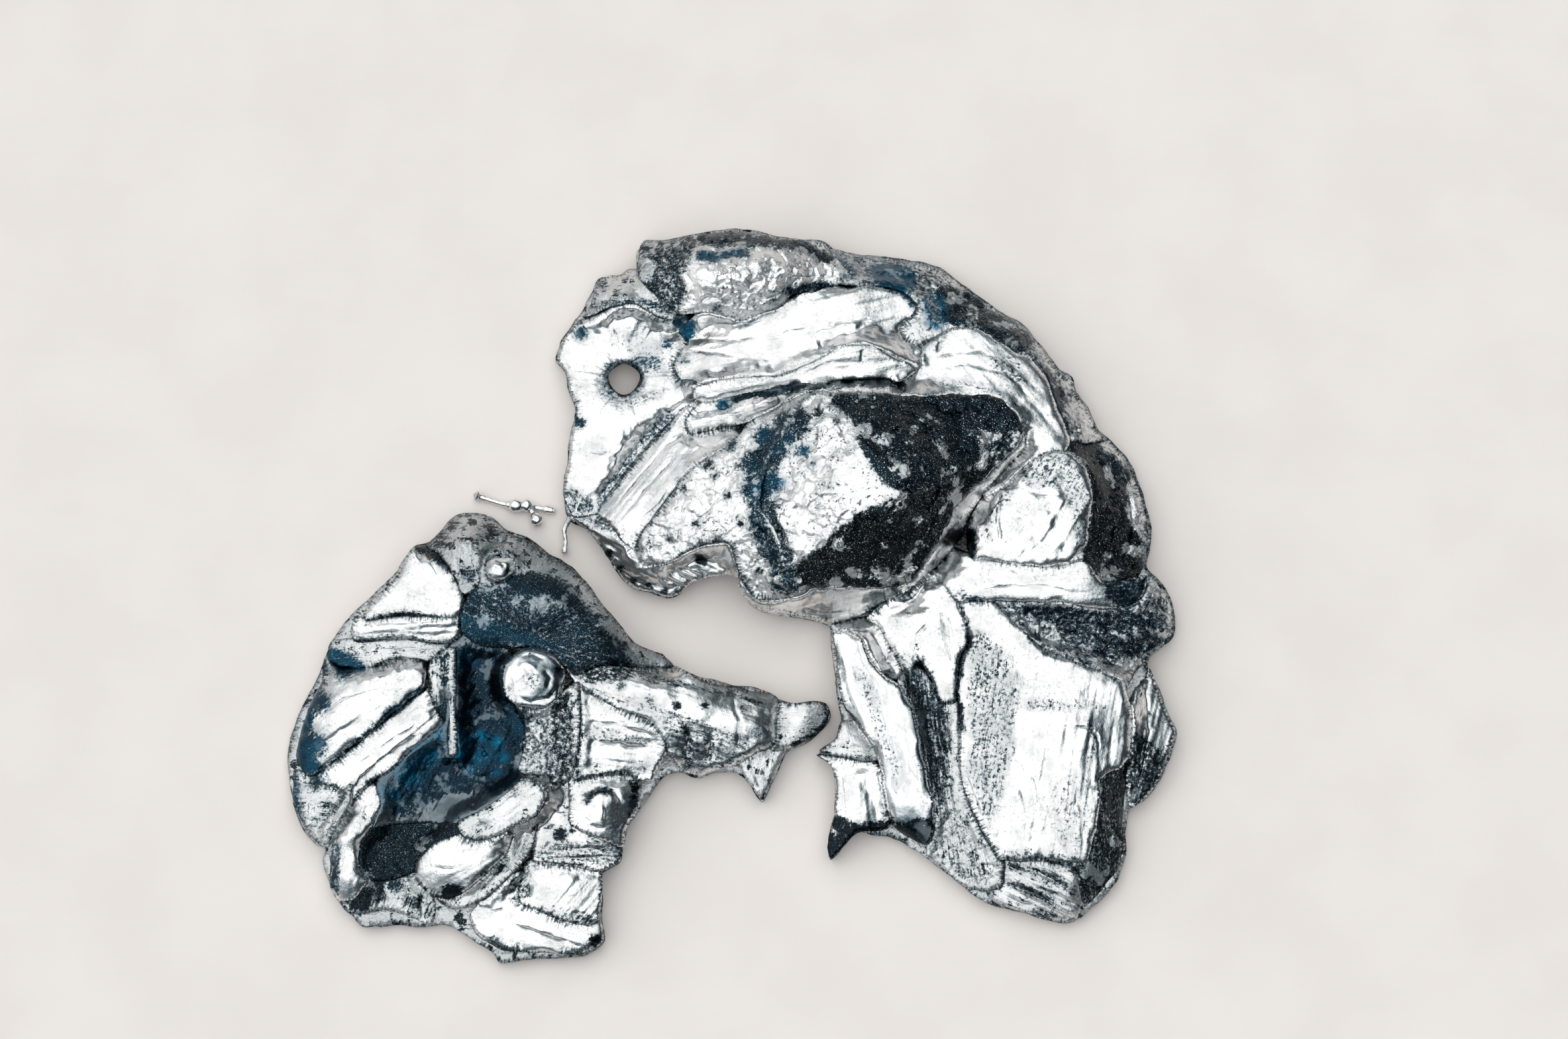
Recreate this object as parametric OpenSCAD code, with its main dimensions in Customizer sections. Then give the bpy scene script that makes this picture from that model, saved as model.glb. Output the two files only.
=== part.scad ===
// Pair of poured tin castings with one loose dribble of metal, lying on a table.
// Each casting is a thin first puddle with later flows frozen over it, lap against lap.
// Millimetres, +Z up, resting on z = 0, front of the object toward -Y.

/* [Casting] */
// thickness of the first puddle under every flow
puddle = 1.4; // [1.2:0.1:1.6]
// how strongly the frozen flows rise above the puddle
rise = 1; // [0.85:0.05:1.15]
// radius of the hole left open in the thin sheet
hole_radius = 1.4; // [1:0.1:1.8]

/* [Dribble] */
// radius of the thread between the beads of the loose dribble
thread_radius = 0.3; // [0.25:0.05:0.4]
// radius of the round beads on the loose dribble
bead_radius = 0.6; // [0.5:0.05:0.7]

/* [Surface] */
// distance between the points of the relief of each flow
relief_step = 1.3; // [1.2:0.1:2]

/* [Hidden] */
// the point from which the plan outlines are laid out, they lean toward it as they rise
EYE = [4.5, -101.5, 377];
// height at which the plan outlines are true
PLAN_Z = 0.8;
// height of the tall blocks that the flows are cut from
BLOCK = 30;
// softening of the blend between neighbouring heights
BLEND = 0.5;
// how quickly the pull of a height fades with distance
FADE = 1.5;
// margin of a relief block round its own outline
MARGIN = 1;
// number of sides on round outlines and beads
ROUND = 20;
// colours of the metal
BRIGHT = [0.86, 0.87, 0.87];
SATIN = [0.66, 0.68, 0.69];
DARK = [0.34, 0.37, 0.40];
BLUE = [0.20, 0.36, 0.44];

// a plan point slid along the line to the eye until it is at height z
function slide(p, z) = let (t = (z - PLAN_Z) / (EYE[2] - PLAN_Z))
    [p[0] + (EYE[0] - p[0]) * t, p[1] + (EYE[1] - p[1]) * t];
// weight of a spot height at a distance from it
function pull(p, s) = let (q = slide(s, s[2]))
    1 / pow(pow(p[0] - q[0], 2) + pow(p[1] - q[1], 2) + BLEND, FADE);
function total(v, i = 0) = i < len(v) ? v[i] + total(v, i + 1) : 0;
// height of a flow at p, blended from its spot heights
function height_at(p, spots) = let (w = [for (s = spots) pull(p, s)])
    puddle + rise * (total([for (i = [0 : len(spots) - 1]) w[i] * spots[i][2]]) / total(w) - puddle);
function ring(c, r) = [for (i = [0 : ROUND - 1]) c + r * [cos(360 * i / ROUND), sin(360 * i / ROUND)]];

// every flow is [height at which its edge is laid out, plan outline]
// right casting, from the top of the pile down
NUGGET = [9, [[7.1, 18.3], [12, 18.2], [18, 18.1], [23.9, 17.9], [26.2, 14.5], [23.6, 11.4], [20.2, 7.8],
    [18.2, 4], [15.3, 0.3], [10, 0.1], [5.2, -0.2], [3.6, 0.6], [4.4, 2.6], [3.8, 5], [2.4, 7.6], [2.6, 10.4],
    [3.8, 13], [5, 15.6]]];
NUGGET_WEST = [7, [[-8.9, 3.4], [-8.4, 5], [-7, 7], [-5.4, 9.4], [-3.6, 11.4], [-1.6, 12.7], [0.2, 14],
    [1.4, 15.6], [3.2, 16.6], [4.6, 17.4], [7.3, 18.4], [9, 12], [8, 4], [6.4, -0.4], [2, -1.1], [0.6, 1],
    [-0.6, 4.2], [-3.5, 3.6], [-6, 2.3], [-8.2, 2.1]]];
NUGGET_SKIRT = [4.5, [[0.4, 0.6], [3, 1.5], [8, 1.5], [15.6, 1], [15.2, -0.6], [13, -1.6], [10.5, -2.9],
    [8.6, -3.4], [6.5, -2.9], [4, -2.6], [2.2, -2], [1, -0.9]]];
NUGGET_FLANK = [5.5, [[14.6, 0], [17, 4], [19.5, 8], [23, 12], [26, 14.6], [26.3, 13.2], [24.8, 11.4],
    [22.2, 8.4], [21, 6.4], [20.6, 5], [19.8, 3.9], [17.8, 1.6], [16.2, 0.2], [15.4, -0.8]]];
CREST_LUMP = [7, [[-8.4, 32.7], [-3.5, 33.4], [-1, 33.8], [2, 33.7], [4, 33.1], [8, 32.7], [9, 31.4],
    [11, 29.6], [9.5, 28.6], [7, 28.2], [5.2, 27.6], [4, 26.5], [1.8, 25.6], [0.5, 25.1], [-1, 25.6],
    [-3, 26], [-5.2, 25.9], [-6.8, 27], [-7.6, 28], [-8.8, 29.4], [-8.9, 31.8]]];
CORNER_KNOB = [4.5, [[-13.2, 26.6], [-12.6, 28.6], [-11.7, 29.4], [-10.5, 29.6], [-9.7, 30.2], [-8, 30],
    [-6, 27.5], [-5.2, 26], [-5.6, 25.2], [-7, 25.6], [-9, 26.8], [-11, 26.6], [-12.8, 25.8], [-13.8, 25.6]]];
HOLED_SHEET = [3.5, [[-13.9, 25.4], [-12.6, 25.7], [-11, 26.8], [-9, 27], [-6, 26], [-3.6, 25.6], [-3, 23],
    [-4, 20.6], [-2.6, 19], [-2.6, 17.4], [-5, 15.4], [-7.2, 13.4], [-9.6, 10.6], [-11, 8.8], [-12.2, 7],
    [-14.4, 6.6], [-15.2, 8.2], [-15.3, 10], [-14.9, 12], [-14.8, 14], [-14.3, 16.5], [-14.9, 18.5],
    [-15.3, 20.3], [-16, 21.3], [-15.8, 23], [-14.8, 24.4]]];
CREST_BAND = [6, [[-5, 24.2], [-3.2, 26], [0.5, 26], [4, 27], [8, 28.6], [10.4, 28.4], [13, 28.6],
    [15.3, 28], [16.7, 26.7], [16.2, 25.6], [15, 24.6], [15.4, 23.4], [17, 22.6], [16.8, 20.7], [12, 21],
    [6.5, 20.2], [0, 19], [-4.8, 19.5], [-5.6, 20.8], [-5, 22.2], [-4.4, 23.2]]];
SHOULDER_BAND = [6, [[14.6, 19], [16.6, 20.6], [16.6, 22.6], [18.6, 23.8], [20, 24.5], [22.5, 24.4],
    [24, 23.2], [25.6, 22.3], [27, 21.6], [28.2, 20], [28.8, 18.2], [29.4, 16.4], [30, 15.4], [30.4, 14],
    [29.8, 12.6], [27.6, 11.6], [25, 9], [22.6, 8], [22.6, 12], [22, 16], [15, 18]]];
LENS_FOLD = [7, [[4.2, 20], [6.5, 21], [8, 21.8], [10, 22.8], [12, 22.9], [14, 22.2], [15.6, 21.2],
    [16.6, 20.5], [15, 19.4], [13.4, 19.7], [11, 19.6], [8, 19.2], [5, 18.9], [2, 18.4], [0, 17.9],
    [-2, 17.4], [-3.6, 17.6], [-3.6, 18.8], [-1, 19.6], [2, 19.8]]];
UNDER_LENS = [5, [[-4.4, 15.6], [-3, 17.6], [0.2, 18.6], [6, 19.6], [12, 20], [14.6, 19.8], [15.4, 18.6],
    [14, 17.6], [9, 17.6], [6.5, 17.4], [4.5, 16.8], [1.5, 15.6], [-1, 15], [-4, 14.4]]];
RIM_ROLL = [4, [[8.6, 32], [13, 31.1], [16.5, 30.7], [18.8, 30], [20.5, 28.7], [22, 27.5], [24, 25.9],
    [26, 24.8], [27.5, 23], [28.2, 22.1], [29.5, 20.3], [30.6, 19.4], [31, 18.2], [32, 16.8], [32.8, 14.8],
    [33.5, 13.8], [31.6, 13.6], [29, 14], [27, 18], [24, 21], [20, 23], [16, 22.4], [14, 25], [12, 28], [9, 29]]];
FLUTE = [5, [[-12.2, 7], [-11.2, 8.9], [-9.8, 10.8], [-7.6, 13.6], [-5.6, 15.8], [-4.2, 17], [-1.6, 16.2],
    [2, 16.8], [3, 15], [0.6, 12.9], [-2.8, 10.6], [-4.6, 8.4], [-6.4, 6], [-7.8, 4.4], [-8.6, 3],
    [-9.8, 4], [-11, 5.6]]];
EDGE_LIP = [2.6, [[-14.4, 6.6], [-12.6, 7.4], [-10.6, 6.4], [-9, 4], [-7.4, 3], [-5, 3.2], [-3, 4.2],
    [0, 4.4], [1, 2.4], [0.4, 1], [-0.4, 1.2], [-2.6, 0.9], [-4, 0.3], [-4.9, -0.6], [-6, -0.8],
    [-7.6, -0.3], [-9.2, 0.1], [-10.4, 1.5], [-11.8, 3.6], [-13.2, 5.4]]];
SHOULDER_PAD = [7, [[20.9, 5.6], [22.2, 8.2], [24.4, 9.6], [25.6, 10.9], [27, 12], [28.4, 12.8],
    [30.2, 12.6], [31.8, 11.2], [32.3, 9.2], [32.2, 7], [31.9, 5], [31.5, 3.6], [30.2, 2.2], [28, 1.9],
    [25.4, 2.1], [23, 2.5], [21.4, 2.7], [20.9, 3.8]]];
RIM_RIGHT = [4, [[28.6, 14.4], [32, 13.9], [33.8, 13.6], [35.2, 11.9], [36.3, 9.4], [36.9, 7.1],
    [37.2, 5.5], [37, 3.4], [36.8, 2], [35.8, 0.6], [33, 0], [30.4, 1], [30, 4], [31, 8], [30, 11.6]]];
CROSS_RIDGE = [6, [[17.9, 1.4], [19.6, 3.8], [21, 3.4], [23, 3], [26, 2.6], [29, 2.4], [31.4, 2.6],
    [33, 0.6], [35.4, 0.9], [37, 1.2], [36.6, -0.6], [35.4, -1.6], [33, -2], [31, -1.8], [29.8, -1.3],
    [28, -1.4], [25, -1.3], [21.6, -1.2], [20.3, -1.3], [19.6, -0.8], [18.8, 0.2]]];
DARK_FLANK = [4, [[20.6, -1.2], [24, -0.6], [30, -0.8], [36, -0.4], [37.2, 0.6], [38, 0.2], [38.9, -1.2], [39.1, -3],
    [38.9, -4.3], [38.1, -5.2], [37, -6.3], [36.2, -7.2], [35.4, -8.4], [34.8, -9.6], [34, -9],
    [31, -8.4], [28.5, -7.8], [26.6, -6.8], [25.4, -6.4], [24, -4.8], [22.6, -2.4]]];
APRON = [5, [[19.8, -1.2], [23, -1], [27, -5], [32, -7.4], [34.6, -8.6], [35.3, -11], [35.4, -13],
    [35, -15.5], [34.2, -16.6], [32.5, -17.6], [32.3, -20], [31.8, -23], [30.8, -25.3], [27.5, -24.9],
    [23.4, -24.7], [22.4, -23], [21.4, -21], [20.4, -18.5], [20, -15.5], [20, -12.8], [19.8, -10],
    [20.2, -6.5], [20.9, -4.8], [20.5, -2.8]]];
SIDE_FOLD = [3, [[31.6, -17], [34, -15.6], [34.6, -18], [34.3, -21.5], [34.4, -23.5], [33.6, -26.2],
    [32.2, -28], [30.8, -28.8], [30.4, -27], [30.2, -24]]];
NECK_PAD = [5, [[14.6, -0.8], [16, 0.6], [17.8, 1.8], [19.4, 0.8], [20.2, -1], [21, -3], [21, -5],
    [20.4, -6.4], [20, -9], [19.8, -10.4], [18.4, -10.6], [17.6, -8.6], [16.6, -6.8], [15.6, -8.2],
    [14.4, -6.6], [13.6, -5], [13, -3.6], [11.8, -2.8], [13, -1.6]]];
FOLD_SEAM = [3, [[14.6, -8.4], [16, -7], [18.4, -9], [20.2, -10], [20.4, -16], [21, -19], [22, -22], [23.8, -25],
    [23.5, -27.2], [22, -27.6], [20.6, -27.3], [18.6, -25.7], [17, -24.2], [17.4, -20.6], [17.2, -18.5],
    [16.4, -15.4], [15.7, -12.6], [15, -9.8]]];
BAR = [4, [[8.8, -4.2], [10, -3.9], [11.4, -4.6], [12.2, -6.4], [13.4, -8], [14.8, -9], [16, -11],
    [16.6, -14], [17.4, -18], [17.8, -21], [17.2, -23.4], [15.2, -22.6], [13.8, -21.4], [13.3, -19],
    [13, -16.5], [12.2, -14.2], [11, -12.6], [9.9, -11], [9.2, -8.4], [8.8, -6]]];
BAR_CUFF = [3.6, [[8.8, -3.4], [10.4, -3], [12, -2.6], [13.4, -3.4], [14.4, -5.2], [15.2, -7], [14.8, -8.6],
    [13, -8], [11.6, -6], [10.4, -4.4], [9, -4.4]]];
LENS_PAD = [2.6, [[9.6, -12.2], [10.8, -12.2], [12, -13.4], [13, -15.6], [11.6, -15.9], [9.8, -15.5],
    [8.4, -15.2], [7.6, -14.9], [9, -13.8]]];
HOOK_FIN = [3, [[7.4, -15.3], [8.4, -15.2], [9.8, -15.2], [12.4, -15.4], [13.4, -18], [13.8, -20.6],
    [13.6, -22], [11.6, -22.2], [10.8, -22.4], [9.8, -23.4], [8.6, -24.6], [8.3, -23.5], [8.9, -20.6],
    [9, -18], [8.6, -16.2]]];
TOE = [2.4, [[22, -25.4], [23.4, -24.4], [27.5, -24.4], [31, -24.6], [31.2, -28.6], [30, -29.9],
    [29, -30.3], [27, -29.9], [24.5, -29.1], [23, -28.6], [22, -27.4]]];
BACK_FLAKE = [2.6, [[36.5, -8.4], [37, -7.4], [37.7, -8.9], [38.5, -11.4], [39.2, -13.2], [38.7, -14.8],
    [38, -16.5], [37.2, -18.2], [36.3, -19.3], [35.1, -20.1], [34.7, -18.8], [34.6, -16], [35.2, -13],
    [35.2, -10.6], [35.6, -9.4]]];
RIGHT_PUDDLE = [PLAN_Z, [[-8.3, 32.9], [-6.5, 33], [-3.5, 33.6], [-1, 34], [1.5, 34], [4, 33.3], [6, 33.1],
    [8, 32.9], [9.5, 31.9], [13, 31.4], [16.5, 31], [18.8, 30.3], [20.5, 29], [22, 27.8], [24, 26.2],
    [26, 25.1], [27.5, 23.3], [28.2, 22.4], [29.5, 20.6], [30.6, 19.8], [31, 18.4], [32, 17], [32.8, 15],
    [34, 13.8], [35.5, 12], [36.6, 9.5], [37.2, 7.2], [37.5, 5.6], [37.3, 3.5], [37, 2], [38.2, 0.6],
    [39.2, -1.2], [39.4, -3], [39.2, -4.5], [38.2, -5.4], [37, -6.5], [36.9, -7.6], [37.8, -9],
    [38.6, -11.5], [39.4, -13.3], [38.9, -14.8], [38.2, -16.5], [37.4, -18.2], [36.4, -19.4],
    [35, -20.2], [34.6, -22], [34.6, -24], [33.8, -26.5], [32.3, -28.3], [30.5, -29.9], [29.2, -30.4],
    [27, -30], [24.5, -29.2], [22.5, -28.7], [20.7, -27.5], [18.6, -25.8], [16.2, -24], [14, -22.8],
    [12.4, -22.5], [11, -22.2], [9.9, -23.4], [8.6, -24.7], [8.3, -23.5], [8.9, -20.5], [9, -17.5],
    [8.6, -16], [7.6, -15.2], [9, -14], [9.6, -12.6], [9.4, -11], [9, -8], [8.7, -5], [8.6, -3.6],
    [6.5, -2.9], [4, -2.6], [2.2, -2], [1, -0.9], [0.6, 0.7], [-0.2, 1.3], [-2.5, 1], [-4, 0.3],
    [-4.9, -0.7], [-6, -1], [-7.5, -0.4], [-9, -0.1], [-10.3, 1.3], [-11.7, 3.5], [-13.2, 5.4],
    [-14.8, 6.3], [-15.3, 8], [-15.4, 10], [-15, 12], [-14.9, 14], [-14.4, 16.5], [-15, 18.5],
    [-15.4, 20.3], [-16.2, 21.3], [-15.9, 23], [-14.9, 24.6], [-13.8, 26.3], [-13, 28], [-12.4, 29.2],
    [-11, 29.5], [-9.8, 29.6], [-9, 30.2], [-8.9, 31.8]]];
// middle of the hole in the thin sheet
HOLE = [-10, 19.6];

// left casting, from the top of the pile down
BEAD = [6, ring([-17.8, -8.3], 2.9)];
DOME_BUMP = [7, ring([-20.9, 1.9], 1.5)];
PEAK_KNOB = [5.5, [[-26.2, 5.3], [-25.3, 6.5], [-23.5, 6.9], [-21.8, 6.4], [-20.4, 5.2], [-20.6, 4],
    [-22, 3.4], [-22.6, 2], [-22.8, 0.5], [-23.5, -0.5], [-24.3, -0.6], [-24.9, 0.6], [-25.6, 1.8],
    [-26.5, 3.2], [-27.2, 3.4], [-27.6, 4]]];
DOME_RIDGE = [6, [[-22, 5.6], [-20.3, 5.1], [-18.5, 4.4], [-16.5, 3], [-14.5, 1.8], [-13, 0.3],
    [-11.8, -1.4], [-10.2, -3.3], [-8.8, -5], [-7.2, -5.8], [-6.3, -6.1], [-5.4, -7.1], [-7.2, -7.4],
    [-9, -7.2], [-12, -7.2], [-13.6, -8], [-14.8, -7.4], [-16, -6.2], [-18, -5.4], [-21.6, -5.6],
    [-23.4, -5], [-24.4, -3.6], [-24.5, -2.4], [-24, -1], [-24, 2]]];
FAN_LEAF = [6, [[-29.8, 2.3], [-28.8, 3.7], [-27.4, 4], [-26, 3], [-24.8, 1], [-24, -1], [-23.8, -2.4],
    [-25, -2.7], [-27.5, -2.6], [-30, -2.6], [-31.5, -2.8], [-33, -3], [-32.8, -1.5], [-31.5, -0.3],
    [-30.4, 0.9]]];
FAN_RIB_UPPER = [5.5, [[-33.4, -2.6], [-31, -2.4], [-28, -2.2], [-25, -2.2], [-23.8, -2.2], [-23.8, -3.4],
    [-24.4, -4.6], [-25.2, -5.1], [-26.5, -5.1], [-29, -4.7], [-31.5, -4.8], [-33.9, -4.9], [-34.2, -4],
    [-34, -3.2]]];
FAN_RIB_GREY = [4.6, [[-35.8, -4.9], [-34.3, -4.6], [-31.5, -4.4], [-28.5, -4.4], [-26.4, -4.8],
    [-25.2, -4.8], [-25.7, -5.9], [-27, -6.8], [-28.5, -6.4], [-30.5, -6.6], [-32, -7.2], [-33.5, -7.4],
    [-35, -7.2], [-36.1, -6.4]]];
FAN_RIB_BROAD = [5.2, [[-36.4, -6.4], [-34.6, -6.6], [-33, -6.8], [-31.5, -6.4], [-29.5, -6], [-27.2, -6.2],
    [-27.3, -8], [-27.6, -9.4], [-28.8, -10.4], [-30.5, -11.8], [-32.5, -13.6], [-34.5, -15.4],
    [-36.4, -16.8], [-37.6, -17.2], [-38.6, -15.8], [-38.5, -14], [-38, -12], [-37.3, -10], [-36.6, -8.6]]];
FAN_RIB_LONG = [4.6, [[-28.6, -10], [-27.4, -9.2], [-26, -8], [-25.6, -9], [-25.4, -12.2], [-26.2, -13.2],
    [-28.2, -14.8], [-30, -16.6], [-32, -18], [-33.6, -19.8], [-35, -21.6], [-36.2, -22.8], [-35.4, -20.8],
    [-34.2, -18.8], [-35.2, -18.2], [-37, -17.6], [-37, -16.6], [-34, -14.6], [-31, -12]]];
RIM_PLATE = [2.8, [[-38.8, -16.6], [-37.4, -16.9], [-35, -17.6], [-33.6, -18], [-33.4, -20], [-35, -23],
    [-36.2, -23.5], [-37.5, -22.2], [-38.3, -20.6], [-38.8, -19.2]]];
RIM_RIB = [3.6, [[-33.6, -17.8], [-32.2, -17.4], [-31, -19.2], [-31.6, -21.5], [-32.6, -23.2],
    [-32.7, -25.4], [-32, -26.6], [-33.4, -28.3], [-34.6, -28.3], [-35.3, -27.2], [-35.4, -25],
    [-35.6, -23.6], [-34.9, -21.2], [-33.9, -19.4]]];
POOL_FIN = [5, [[-27, -6.8], [-26.2, -6], [-25.3, -5.4], [-24.7, -5.6], [-24.5, -10], [-24.4, -15.2],
    [-25.2, -15.4], [-25.5, -12.4], [-26.5, -11], [-27.1, -9]]];
POD_CREST = [5, [[-24.3, -21.3], [-22.3, -20.3], [-20.2, -18.9], [-18.8, -17.7], [-17.2, -17.9],
    [-16.6, -19], [-17.4, -20.6], [-19.2, -21.6], [-20.8, -22.6], [-22.6, -23], [-23.8, -22.5]]];
POD_FLAP = [4, [[-27.6, -24.4], [-26, -23], [-24, -22.4], [-21, -22], [-19.4, -22.4], [-20, -24.4], [-21.6, -26],
    [-23.4, -27.5], [-25, -28.3], [-26.7, -27.7], [-28.1, -26]]];
POD_LIP = [3.4, [[-18, -20.4], [-17, -20.4], [-17.2, -22.2], [-18, -24.4], [-19.6, -26.2], [-21.6, -28],
    [-23.6, -29], [-25, -29], [-26, -28], [-23, -26], [-20.4, -22]]];
SADDLE = [4.4, [[-19.4, -10.6], [-16, -10], [-13.8, -8.2], [-13.5, -10], [-13.6, -14], [-14.2, -17.2],
    [-15.5, -18.4], [-17, -18.6], [-19, -18], [-18.7, -15], [-18.6, -12.6]]];
BLUE_POOL = [3.6, [[-26.6, -5.6], [-24.4, -4.2], [-20.4, -5], [-19, -8], [-17, -11], [-17.8, -17.4],
    [-20, -19], [-23, -21], [-24.8, -21.8], [-27, -21.4], [-30, -21.6], [-32.2, -21.8], [-31.8, -19],
    [-31, -16.6], [-27, -13], [-25, -9]]];
HOLLOW = [2.2, [[-33, -21], [-30, -20.8], [-27, -20.4], [-24, -20.8], [-23, -23], [-25, -24], [-27, -25.6],
    [-28.6, -26.2], [-31.4, -26.6], [-33, -25.6]]];
ARM = [4.6, [[-14.8, -7.4], [-12, -6.6], [-8.3, -6.8], [-5.6, -7], [-3, -8.2], [0, -9], [2.6, -9.4],
    [4.1, -10.3], [3.9, -12.5], [3.7, -14.4], [2, -15.2], [0.5, -16.2], [-1.2, -16.6], [-3, -17.2],
    [-4.6, -16.6], [-5.6, -15.2], [-6.2, -13.8], [-7.6, -12.2], [-10, -11.2], [-12.2, -10], [-14, -8.8]]];
ARM_PAD = [2.8, [[3.6, -10.4], [5.5, -10.6], [7.1, -10.4], [8, -10.6], [8.5, -11.6], [8, -12.8], [6.7, -13.9],
    [5.2, -14.6], [3.4, -14.9], [3, -12.6]]];
ARM_FANG = [2.2, [[0.4, -15.6], [2, -14], [3.8, -14.2], [4.6, -14.9], [4.1, -16.3], [3.3, -18], [2.6, -19.4],
    [1.9, -18.6], [0.9, -17.1]]];
LEDGE = [4.2, [[-13.8, -8.6], [-11, -10], [-8, -11.6], [-5.6, -12], [-5.2, -14], [-6, -15.4], [-7.2, -17.6],
    [-8.2, -17.6], [-9.2, -17.1], [-11.5, -17.2], [-14.2, -17.6], [-14, -14]]];
RING_CELL = [4, [[-14.4, -17.2], [-11.5, -16.8], [-9.2, -16.9], [-8.2, -17.2], [-8, -18.4], [-8.4, -20.3],
    [-9.3, -22], [-9.7, -23.6], [-11.5, -23], [-13, -22.4], [-14.4, -21.4], [-14.4, -19.5]]];
MID_LEDGE = [3.4, [[-16.8, -17.6], [-13.6, -17.2], [-13.6, -21], [-12, -22.2], [-9.8, -23.2], [-9.8, -24.7],
    [-11.7, -25.7], [-14, -25.3], [-17.5, -24.9], [-17.6, -22]]];
LOWER_CELL = [3, [[-18, -24.6], [-14.2, -25], [-11.7, -25.4], [-11.5, -28], [-11.7, -30], [-12.6, -30.6],
    [-15, -30], [-17, -29.2], [-18.6, -28.5], [-18.7, -26.6]]];
RIM_FOLD = [2.2, [[-19.6, -25.6], [-18, -26], [-18, -28], [-15, -29.6], [-12.6, -30], [-11.5, -30.2],
    [-11.3, -32], [-12, -32.7], [-13.5, -33.2], [-16.5, -33], [-20, -32.8], [-22.4, -31.4], [-23, -29.6],
    [-21.6, -28]]];
SKIRT_SHELL = [2, [[-32.8, -26], [-30.4, -25.6], [-28, -25.6], [-26.6, -27], [-26, -29.2], [-26.4, -30.5],
    [-28, -29.9], [-30.2, -29.2], [-31.8, -29.4], [-33.6, -29.5], [-34.3, -28.6], [-34, -27]]];
LEFT_PUDDLE = [PLAN_Z, [[-25.2, 6.7], [-23.5, 7], [-21.8, 6.6], [-20.3, 5.4], [-18.5, 4.7], [-16.5, 3.2],
    [-14.6, 2], [-13.2, 0.6], [-12, -1.2], [-10.3, -3.2], [-8.8, -5], [-7.2, -5.9], [-6.4, -6.1],
    [-5.5, -7.1], [-3, -8.1], [0, -8.9], [2.5, -9.3], [4.2, -10.2], [5.5, -10.6], [7.2, -10.4],
    [8.2, -10.6], [8.6, -11.8], [8, -13], [6.6, -14.2], [5, -14.9], [4.2, -16.3], [3.4, -18],
    [2.6, -19.6], [1.9, -18.7], [0.8, -17.2], [-1, -16.8], [-3, -17.4], [-4.8, -16.9], [-6, -17.1],
    [-7, -18.4], [-8.3, -20.4], [-9.2, -21.8], [-9.6, -23.6], [-9.8, -24.9], [-11.5, -26], [-11.4, -28],
    [-11.4, -30], [-11.2, -31.9], [-11.8, -32.7], [-13, -33.3], [-15.5, -33.5], [-18, -33.6],
    [-20.2, -34], [-21, -33], [-23, -31.7], [-25, -30.6], [-27, -30.7], [-29.5, -30.6], [-32.3, -30.7],
    [-33.5, -29.6], [-34.9, -28], [-35.6, -26.5], [-36, -24.9], [-35.8, -23.8], [-36.6, -23.4],
    [-37.7, -22.3], [-38.4, -20.9], [-38.9, -19.3], [-39.2, -17.5], [-39.4, -15], [-39, -13],
    [-38.3, -11], [-37.3, -9], [-36.4, -6.5], [-35.8, -4.8], [-34.6, -3], [-33.1, -1.5], [-31.6, 0.1],
    [-30.4, 1.2], [-29.7, 2.3], [-28.7, 3.9], [-27.3, 4.3], [-26.3, 5.4]]];

module plan(flow) {
    polygon([for (p = flow[1]) slide(p, flow[0])]);
}

// a block whose top follows the spot heights, a little larger than the outline
module relief(flow, spots) {
    edge = [for (p = flow[1]) slide(p, flow[0])];
    x0 = min([for (p = edge) p[0]]) - MARGIN;
    x1 = max([for (p = edge) p[0]]) + MARGIN;
    y0 = min([for (p = edge) p[1]]) - MARGIN;
    y1 = max([for (p = edge) p[1]]) + MARGIN;
    nx = ceil((x1 - x0) / relief_step);
    ny = ceil((y1 - y0) / relief_step);
    spot = [for (i = [0 : nx]) for (j = [0 : ny]) [x0 + (x1 - x0) * i / nx, y0 + (y1 - y0) * j / ny]];
    top = [for (p = spot) [p[0], p[1], height_at(p, spots)]];
    base = [for (p = spot) [p[0], p[1], 0]];
    n = len(spot);
    w = ny + 1;
    faces_top = [for (i = [0 : nx - 1]) for (j = [0 : ny - 1])
        each [[i * w + j, i * w + j + 1, (i + 1) * w + j + 1], [i * w + j, (i + 1) * w + j + 1, (i + 1) * w + j]]];
    faces_base = [for (f = faces_top) [n + f[0], n + f[2], n + f[1]]];
    rim = concat([for (i = [0 : nx - 1]) i * w], [for (j = [0 : ny - 1]) nx * w + j],
        [for (i = [nx : -1 : 1]) i * w + ny], [for (j = [ny : -1 : 1]) j]);
    m = len(rim);
    faces_side = [for (k = [0 : m - 1])
        each [[rim[k], rim[(k + 1) % m], n + rim[(k + 1) % m]], [rim[k], n + rim[(k + 1) % m], n + rim[k]]]];
    polyhedron(points = concat(top, base), faces = concat(faces_top, faces_base, faces_side));
}

// one frozen flow standing on the puddle, cut back where later flows lie against it
module flow(piece, spots, later = []) {
    intersection() {
        translate([0, 0, puddle])
            linear_extrude(height = BLOCK)
                difference() {
                    plan(piece);
                    for (other = later) plan(other);
                }
        relief(piece, spots);
    }
}

// ---- right casting ----

module right_puddle() color(SATIN)
    linear_extrude(height = puddle)
        difference() {
            plan(RIGHT_PUDDLE);
            translate(slide(HOLE, puddle)) circle(r = hole_radius, $fn = ROUND);
        }

module nugget() color(DARK)
    flow(NUGGET, [[7.2, 18, 8.6], [10.6, 14.4, 12.4], [14, 8.4, 13.6], [8, 12, 12.2], [5.6, 7, 11.4],
        [9, 5, 11.8], [24, 17.4, 7.6], [26, 14.4, 7.4], [18, 13, 10.4], [20, 8, 9], [15.4, 1, 7.6],
        [10, 0.4, 8], [5, 0.4, 7.4], [18.4, 17.8, 8.2]]);

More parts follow.
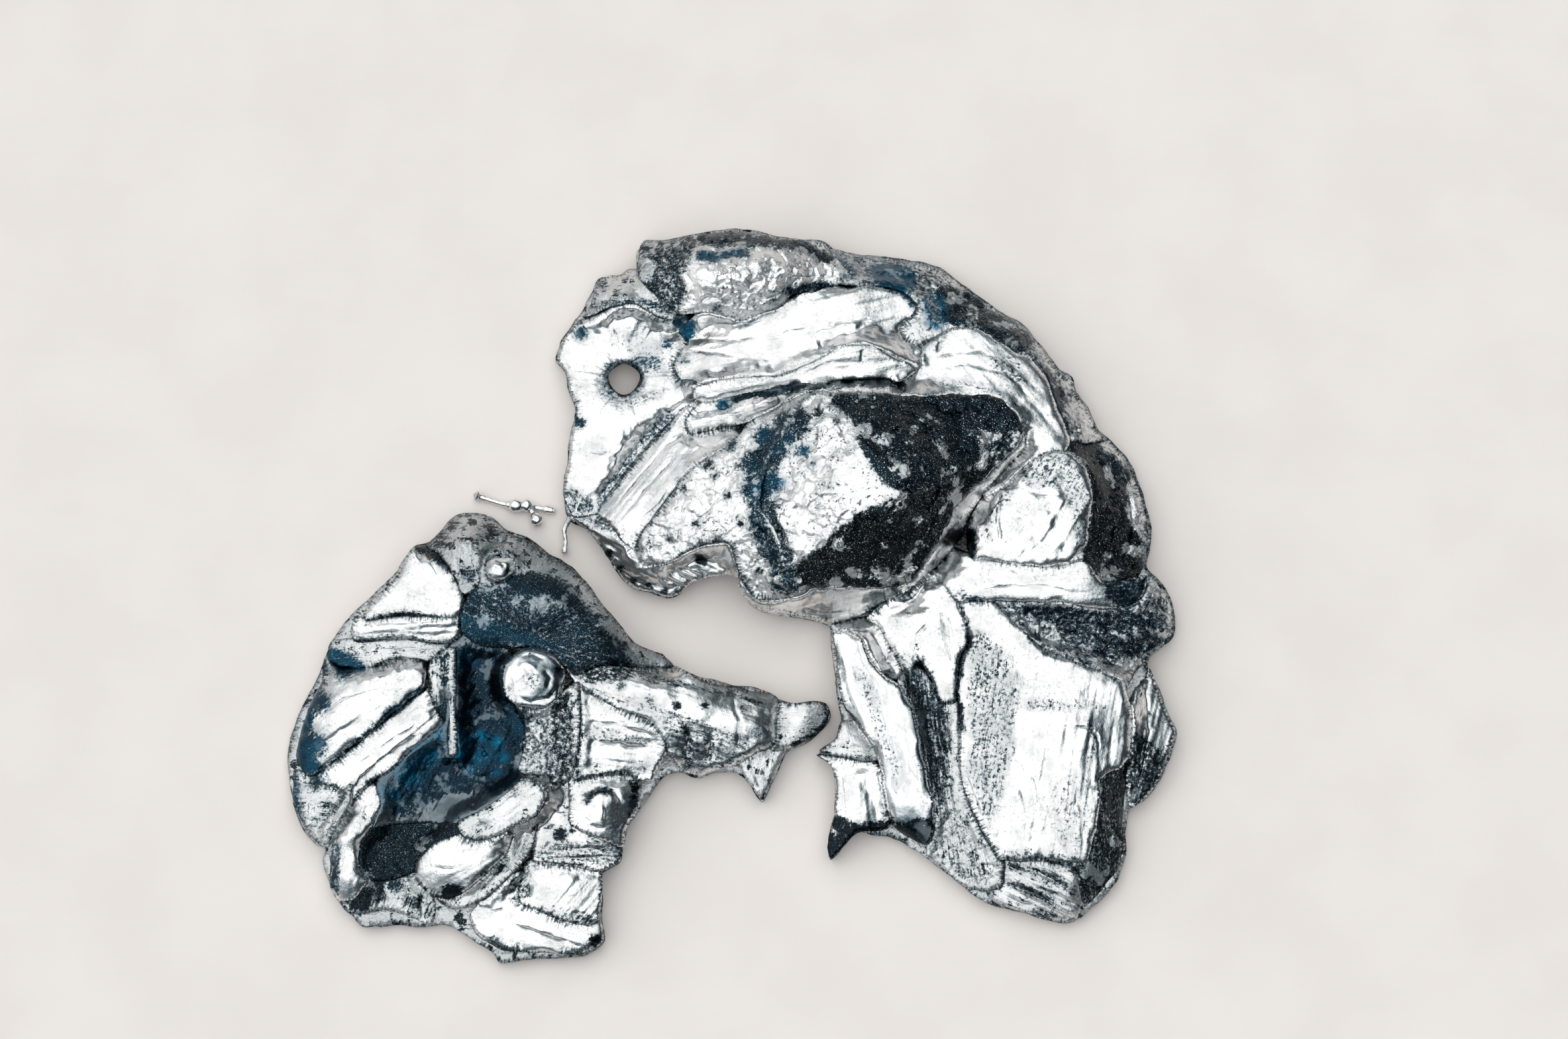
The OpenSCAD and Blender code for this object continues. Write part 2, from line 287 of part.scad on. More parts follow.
module nugget_west() color(BRIGHT)
    flow(NUGGET_WEST, [[-8.6, 3.6, 4.6], [-5, 8.6, 6.6], [-1, 11.6, 8.2], [4, 16.6, 8.2], [1, 8, 10],
        [3, 12, 10], [-4, 5.4, 7.6], [0.6, 3.4, 8.6], [3.4, 0.6, 7], [-6.4, 3.2, 5.8]], [NUGGET]);

module nugget_skirt() color(SATIN)
    flow(NUGGET_SKIRT, [[2, 0, 6.4], [8, 0.4, 6.4], [15, 0.4, 6], [2.2, -1.8, 3.4], [8.6, -3, 3],
        [13, -1.4, 4]], [NUGGET, NUGGET_WEST]);

module nugget_flank() color(SATIN)
    flow(NUGGET_FLANK, [[15.4, 0.4, 6], [19.6, 7, 7], [25.4, 14, 6.6], [21, 5.6, 5.4], [17, 1.4, 5],
        [24.6, 11.4, 5.6]], [NUGGET]);

module crest_lump() color(BRIGHT)
    flow(CREST_LUMP, [[-8, 32.4, 4], [-8.2, 29.6, 5.4], [-2.6, 30.8, 9.4], [4.4, 30.8, 9], [0.6, 26, 7.4],
        [-5, 28, 7.2], [0, 33.6, 5], [8, 32.4, 5], [10, 29.6, 6.4], [5.6, 28, 6.8], [1, 29, 8.6]]);

module corner_knob() color(SATIN)
    flow(CORNER_KNOB, [[-12.4, 28.4, 3], [-10.4, 29.2, 3], [-10.4, 27.8, 5.4], [-6.4, 26.2, 5.2],
        [-13.4, 26, 3], [-8.6, 28, 4.6]], [CREST_LUMP]);

module holed_sheet() color(BRIGHT)
    difference() {
        flow(HOLED_SHEET, [[-15.4, 21.4, 2.2], [-13.4, 24.8, 3], [-9.6, 25.4, 4.2], [-5.2, 24, 3], [-10, 19.6, 2],
            [-7, 21, 3.4], [-13, 19.4, 3], [-5, 18, 4.4], [-13, 14, 4], [-10, 14.6, 4.8], [-13.8, 9, 3],
            [-11, 9, 3], [-7.6, 14, 3.4], [-8, 17, 4.4]],
            [CREST_LUMP, CORNER_KNOB, CREST_BAND, LENS_FOLD, UNDER_LENS, FLUTE]);
        translate(slide(HOLE, puddle)) cylinder(r = hole_radius, h = BLOCK, $fn = ROUND);
    }

module crest_band() color(BRIGHT)
    flow(CREST_BAND, [[-5, 21.6, 3.6], [-4, 24.4, 3.4], [0, 23, 6], [6, 25, 7.2], [11, 27.4, 7.2],
        [15.4, 27.2, 6], [15.4, 24, 5.2], [1, 20.2, 6], [8, 23, 7], [16.6, 22, 6.4], [-2.4, 20.4, 5.2]],
        [CREST_LUMP, LENS_FOLD]);

module shoulder_band() color(BRIGHT)
    flow(SHOULDER_BAND, [[16, 20, 6.6], [20, 23.6, 5.4], [24, 22.4, 5.4], [28, 19.6, 4.6], [21, 20, 7],
        [26, 17.6, 6.6], [30, 14.4, 4.6], [27, 13, 6.6], [24.4, 10.4, 6.4], [28.6, 16, 5.6]],
        [CREST_BAND, LENS_FOLD, UNDER_LENS, NUGGET, NUGGET_FLANK, SHOULDER_PAD]);

module lens_fold() color(BRIGHT)
    flow(LENS_FOLD, [[-3.2, 18.4, 6], [2, 19.4, 7.4], [8, 21, 8.2], [12, 22, 8.6], [15.6, 20.8, 7.4],
        [12, 20.2, 7.6], [6, 19.4, 7.2]], [NUGGET]);

module under_lens() color(SATIN)
    flow(UNDER_LENS, [[-4, 15.2, 4.4], [-1, 16.4, 5], [4, 17.8, 5.4], [10, 18.8, 5.6], [14.6, 18.8, 5.6]],
        [LENS_FOLD, NUGGET, NUGGET_WEST]);

module rim_roll() color(DARK)
    flow(RIM_ROLL, [[9.4, 31.4, 3.2], [13, 30.8, 3], [13.4, 29, 5.6], [18, 29.8, 3], [18, 26, 5.2],
        [22, 27.2, 3], [22.6, 25, 5], [26, 24.4, 3], [26.8, 22, 4.8], [30, 19.6, 2.8], [28.8, 18.6, 4.4],
        [32, 16.4, 2.6], [30.6, 15, 4.2]], [CREST_LUMP, CREST_BAND, LENS_FOLD, SHOULDER_BAND]);

module flute() color(BRIGHT)
    flow(FLUTE, [[-12, 7, 3], [-9.6, 10.4, 3.2], [-5.6, 15.4, 3.8], [-9.6, 6, 5.6], [-6, 11, 6.2],
        [-1.4, 15, 6.4], [-8.6, 3.8, 4.6], [-4.6, 9, 6.2]], [NUGGET_WEST, UNDER_LENS, LENS_FOLD]);

module edge_lip() color(SATIN)
    flow(EDGE_LIP, [[-14, 6.6, 2.2], [-11, 5.2, 3.6], [-9, 1.2, 2.4], [-6, 1.6, 3.6], [-5, -0.4, 2.2],
        [-2.6, 2.8, 4], [0, 1.8, 3.4]], [FLUTE, NUGGET_WEST, HOLED_SHEET]);

module shoulder_pad() color(BRIGHT)
    flow(SHOULDER_PAD, [[21.4, 4.4, 5.8], [24, 8.4, 6.8], [28.6, 12, 6.4], [31.6, 9.6, 6], [27.4, 7, 8.2],
        [23.8, 5, 7.4], [31.4, 4.6, 6], [26, 2.6, 6.4]], [NUGGET_FLANK]);

module rim_right() color(DARK)
    flow(RIM_RIGHT, [[33.6, 13.2, 3], [36, 9, 2.6], [37, 5, 2.6], [31.6, 12.8, 5], [33, 9, 5.4], [33, 5, 5.4],
        [36, 2.6, 3.4], [32, 1.8, 5.4], [36.2, 7.6, 3.4]],
        [SHOULDER_PAD, CROSS_RIDGE, RIM_ROLL, SHOULDER_BAND]);

module cross_ridge() color(BRIGHT)
    flow(CROSS_RIDGE, [[18.6, 1.4, 5.8], [20, 0.4, 6], [24, 0.6, 7], [28, 0.4, 7], [32, -0.4, 6.4],
        [36, 0, 5], [24, -1, 6.2], [33, -1.8, 5.4]], [SHOULDER_PAD, NUGGET_FLANK]);

module dark_flank() color(DARK)
    flow(DARK_FLANK, [[20.8, -1.4, 4], [25, -3, 4.2], [30, -3.6, 4.4], [35, -2.6, 5], [37.6, -1, 4],
        [38.8, -3, 2.6], [36.4, -6.4, 3], [31, -8, 4.4], [26, -6.2, 4.4], [33, -5.6, 3.6]],
        [CROSS_RIDGE, RIM_RIGHT]);

module apron() color(BRIGHT)
    flow(APRON, [[20.6, -3, 5.4], [23, -3, 5.6], [26, -7.4, 5.6], [33.6, -9.8, 5.2], [35, -13, 4.2],
        [27, -12, 5.8], [31, -13.4, 5.6], [31.6, -18, 4.8], [26, -20, 4.6], [24, -24.4, 3.6],
        [30.4, -24.8, 3.2], [21, -17, 5], [20.4, -10, 5.2]], [CROSS_RIDGE, DARK_FLANK]);

module side_fold() color(DARK)
    flow(SIDE_FOLD, [[32.6, -17.6, 4.4], [34.2, -18, 2.4], [34, -24, 2], [31.6, -24, 3], [31.4, -28, 1.8]],
        [APRON]);

module neck_pad() color(BRIGHT)
    flow(NECK_PAD, [[16, 0, 5.2], [18.6, 0, 5.6], [20.4, -3.6, 5], [13.4, -3, 4.4], [16.4, -3.6, 5.8],
        [18.4, -6, 5.6], [19.4, -10, 4.6], [15.2, -7.4, 4.2]],
        [APRON, CROSS_RIDGE, NUGGET_SKIRT, NUGGET_FLANK, NUGGET]);

module fold_seam() color(DARK)
    flow(FOLD_SEAM, [[16, -8.4, 4], [19.2, -11, 4.4], [19.6, -17, 4], [17.6, -17, 2.8], [20.4, -22, 3.2],
        [18, -23.6, 2.2], [22.6, -26, 2.4], [16.6, -12, 3.2]], [APRON, NECK_PAD]);

module bar() color(BRIGHT)
    flow(BAR, [[9.2, -4.6, 3.2], [10.8, -5.4, 4.4], [12, -9.6, 5], [14, -14, 5], [15.4, -19, 4.6],
        [15.4, -22, 2.6], [9.4, -8.6, 3.4], [13.4, -17, 3.6], [16.8, -18, 3.8]], [NECK_PAD, FOLD_SEAM]);

module bar_cuff() color(SATIN)
    flow(BAR_CUFF, [[9.2, -3.8, 2.8], [12, -3.4, 3.6], [14.4, -7.4, 3.6]],
        [BAR, NECK_PAD, NUGGET_SKIRT, FOLD_SEAM]);

module lens_pad() color(SATIN)
    flow(LENS_PAD, [[10.4, -12.6, 2.6], [10.4, -14, 3.2], [8.2, -14.9, 2], [12, -15.2, 3]], [BAR]);

module hook_fin() color(BRIGHT)
    flow(HOOK_FIN, [[8, -15.5, 2.2], [9, -18, 2.6], [10.8, -18, 3.8], [12.8, -19, 2.8], [10.6, -21.4, 3],
        [8.6, -24.2, 1.8], [12.6, -21.8, 2.2]], [BAR, LENS_PAD]);

module toe() color(SATIN)
    flow(TOE, [[24, -25.2, 3], [29.6, -25.6, 3.2], [27, -27, 3.2], [29, -29.8, 1.8], [24.4, -28.8, 1.8],
        [22.4, -27, 2]], [APRON, SIDE_FOLD, FOLD_SEAM]);

module back_flake() color(DARK)
    flow(BACK_FLAKE, [[36.8, -8, 2], [36, -11, 3], [39, -13.2, 2.2], [36.2, -15, 3.2], [37, -18, 2],
        [35.2, -19.8, 1.8]], [APRON, SIDE_FOLD, DARK_FLANK]);

module hair_thread() color(SATIN) {
    path = [[-14.7, 6.5, 0.9], [-15.2, 5.4, 0.9], [-15.1, 4.4, 0.7], [-15.2, 3.4, 0.5]];
    for (i = [0 : len(path) - 2])
        hull() {
            translate(path[i]) sphere(r = 0.3, $fn = 10);
            translate(path[i + 1]) sphere(r = 0.3, $fn = 10);
        }
}

// ---- left casting ----

module left_puddle() color(SATIN)
    linear_extrude(height = puddle)
        plan(LEFT_PUDDLE);

module bead() color(BRIGHT)
    flow(BEAD, [[-17.8, -8.3, 8.2], [-20.6, -8.3, 5.8], [-15, -8.3, 5.8], [-17.8, -5.5, 6], [-17.8, -11.1, 5.8],
        [-19.7, -6.3, 6.2], [-15.9, -6.3, 6.2], [-19.7, -10.3, 6.2], [-15.9, -10.3, 6.2]]);

module peak_knob() color(SATIN)
    flow(PEAK_KNOB, [[-26, 5.2, 3.6], [-23.4, 6.6, 3.4], [-24.4, 5, 6.6], [-23.2, 3, 7], [-24, 0.4, 6.4],
        [-27.2, 3.8, 4.2], [-21, 5, 4.6]]);

module dome_bump() color(BRIGHT)
    flow(DOME_BUMP, [[-20.9, 1.9, 8.2], [-22.3, 1.9, 7.2], [-19.5, 1.9, 7.2], [-20.9, 3.3, 7.2],
        [-20.9, 0.5, 7.2]], [PEAK_KNOB]);

module dome_ridge() color(DARK)
    flow(DOME_RIDGE, [[-20, 4.8, 4.4], [-16.4, 2.8, 4.2], [-12.6, -0.4, 3.8], [-9, -4.8, 3], [-6, -6.6, 2.4],
        [-22.8, -1.6, 6.6], [-18.6, 0.6, 7.2], [-15, -0.6, 7], [-11.6, -3.6, 6], [-20.6, -4.6, 5.4],
        [-16, -5.6, 5.4], [-10, -6.8, 4.6]], [PEAK_KNOB, DOME_BUMP, BEAD]);

module fan_leaf() color(BRIGHT)
    flow(FAN_LEAF, [[-28.4, 3.2, 5], [-25.2, 0.6, 6.4], [-24.6, -2.2, 6.8], [-29, -2.2, 6], [-32.6, -2.4, 4.6],
        [-30, 0.6, 5]], [PEAK_KNOB, DOME_RIDGE]);

module fan_rib_upper() color(BRIGHT)
    flow(FAN_RIB_UPPER, [[-24.4, -3, 6.4], [-29, -3.2, 5.8], [-33.6, -3.6, 4.4], [-26, -4.9, 5.4],
        [-30, -4.7, 5]], [FAN_LEAF, DOME_RIDGE]);

module fan_rib_grey() color(SATIN)
    flow(FAN_RIB_GREY, [[-26, -5.6, 5.2], [-30, -5.6, 4.8], [-35.6, -5.6, 3], [-33, -7, 4]],
        [FAN_RIB_UPPER, POOL_FIN]);

module fan_rib_broad() color(BRIGHT)
    flow(FAN_RIB_BROAD, [[-27.8, -7.6, 6.4], [-32, -8.8, 6], [-35.6, -8, 3.4], [-35, -12, 5.4], [-38, -14, 2.8],
        [-37, -16.6, 3], [-33, -13, 4.2], [-29, -9.8, 5]], [FAN_RIB_GREY]);

module fan_rib_long() color(BRIGHT)
    flow(FAN_RIB_LONG, [[-26.6, -10.6, 5.6], [-30, -13, 5.2], [-34, -16, 4.4], [-36.6, -17.2, 3.2],
        [-27, -13.2, 5], [-31.6, -17, 4.4], [-35.4, -21.6, 3]], [FAN_RIB_BROAD, POOL_FIN]);

module rim_plate() color(SATIN)
    flow(RIM_PLATE, [[-38.4, -17.4, 2], [-37.8, -20.2, 2.8], [-36.2, -23, 1.9], [-34.6, -19, 3.4]],
        [FAN_RIB_LONG, RIM_RIB, FAN_RIB_BROAD]);

module rim_rib() color(BRIGHT)
    flow(RIM_RIB, [[-32.6, -18.6, 4.6], [-33.6, -22.6, 4.6], [-34, -26, 4], [-34, -28, 2.2], [-35.2, -25, 2.4],
        [-32.4, -24.4, 3]], [FAN_RIB_LONG]);

module blue_pool() color(BLUE)
    flow(BLUE_POOL, [[-25.6, -6.4, 4.4], [-22.4, -6.4, 4.2], [-22.6, -10, 3.4], [-22.4, -15.2, 2.8],
        [-26, -17.6, 2.8], [-18, -12, 4], [-18.4, -17, 4], [-21, -19, 3.8], [-26.6, -14, 4],
        [-31, -18.6, 4], [-30, -21, 3]],
        [BEAD, DOME_RIDGE, POOL_FIN, FAN_RIB_UPPER, FAN_RIB_GREY, FAN_RIB_LONG, RIM_RIB, SADDLE, POD_CREST]);

module pool_fin() color(SATIN)
    flow(POOL_FIN, [[-26.4, -7, 5.6], [-25, -6, 5.6], [-24.8, -10, 5.4], [-24.8, -15, 4.4], [-26.8, -9, 5.4]]);

module saddle() color(SATIN)
    flow(SADDLE, [[-18, -11.6, 4.6], [-14.4, -9.6, 5.4], [-14.2, -14, 5], [-15, -17.8, 4.4], [-17.6, -14.6, 5],
        [-18.4, -17.2, 4.4]], [BEAD, POD_CREST, DOME_RIDGE, ARM]);

module arm() color(SATIN)
    flow(ARM, [[-14, -8, 5.4], [-8, -7, 4], [0, -9.2, 3], [3.8, -10.8, 2.6], [-9, -9.4, 5.8], [-3, -10.6, 5.2],
        [1.6, -12.4, 4.2], [-3.6, -14, 4.2], [-3, -17, 2.4], [1, -15.8, 2.8], [-11, -10.6, 5]],
        [DOME_RIDGE, BEAD]);

module arm_pad() color(SATIN)
    flow(ARM_PAD, [[4.4, -11, 3], [6.4, -11.6, 3.4], [8.2, -11.4, 2.4], [6.4, -13.8, 2.2], [4.2, -14.2, 2.6]],
        [ARM]);

module arm_fang() color(SATIN)
    flow(ARM_FANG, [[1.6, -15.6, 2.8], [3.8, -15, 2.6], [2.6, -17, 2.2], [2.6, -19.2, 1.7]], [ARM, ARM_PAD]);

module ledge() color(BRIGHT)
    flow(LEDGE, [[-13.4, -10.4, 5], [-9, -12, 4.9], [-6, -13.4, 4.4], [-13.4, -14, 4.4], [-7.4, -14.8, 3.8],
        [-10.6, -16, 4], [-13.6, -17, 4.2], [-8, -17.2, 3]], [ARM, SADDLE, DOME_RIDGE]);

module ring_cell() color(BRIGHT)
    flow(RING_CELL, [[-13.8, -17.8, 4.2], [-9, -17.6, 3.6], [-11.7, -20.2, 4.8], [-8.8, -20.4, 3],
        [-10, -23.2, 2.8], [-13.8, -21.4, 4]], [LEDGE, SADDLE]);

module mid_ledge() color(BRIGHT)
    flow(MID_LEDGE, [[-16, -18.4, 3.8], [-15, -20.6, 4], [-16.8, -24.6, 3.2], [-13.4, -24, 3.2],
        [-10, -24.4, 2.4], [-17.2, -22, 3.4]], [RING_CELL, SADDLE, POD_CREST, POD_LIP, LEDGE]);

module lower_cell() color(BRIGHT)
    flow(LOWER_CELL, [[-18, -26, 3], [-14.6, -26, 3.4], [-12, -27.2, 2.6], [-12.2, -30, 2.4], [-15.6, -29, 3.2],
        [-18, -28.4, 2.8]], [MID_LEDGE]);

module rim_fold() color(BRIGHT)
    flow(RIM_FOLD, [[-19.2, -27, 2.6], [-18, -30.4, 2.8], [-13, -31.6, 2.6], [-12, -32.4, 1.8], [-20.4, -32.6, 1.8],
        [-22.4, -30, 2], [-16.4, -32.8, 1.8]], [LOWER_CELL, MID_LEDGE, POD_LIP]);

module pod_crest() color(BRIGHT)
    flow(POD_CREST, [[-24, -21.6, 4], [-21.6, -21, 5.6], [-18, -18.8, 5.6], [-17, -20, 4.6], [-21, -22.4, 4.6]]);

module pod_flap() color(BRIGHT)
    flow(POD_FLAP, [[-27.4, -25, 2.8], [-25.4, -25.6, 4], [-22.4, -24.4, 4.8], [-20.4, -23.4, 4.4],
        [-25, -28, 2.4]], [POD_CREST]);

module pod_lip() color(SATIN)
    flow(POD_LIP, [[-17.6, -21, 4], [-18.6, -23.6, 3.8], [-20.8, -26.4, 3.4], [-24.4, -28.6, 2.2]],
        [POD_CREST, POD_FLAP]);

module hollow() color(DARK)
    flow(HOLLOW, [[-32.4, -22.6, 2.6], [-28, -23, 2], [-25, -22.4, 2.4], [-31, -25.8, 2.4]],
        [BLUE_POOL, RIM_RIB, POD_CREST, POD_FLAP]);

module skirt_shell() color(SATIN)
    flow(SKIRT_SHELL, [[-32.4, -26.6, 2.8], [-31, -28, 2.2], [-33.4, -29.2, 1.7], [-29, -27, 2.8],
        [-27, -30, 1.7]], [HOLLOW, RIM_RIB, POD_FLAP, POD_LIP]);

// ---- loose dribble ----

module dribble() color(SATIN) {
    path = [[-23.2, 8.7, bead_radius * 0.8], [-21, 8, thread_radius], [-19.6, 7.7, bead_radius],
        [-18.6, 7.7, bead_radius], [-17.6, 7.6, thread_radius], [-16.6, 7.3, thread_radius]];
    drop = [[-18.2, 7.4, thread_radius], [-17.8, 6.6, bead_radius], [-17.6, 6.1, bead_radius * 0.9]];
    for (run = [path, drop])
        for (i = [0 : len(run) - 2])
            hull() {
                translate(run[i]) sphere(r = run[i][2], $fn = 12);
                translate(run[i + 1]) sphere(r = run[i + 1][2], $fn = 12);
            }
}

right_puddle();
nugget();
nugget_west();
nugget_skirt();
nugget_flank();
crest_lump();
corner_knob();
holed_sheet();
crest_band();
shoulder_band();
lens_fold();
under_lens();
rim_roll();
flute();
edge_lip();
shoulder_pad();
rim_right();
cross_ridge();
dark_flank();
apron();
side_fold();
neck_pad();
fold_seam();
bar();
bar_cuff();
lens_pad();
hook_fin();
toe();
back_flake();
hair_thread();
left_puddle();
bead();
peak_knob();
dome_bump();
dome_ridge();
fan_leaf();
fan_rib_upper();
fan_rib_grey();
fan_rib_broad();
fan_rib_long();
rim_plate();
rim_rib();
blue_pool();
pool_fin();
saddle();
arm();
arm_pad();
arm_fang();
ledge();
ring_cell();
mid_ledge();
lower_cell();
rim_fold();
pod_crest();
pod_flap();
pod_lip();
hollow();
skirt_shell();
dribble();
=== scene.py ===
import math
import bpy
import numpy as np
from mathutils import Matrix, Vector, kdtree
from mathutils.geometry import delaunay_2d_cdt


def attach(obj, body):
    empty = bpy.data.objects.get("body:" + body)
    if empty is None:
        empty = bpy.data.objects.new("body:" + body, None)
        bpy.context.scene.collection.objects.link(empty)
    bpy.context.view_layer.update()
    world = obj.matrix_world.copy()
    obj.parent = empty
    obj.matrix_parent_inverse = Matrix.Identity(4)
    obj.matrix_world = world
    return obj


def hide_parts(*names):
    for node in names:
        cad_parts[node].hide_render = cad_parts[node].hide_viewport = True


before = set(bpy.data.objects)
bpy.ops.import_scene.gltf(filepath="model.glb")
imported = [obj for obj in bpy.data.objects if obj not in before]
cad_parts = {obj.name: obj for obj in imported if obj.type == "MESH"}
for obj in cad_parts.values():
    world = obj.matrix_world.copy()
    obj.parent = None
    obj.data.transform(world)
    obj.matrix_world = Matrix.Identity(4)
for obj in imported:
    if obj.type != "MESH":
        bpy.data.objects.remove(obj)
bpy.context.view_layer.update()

# ---- Camera ----
# A long lens almost straight above the table, leaning a little toward the front.
# Plan positions below are in millimetres and are true 0.8 mm above the table; they lean
# toward the eye as they rise, so the pieces cover each other as they do from above.
MM = 0.001
ELEVATION = math.radians(74)
EYE_MM = (4.5, -101.5, 377.0)
PLAN_Z = 0.8
camera_data = bpy.data.cameras.new("eye")
camera_data.lens = 100
camera_data.sensor_width = 36
camera_data.clip_start = 0.01
camera_data.clip_end = 10
camera = bpy.data.objects.new("eye", camera_data)
bpy.context.collection.objects.link(camera)
camera.location = Vector(EYE_MM) * MM
camera.rotation_euler = (math.pi / 2 - ELEVATION, 0, 0)
bpy.context.scene.camera = camera
bpy.context.scene.view_settings.view_transform = "Standard"

# ---- Studio light ----
# A broad white cloth light overhead and to the left. Its edge falls through deep blue to a dark room,
# and the low ring of the room is a quiet grey.
LIGHT_FROM = (-0.36, 0.12, 0.93)
LIGHT_WHITE = 1.54


def light_ramp(nodes, stops):
    ramp = nodes.new("ShaderNodeValToRGB")
    ramp.color_ramp.interpolation = "EASE"
    spare = ramp.color_ramp.elements
    while len(spare) > 1:
        spare.remove(spare[-1])
    spare[0].position, spare[0].color = stops[0][0], (*stops[0][1], 1)
    for place, colour in stops[1:]:
        spare.new(place).color = (*colour, 1)
    return ramp


world = bpy.data.worlds.new("room")
bpy.context.scene.world = world
world.use_nodes = True
nodes, links = world.node_tree.nodes, world.node_tree.links
nodes.clear()
where = nodes.new("ShaderNodeTexCoord")
aim = nodes.new("ShaderNodeVectorMath")
aim.operation = "DOT_PRODUCT"
aim.inputs[1].default_value = Vector(LIGHT_FROM).normalized()
links.new(where.outputs["Generated"], aim.inputs[0])
rise = nodes.new("ShaderNodeSeparateXYZ")
links.new(where.outputs["Generated"], rise.inputs[0])
main = light_ramp(nodes, [(0.0, (0.012, 0.015, 0.018)), (0.26, (0.016, 0.023, 0.028)),
                          (0.36, (0.08, 0.14, 0.17)), (0.48, (0.42, 0.47, 0.49)), (0.62, (1.0, 1.0, 0.99)),
                          (1.0, (1.0, 1.0, 0.99))])
links.new(aim.outputs["Value"], main.inputs[0])
low = light_ramp(nodes, [(0.0, (0.34, 0.35, 0.36)), (0.12, (0.22, 0.24, 0.26)), (0.32, (0, 0, 0))])
links.new(rise.outputs["Z"], low.inputs[0])
both = nodes.new("ShaderNodeMix")
both.data_type, both.blend_type = "RGBA", "LIGHTEN"
both.inputs["Factor"].default_value = 1
links.new(main.outputs["Color"], both.inputs["A"])
links.new(low.outputs["Color"], both.inputs["B"])
cloth = nodes.new("ShaderNodeTexNoise")
cloth.inputs["Scale"].default_value = 2.6
cloth.inputs["Detail"].default_value = 2
links.new(where.outputs["Generated"], cloth.inputs["Vector"])
uneven = light_ramp(nodes, [(0.36, (0.60, 0.61, 0.62)), (0.54, (1.0, 1.0, 1.0))])
links.new(cloth.outputs["Fac"], uneven.inputs[0])
shaded = nodes.new("ShaderNodeMix")
shaded.data_type, shaded.blend_type = "RGBA", "MULTIPLY"
shaded.inputs["Factor"].default_value = 1
links.new(both.outputs["Result"], shaded.inputs["A"])
links.new(uneven.outputs["Color"], shaded.inputs["B"])
lamp = nodes.new("ShaderNodeBackground")
lamp.inputs["Strength"].default_value = LIGHT_WHITE
links.new(shaded.outputs["Result"], lamp.inputs["Color"])
out = nodes.new("ShaderNodeOutputWorld")
links.new(lamp.outputs["Background"], out.inputs["Surface"])

# ---- Floor ----
# A sheet of plain pale paper, a little warm, with the faintest unevenness.
FLOOR_HALF = 0.5
mesh = bpy.data.meshes.new("floor")
mesh.from_pydata([(-FLOOR_HALF, -FLOOR_HALF, 0), (FLOOR_HALF, -FLOOR_HALF, 0), (FLOOR_HALF, FLOOR_HALF, 0),
                  (-FLOOR_HALF, FLOOR_HALF, 0)], [], [(0, 1, 2, 3)])
floor = bpy.data.objects.new("floor", mesh)
bpy.context.collection.objects.link(floor)
paper = bpy.data.materials.new("paper")
paper.use_nodes = True
nodes, links = paper.node_tree.nodes, paper.node_tree.links
skin = nodes["Principled BSDF"]
skin.inputs["Roughness"].default_value = 0.9
skin.inputs["Specular IOR Level"].default_value = 0.1
place = nodes.new("ShaderNodeTexCoord")
mottle = nodes.new("ShaderNodeTexNoise")
mottle.inputs["Scale"].default_value = 90
mottle.inputs["Detail"].default_value = 4
links.new(place.outputs["Object"], mottle.inputs["Vector"])
tone = light_ramp(nodes, [(0.3, (0.84, 0.785, 0.75)), (0.7, (0.88, 0.825, 0.79))])
links.new(mottle.outputs["Fac"], tone.inputs[0])
links.new(tone.outputs["Color"], skin.inputs["Base Color"])
floor.data.materials.append(paper)

# ---- Puddles ----
# The first metal out of the ladle: each casting lies on a thin flat sheet that froze on the table.
# Cast tin. Its rounded rim shows as a narrow skirt all round the later flows.
PITCH = 0.14


def hashed(ix, iy, seed):
    value = (ix * 374761393 + iy * 668265263 + seed * 974634777) & 0xFFFFFFFF
    value = ((value ^ (value >> 13)) * 1274126177) & 0xFFFFFFFF
    value = ((value ^ (value >> 15)) * 2246822519) & 0xFFFFFFFF
    return ((value ^ (value >> 16)) & 0xFFFFFF) / 0xFFFFFF


def noise(x, y, seed):
    """Smooth noise from -1 to 1."""
    ix, iy = np.floor(x).astype(np.int64), np.floor(y).astype(np.int64)
    fx, fy = x - ix, y - iy
    fx, fy = fx * fx * (3 - 2 * fx), fy * fy * (3 - 2 * fy)
    low = hashed(ix, iy, seed) * (1 - fx) + hashed(ix + 1, iy, seed) * fx
    high = hashed(ix, iy + 1, seed) * (1 - fx) + hashed(ix + 1, iy + 1, seed) * fx
    return 2 * (low * (1 - fy) + high * fy) - 1


def layered(x, y, seed, layers=3):
    """Several layers of noise, each turned and half the size of the one before."""
    total, size = 0, 1.0
    for layer in range(layers):
        total = total + size * noise(x, y, seed + layer)
        x, y = 1.6 * x - 1.2 * y + 5.3, 1.2 * x + 1.6 * y + 9.1
        size *= 0.5
    return total / (2 - 2 ** (1 - layers))


def facets(x, y, seed):
    """Crystal facets: small flat cells, each tilted its own way."""
    ix, iy = np.floor(x).astype(np.int64), np.floor(y).astype(np.int64)
    best = np.full(x.shape, 9.0)
    height = np.zeros(x.shape)
    for dx in (-1, 0, 1):
        for dy in (-1, 0, 1):
            cx = ix + dx + hashed(ix + dx, iy + dy, seed)
            cy = iy + dy + hashed(ix + dx, iy + dy, seed + 1)
            away = (x - cx) ** 2 + (y - cy) ** 2
            tilt_x = hashed(ix + dx, iy + dy, seed + 2) - 0.5
            tilt_y = hashed(ix + dx, iy + dy, seed + 3) - 0.5
            plane = 2 * (tilt_x * (x - cx) + tilt_y * (y - cy)) + 0.5 * hashed(ix + dx, iy + dy, seed + 4)
            near = away < best
            best, height = np.where(near, away, best), np.where(near, plane, height)
    return height


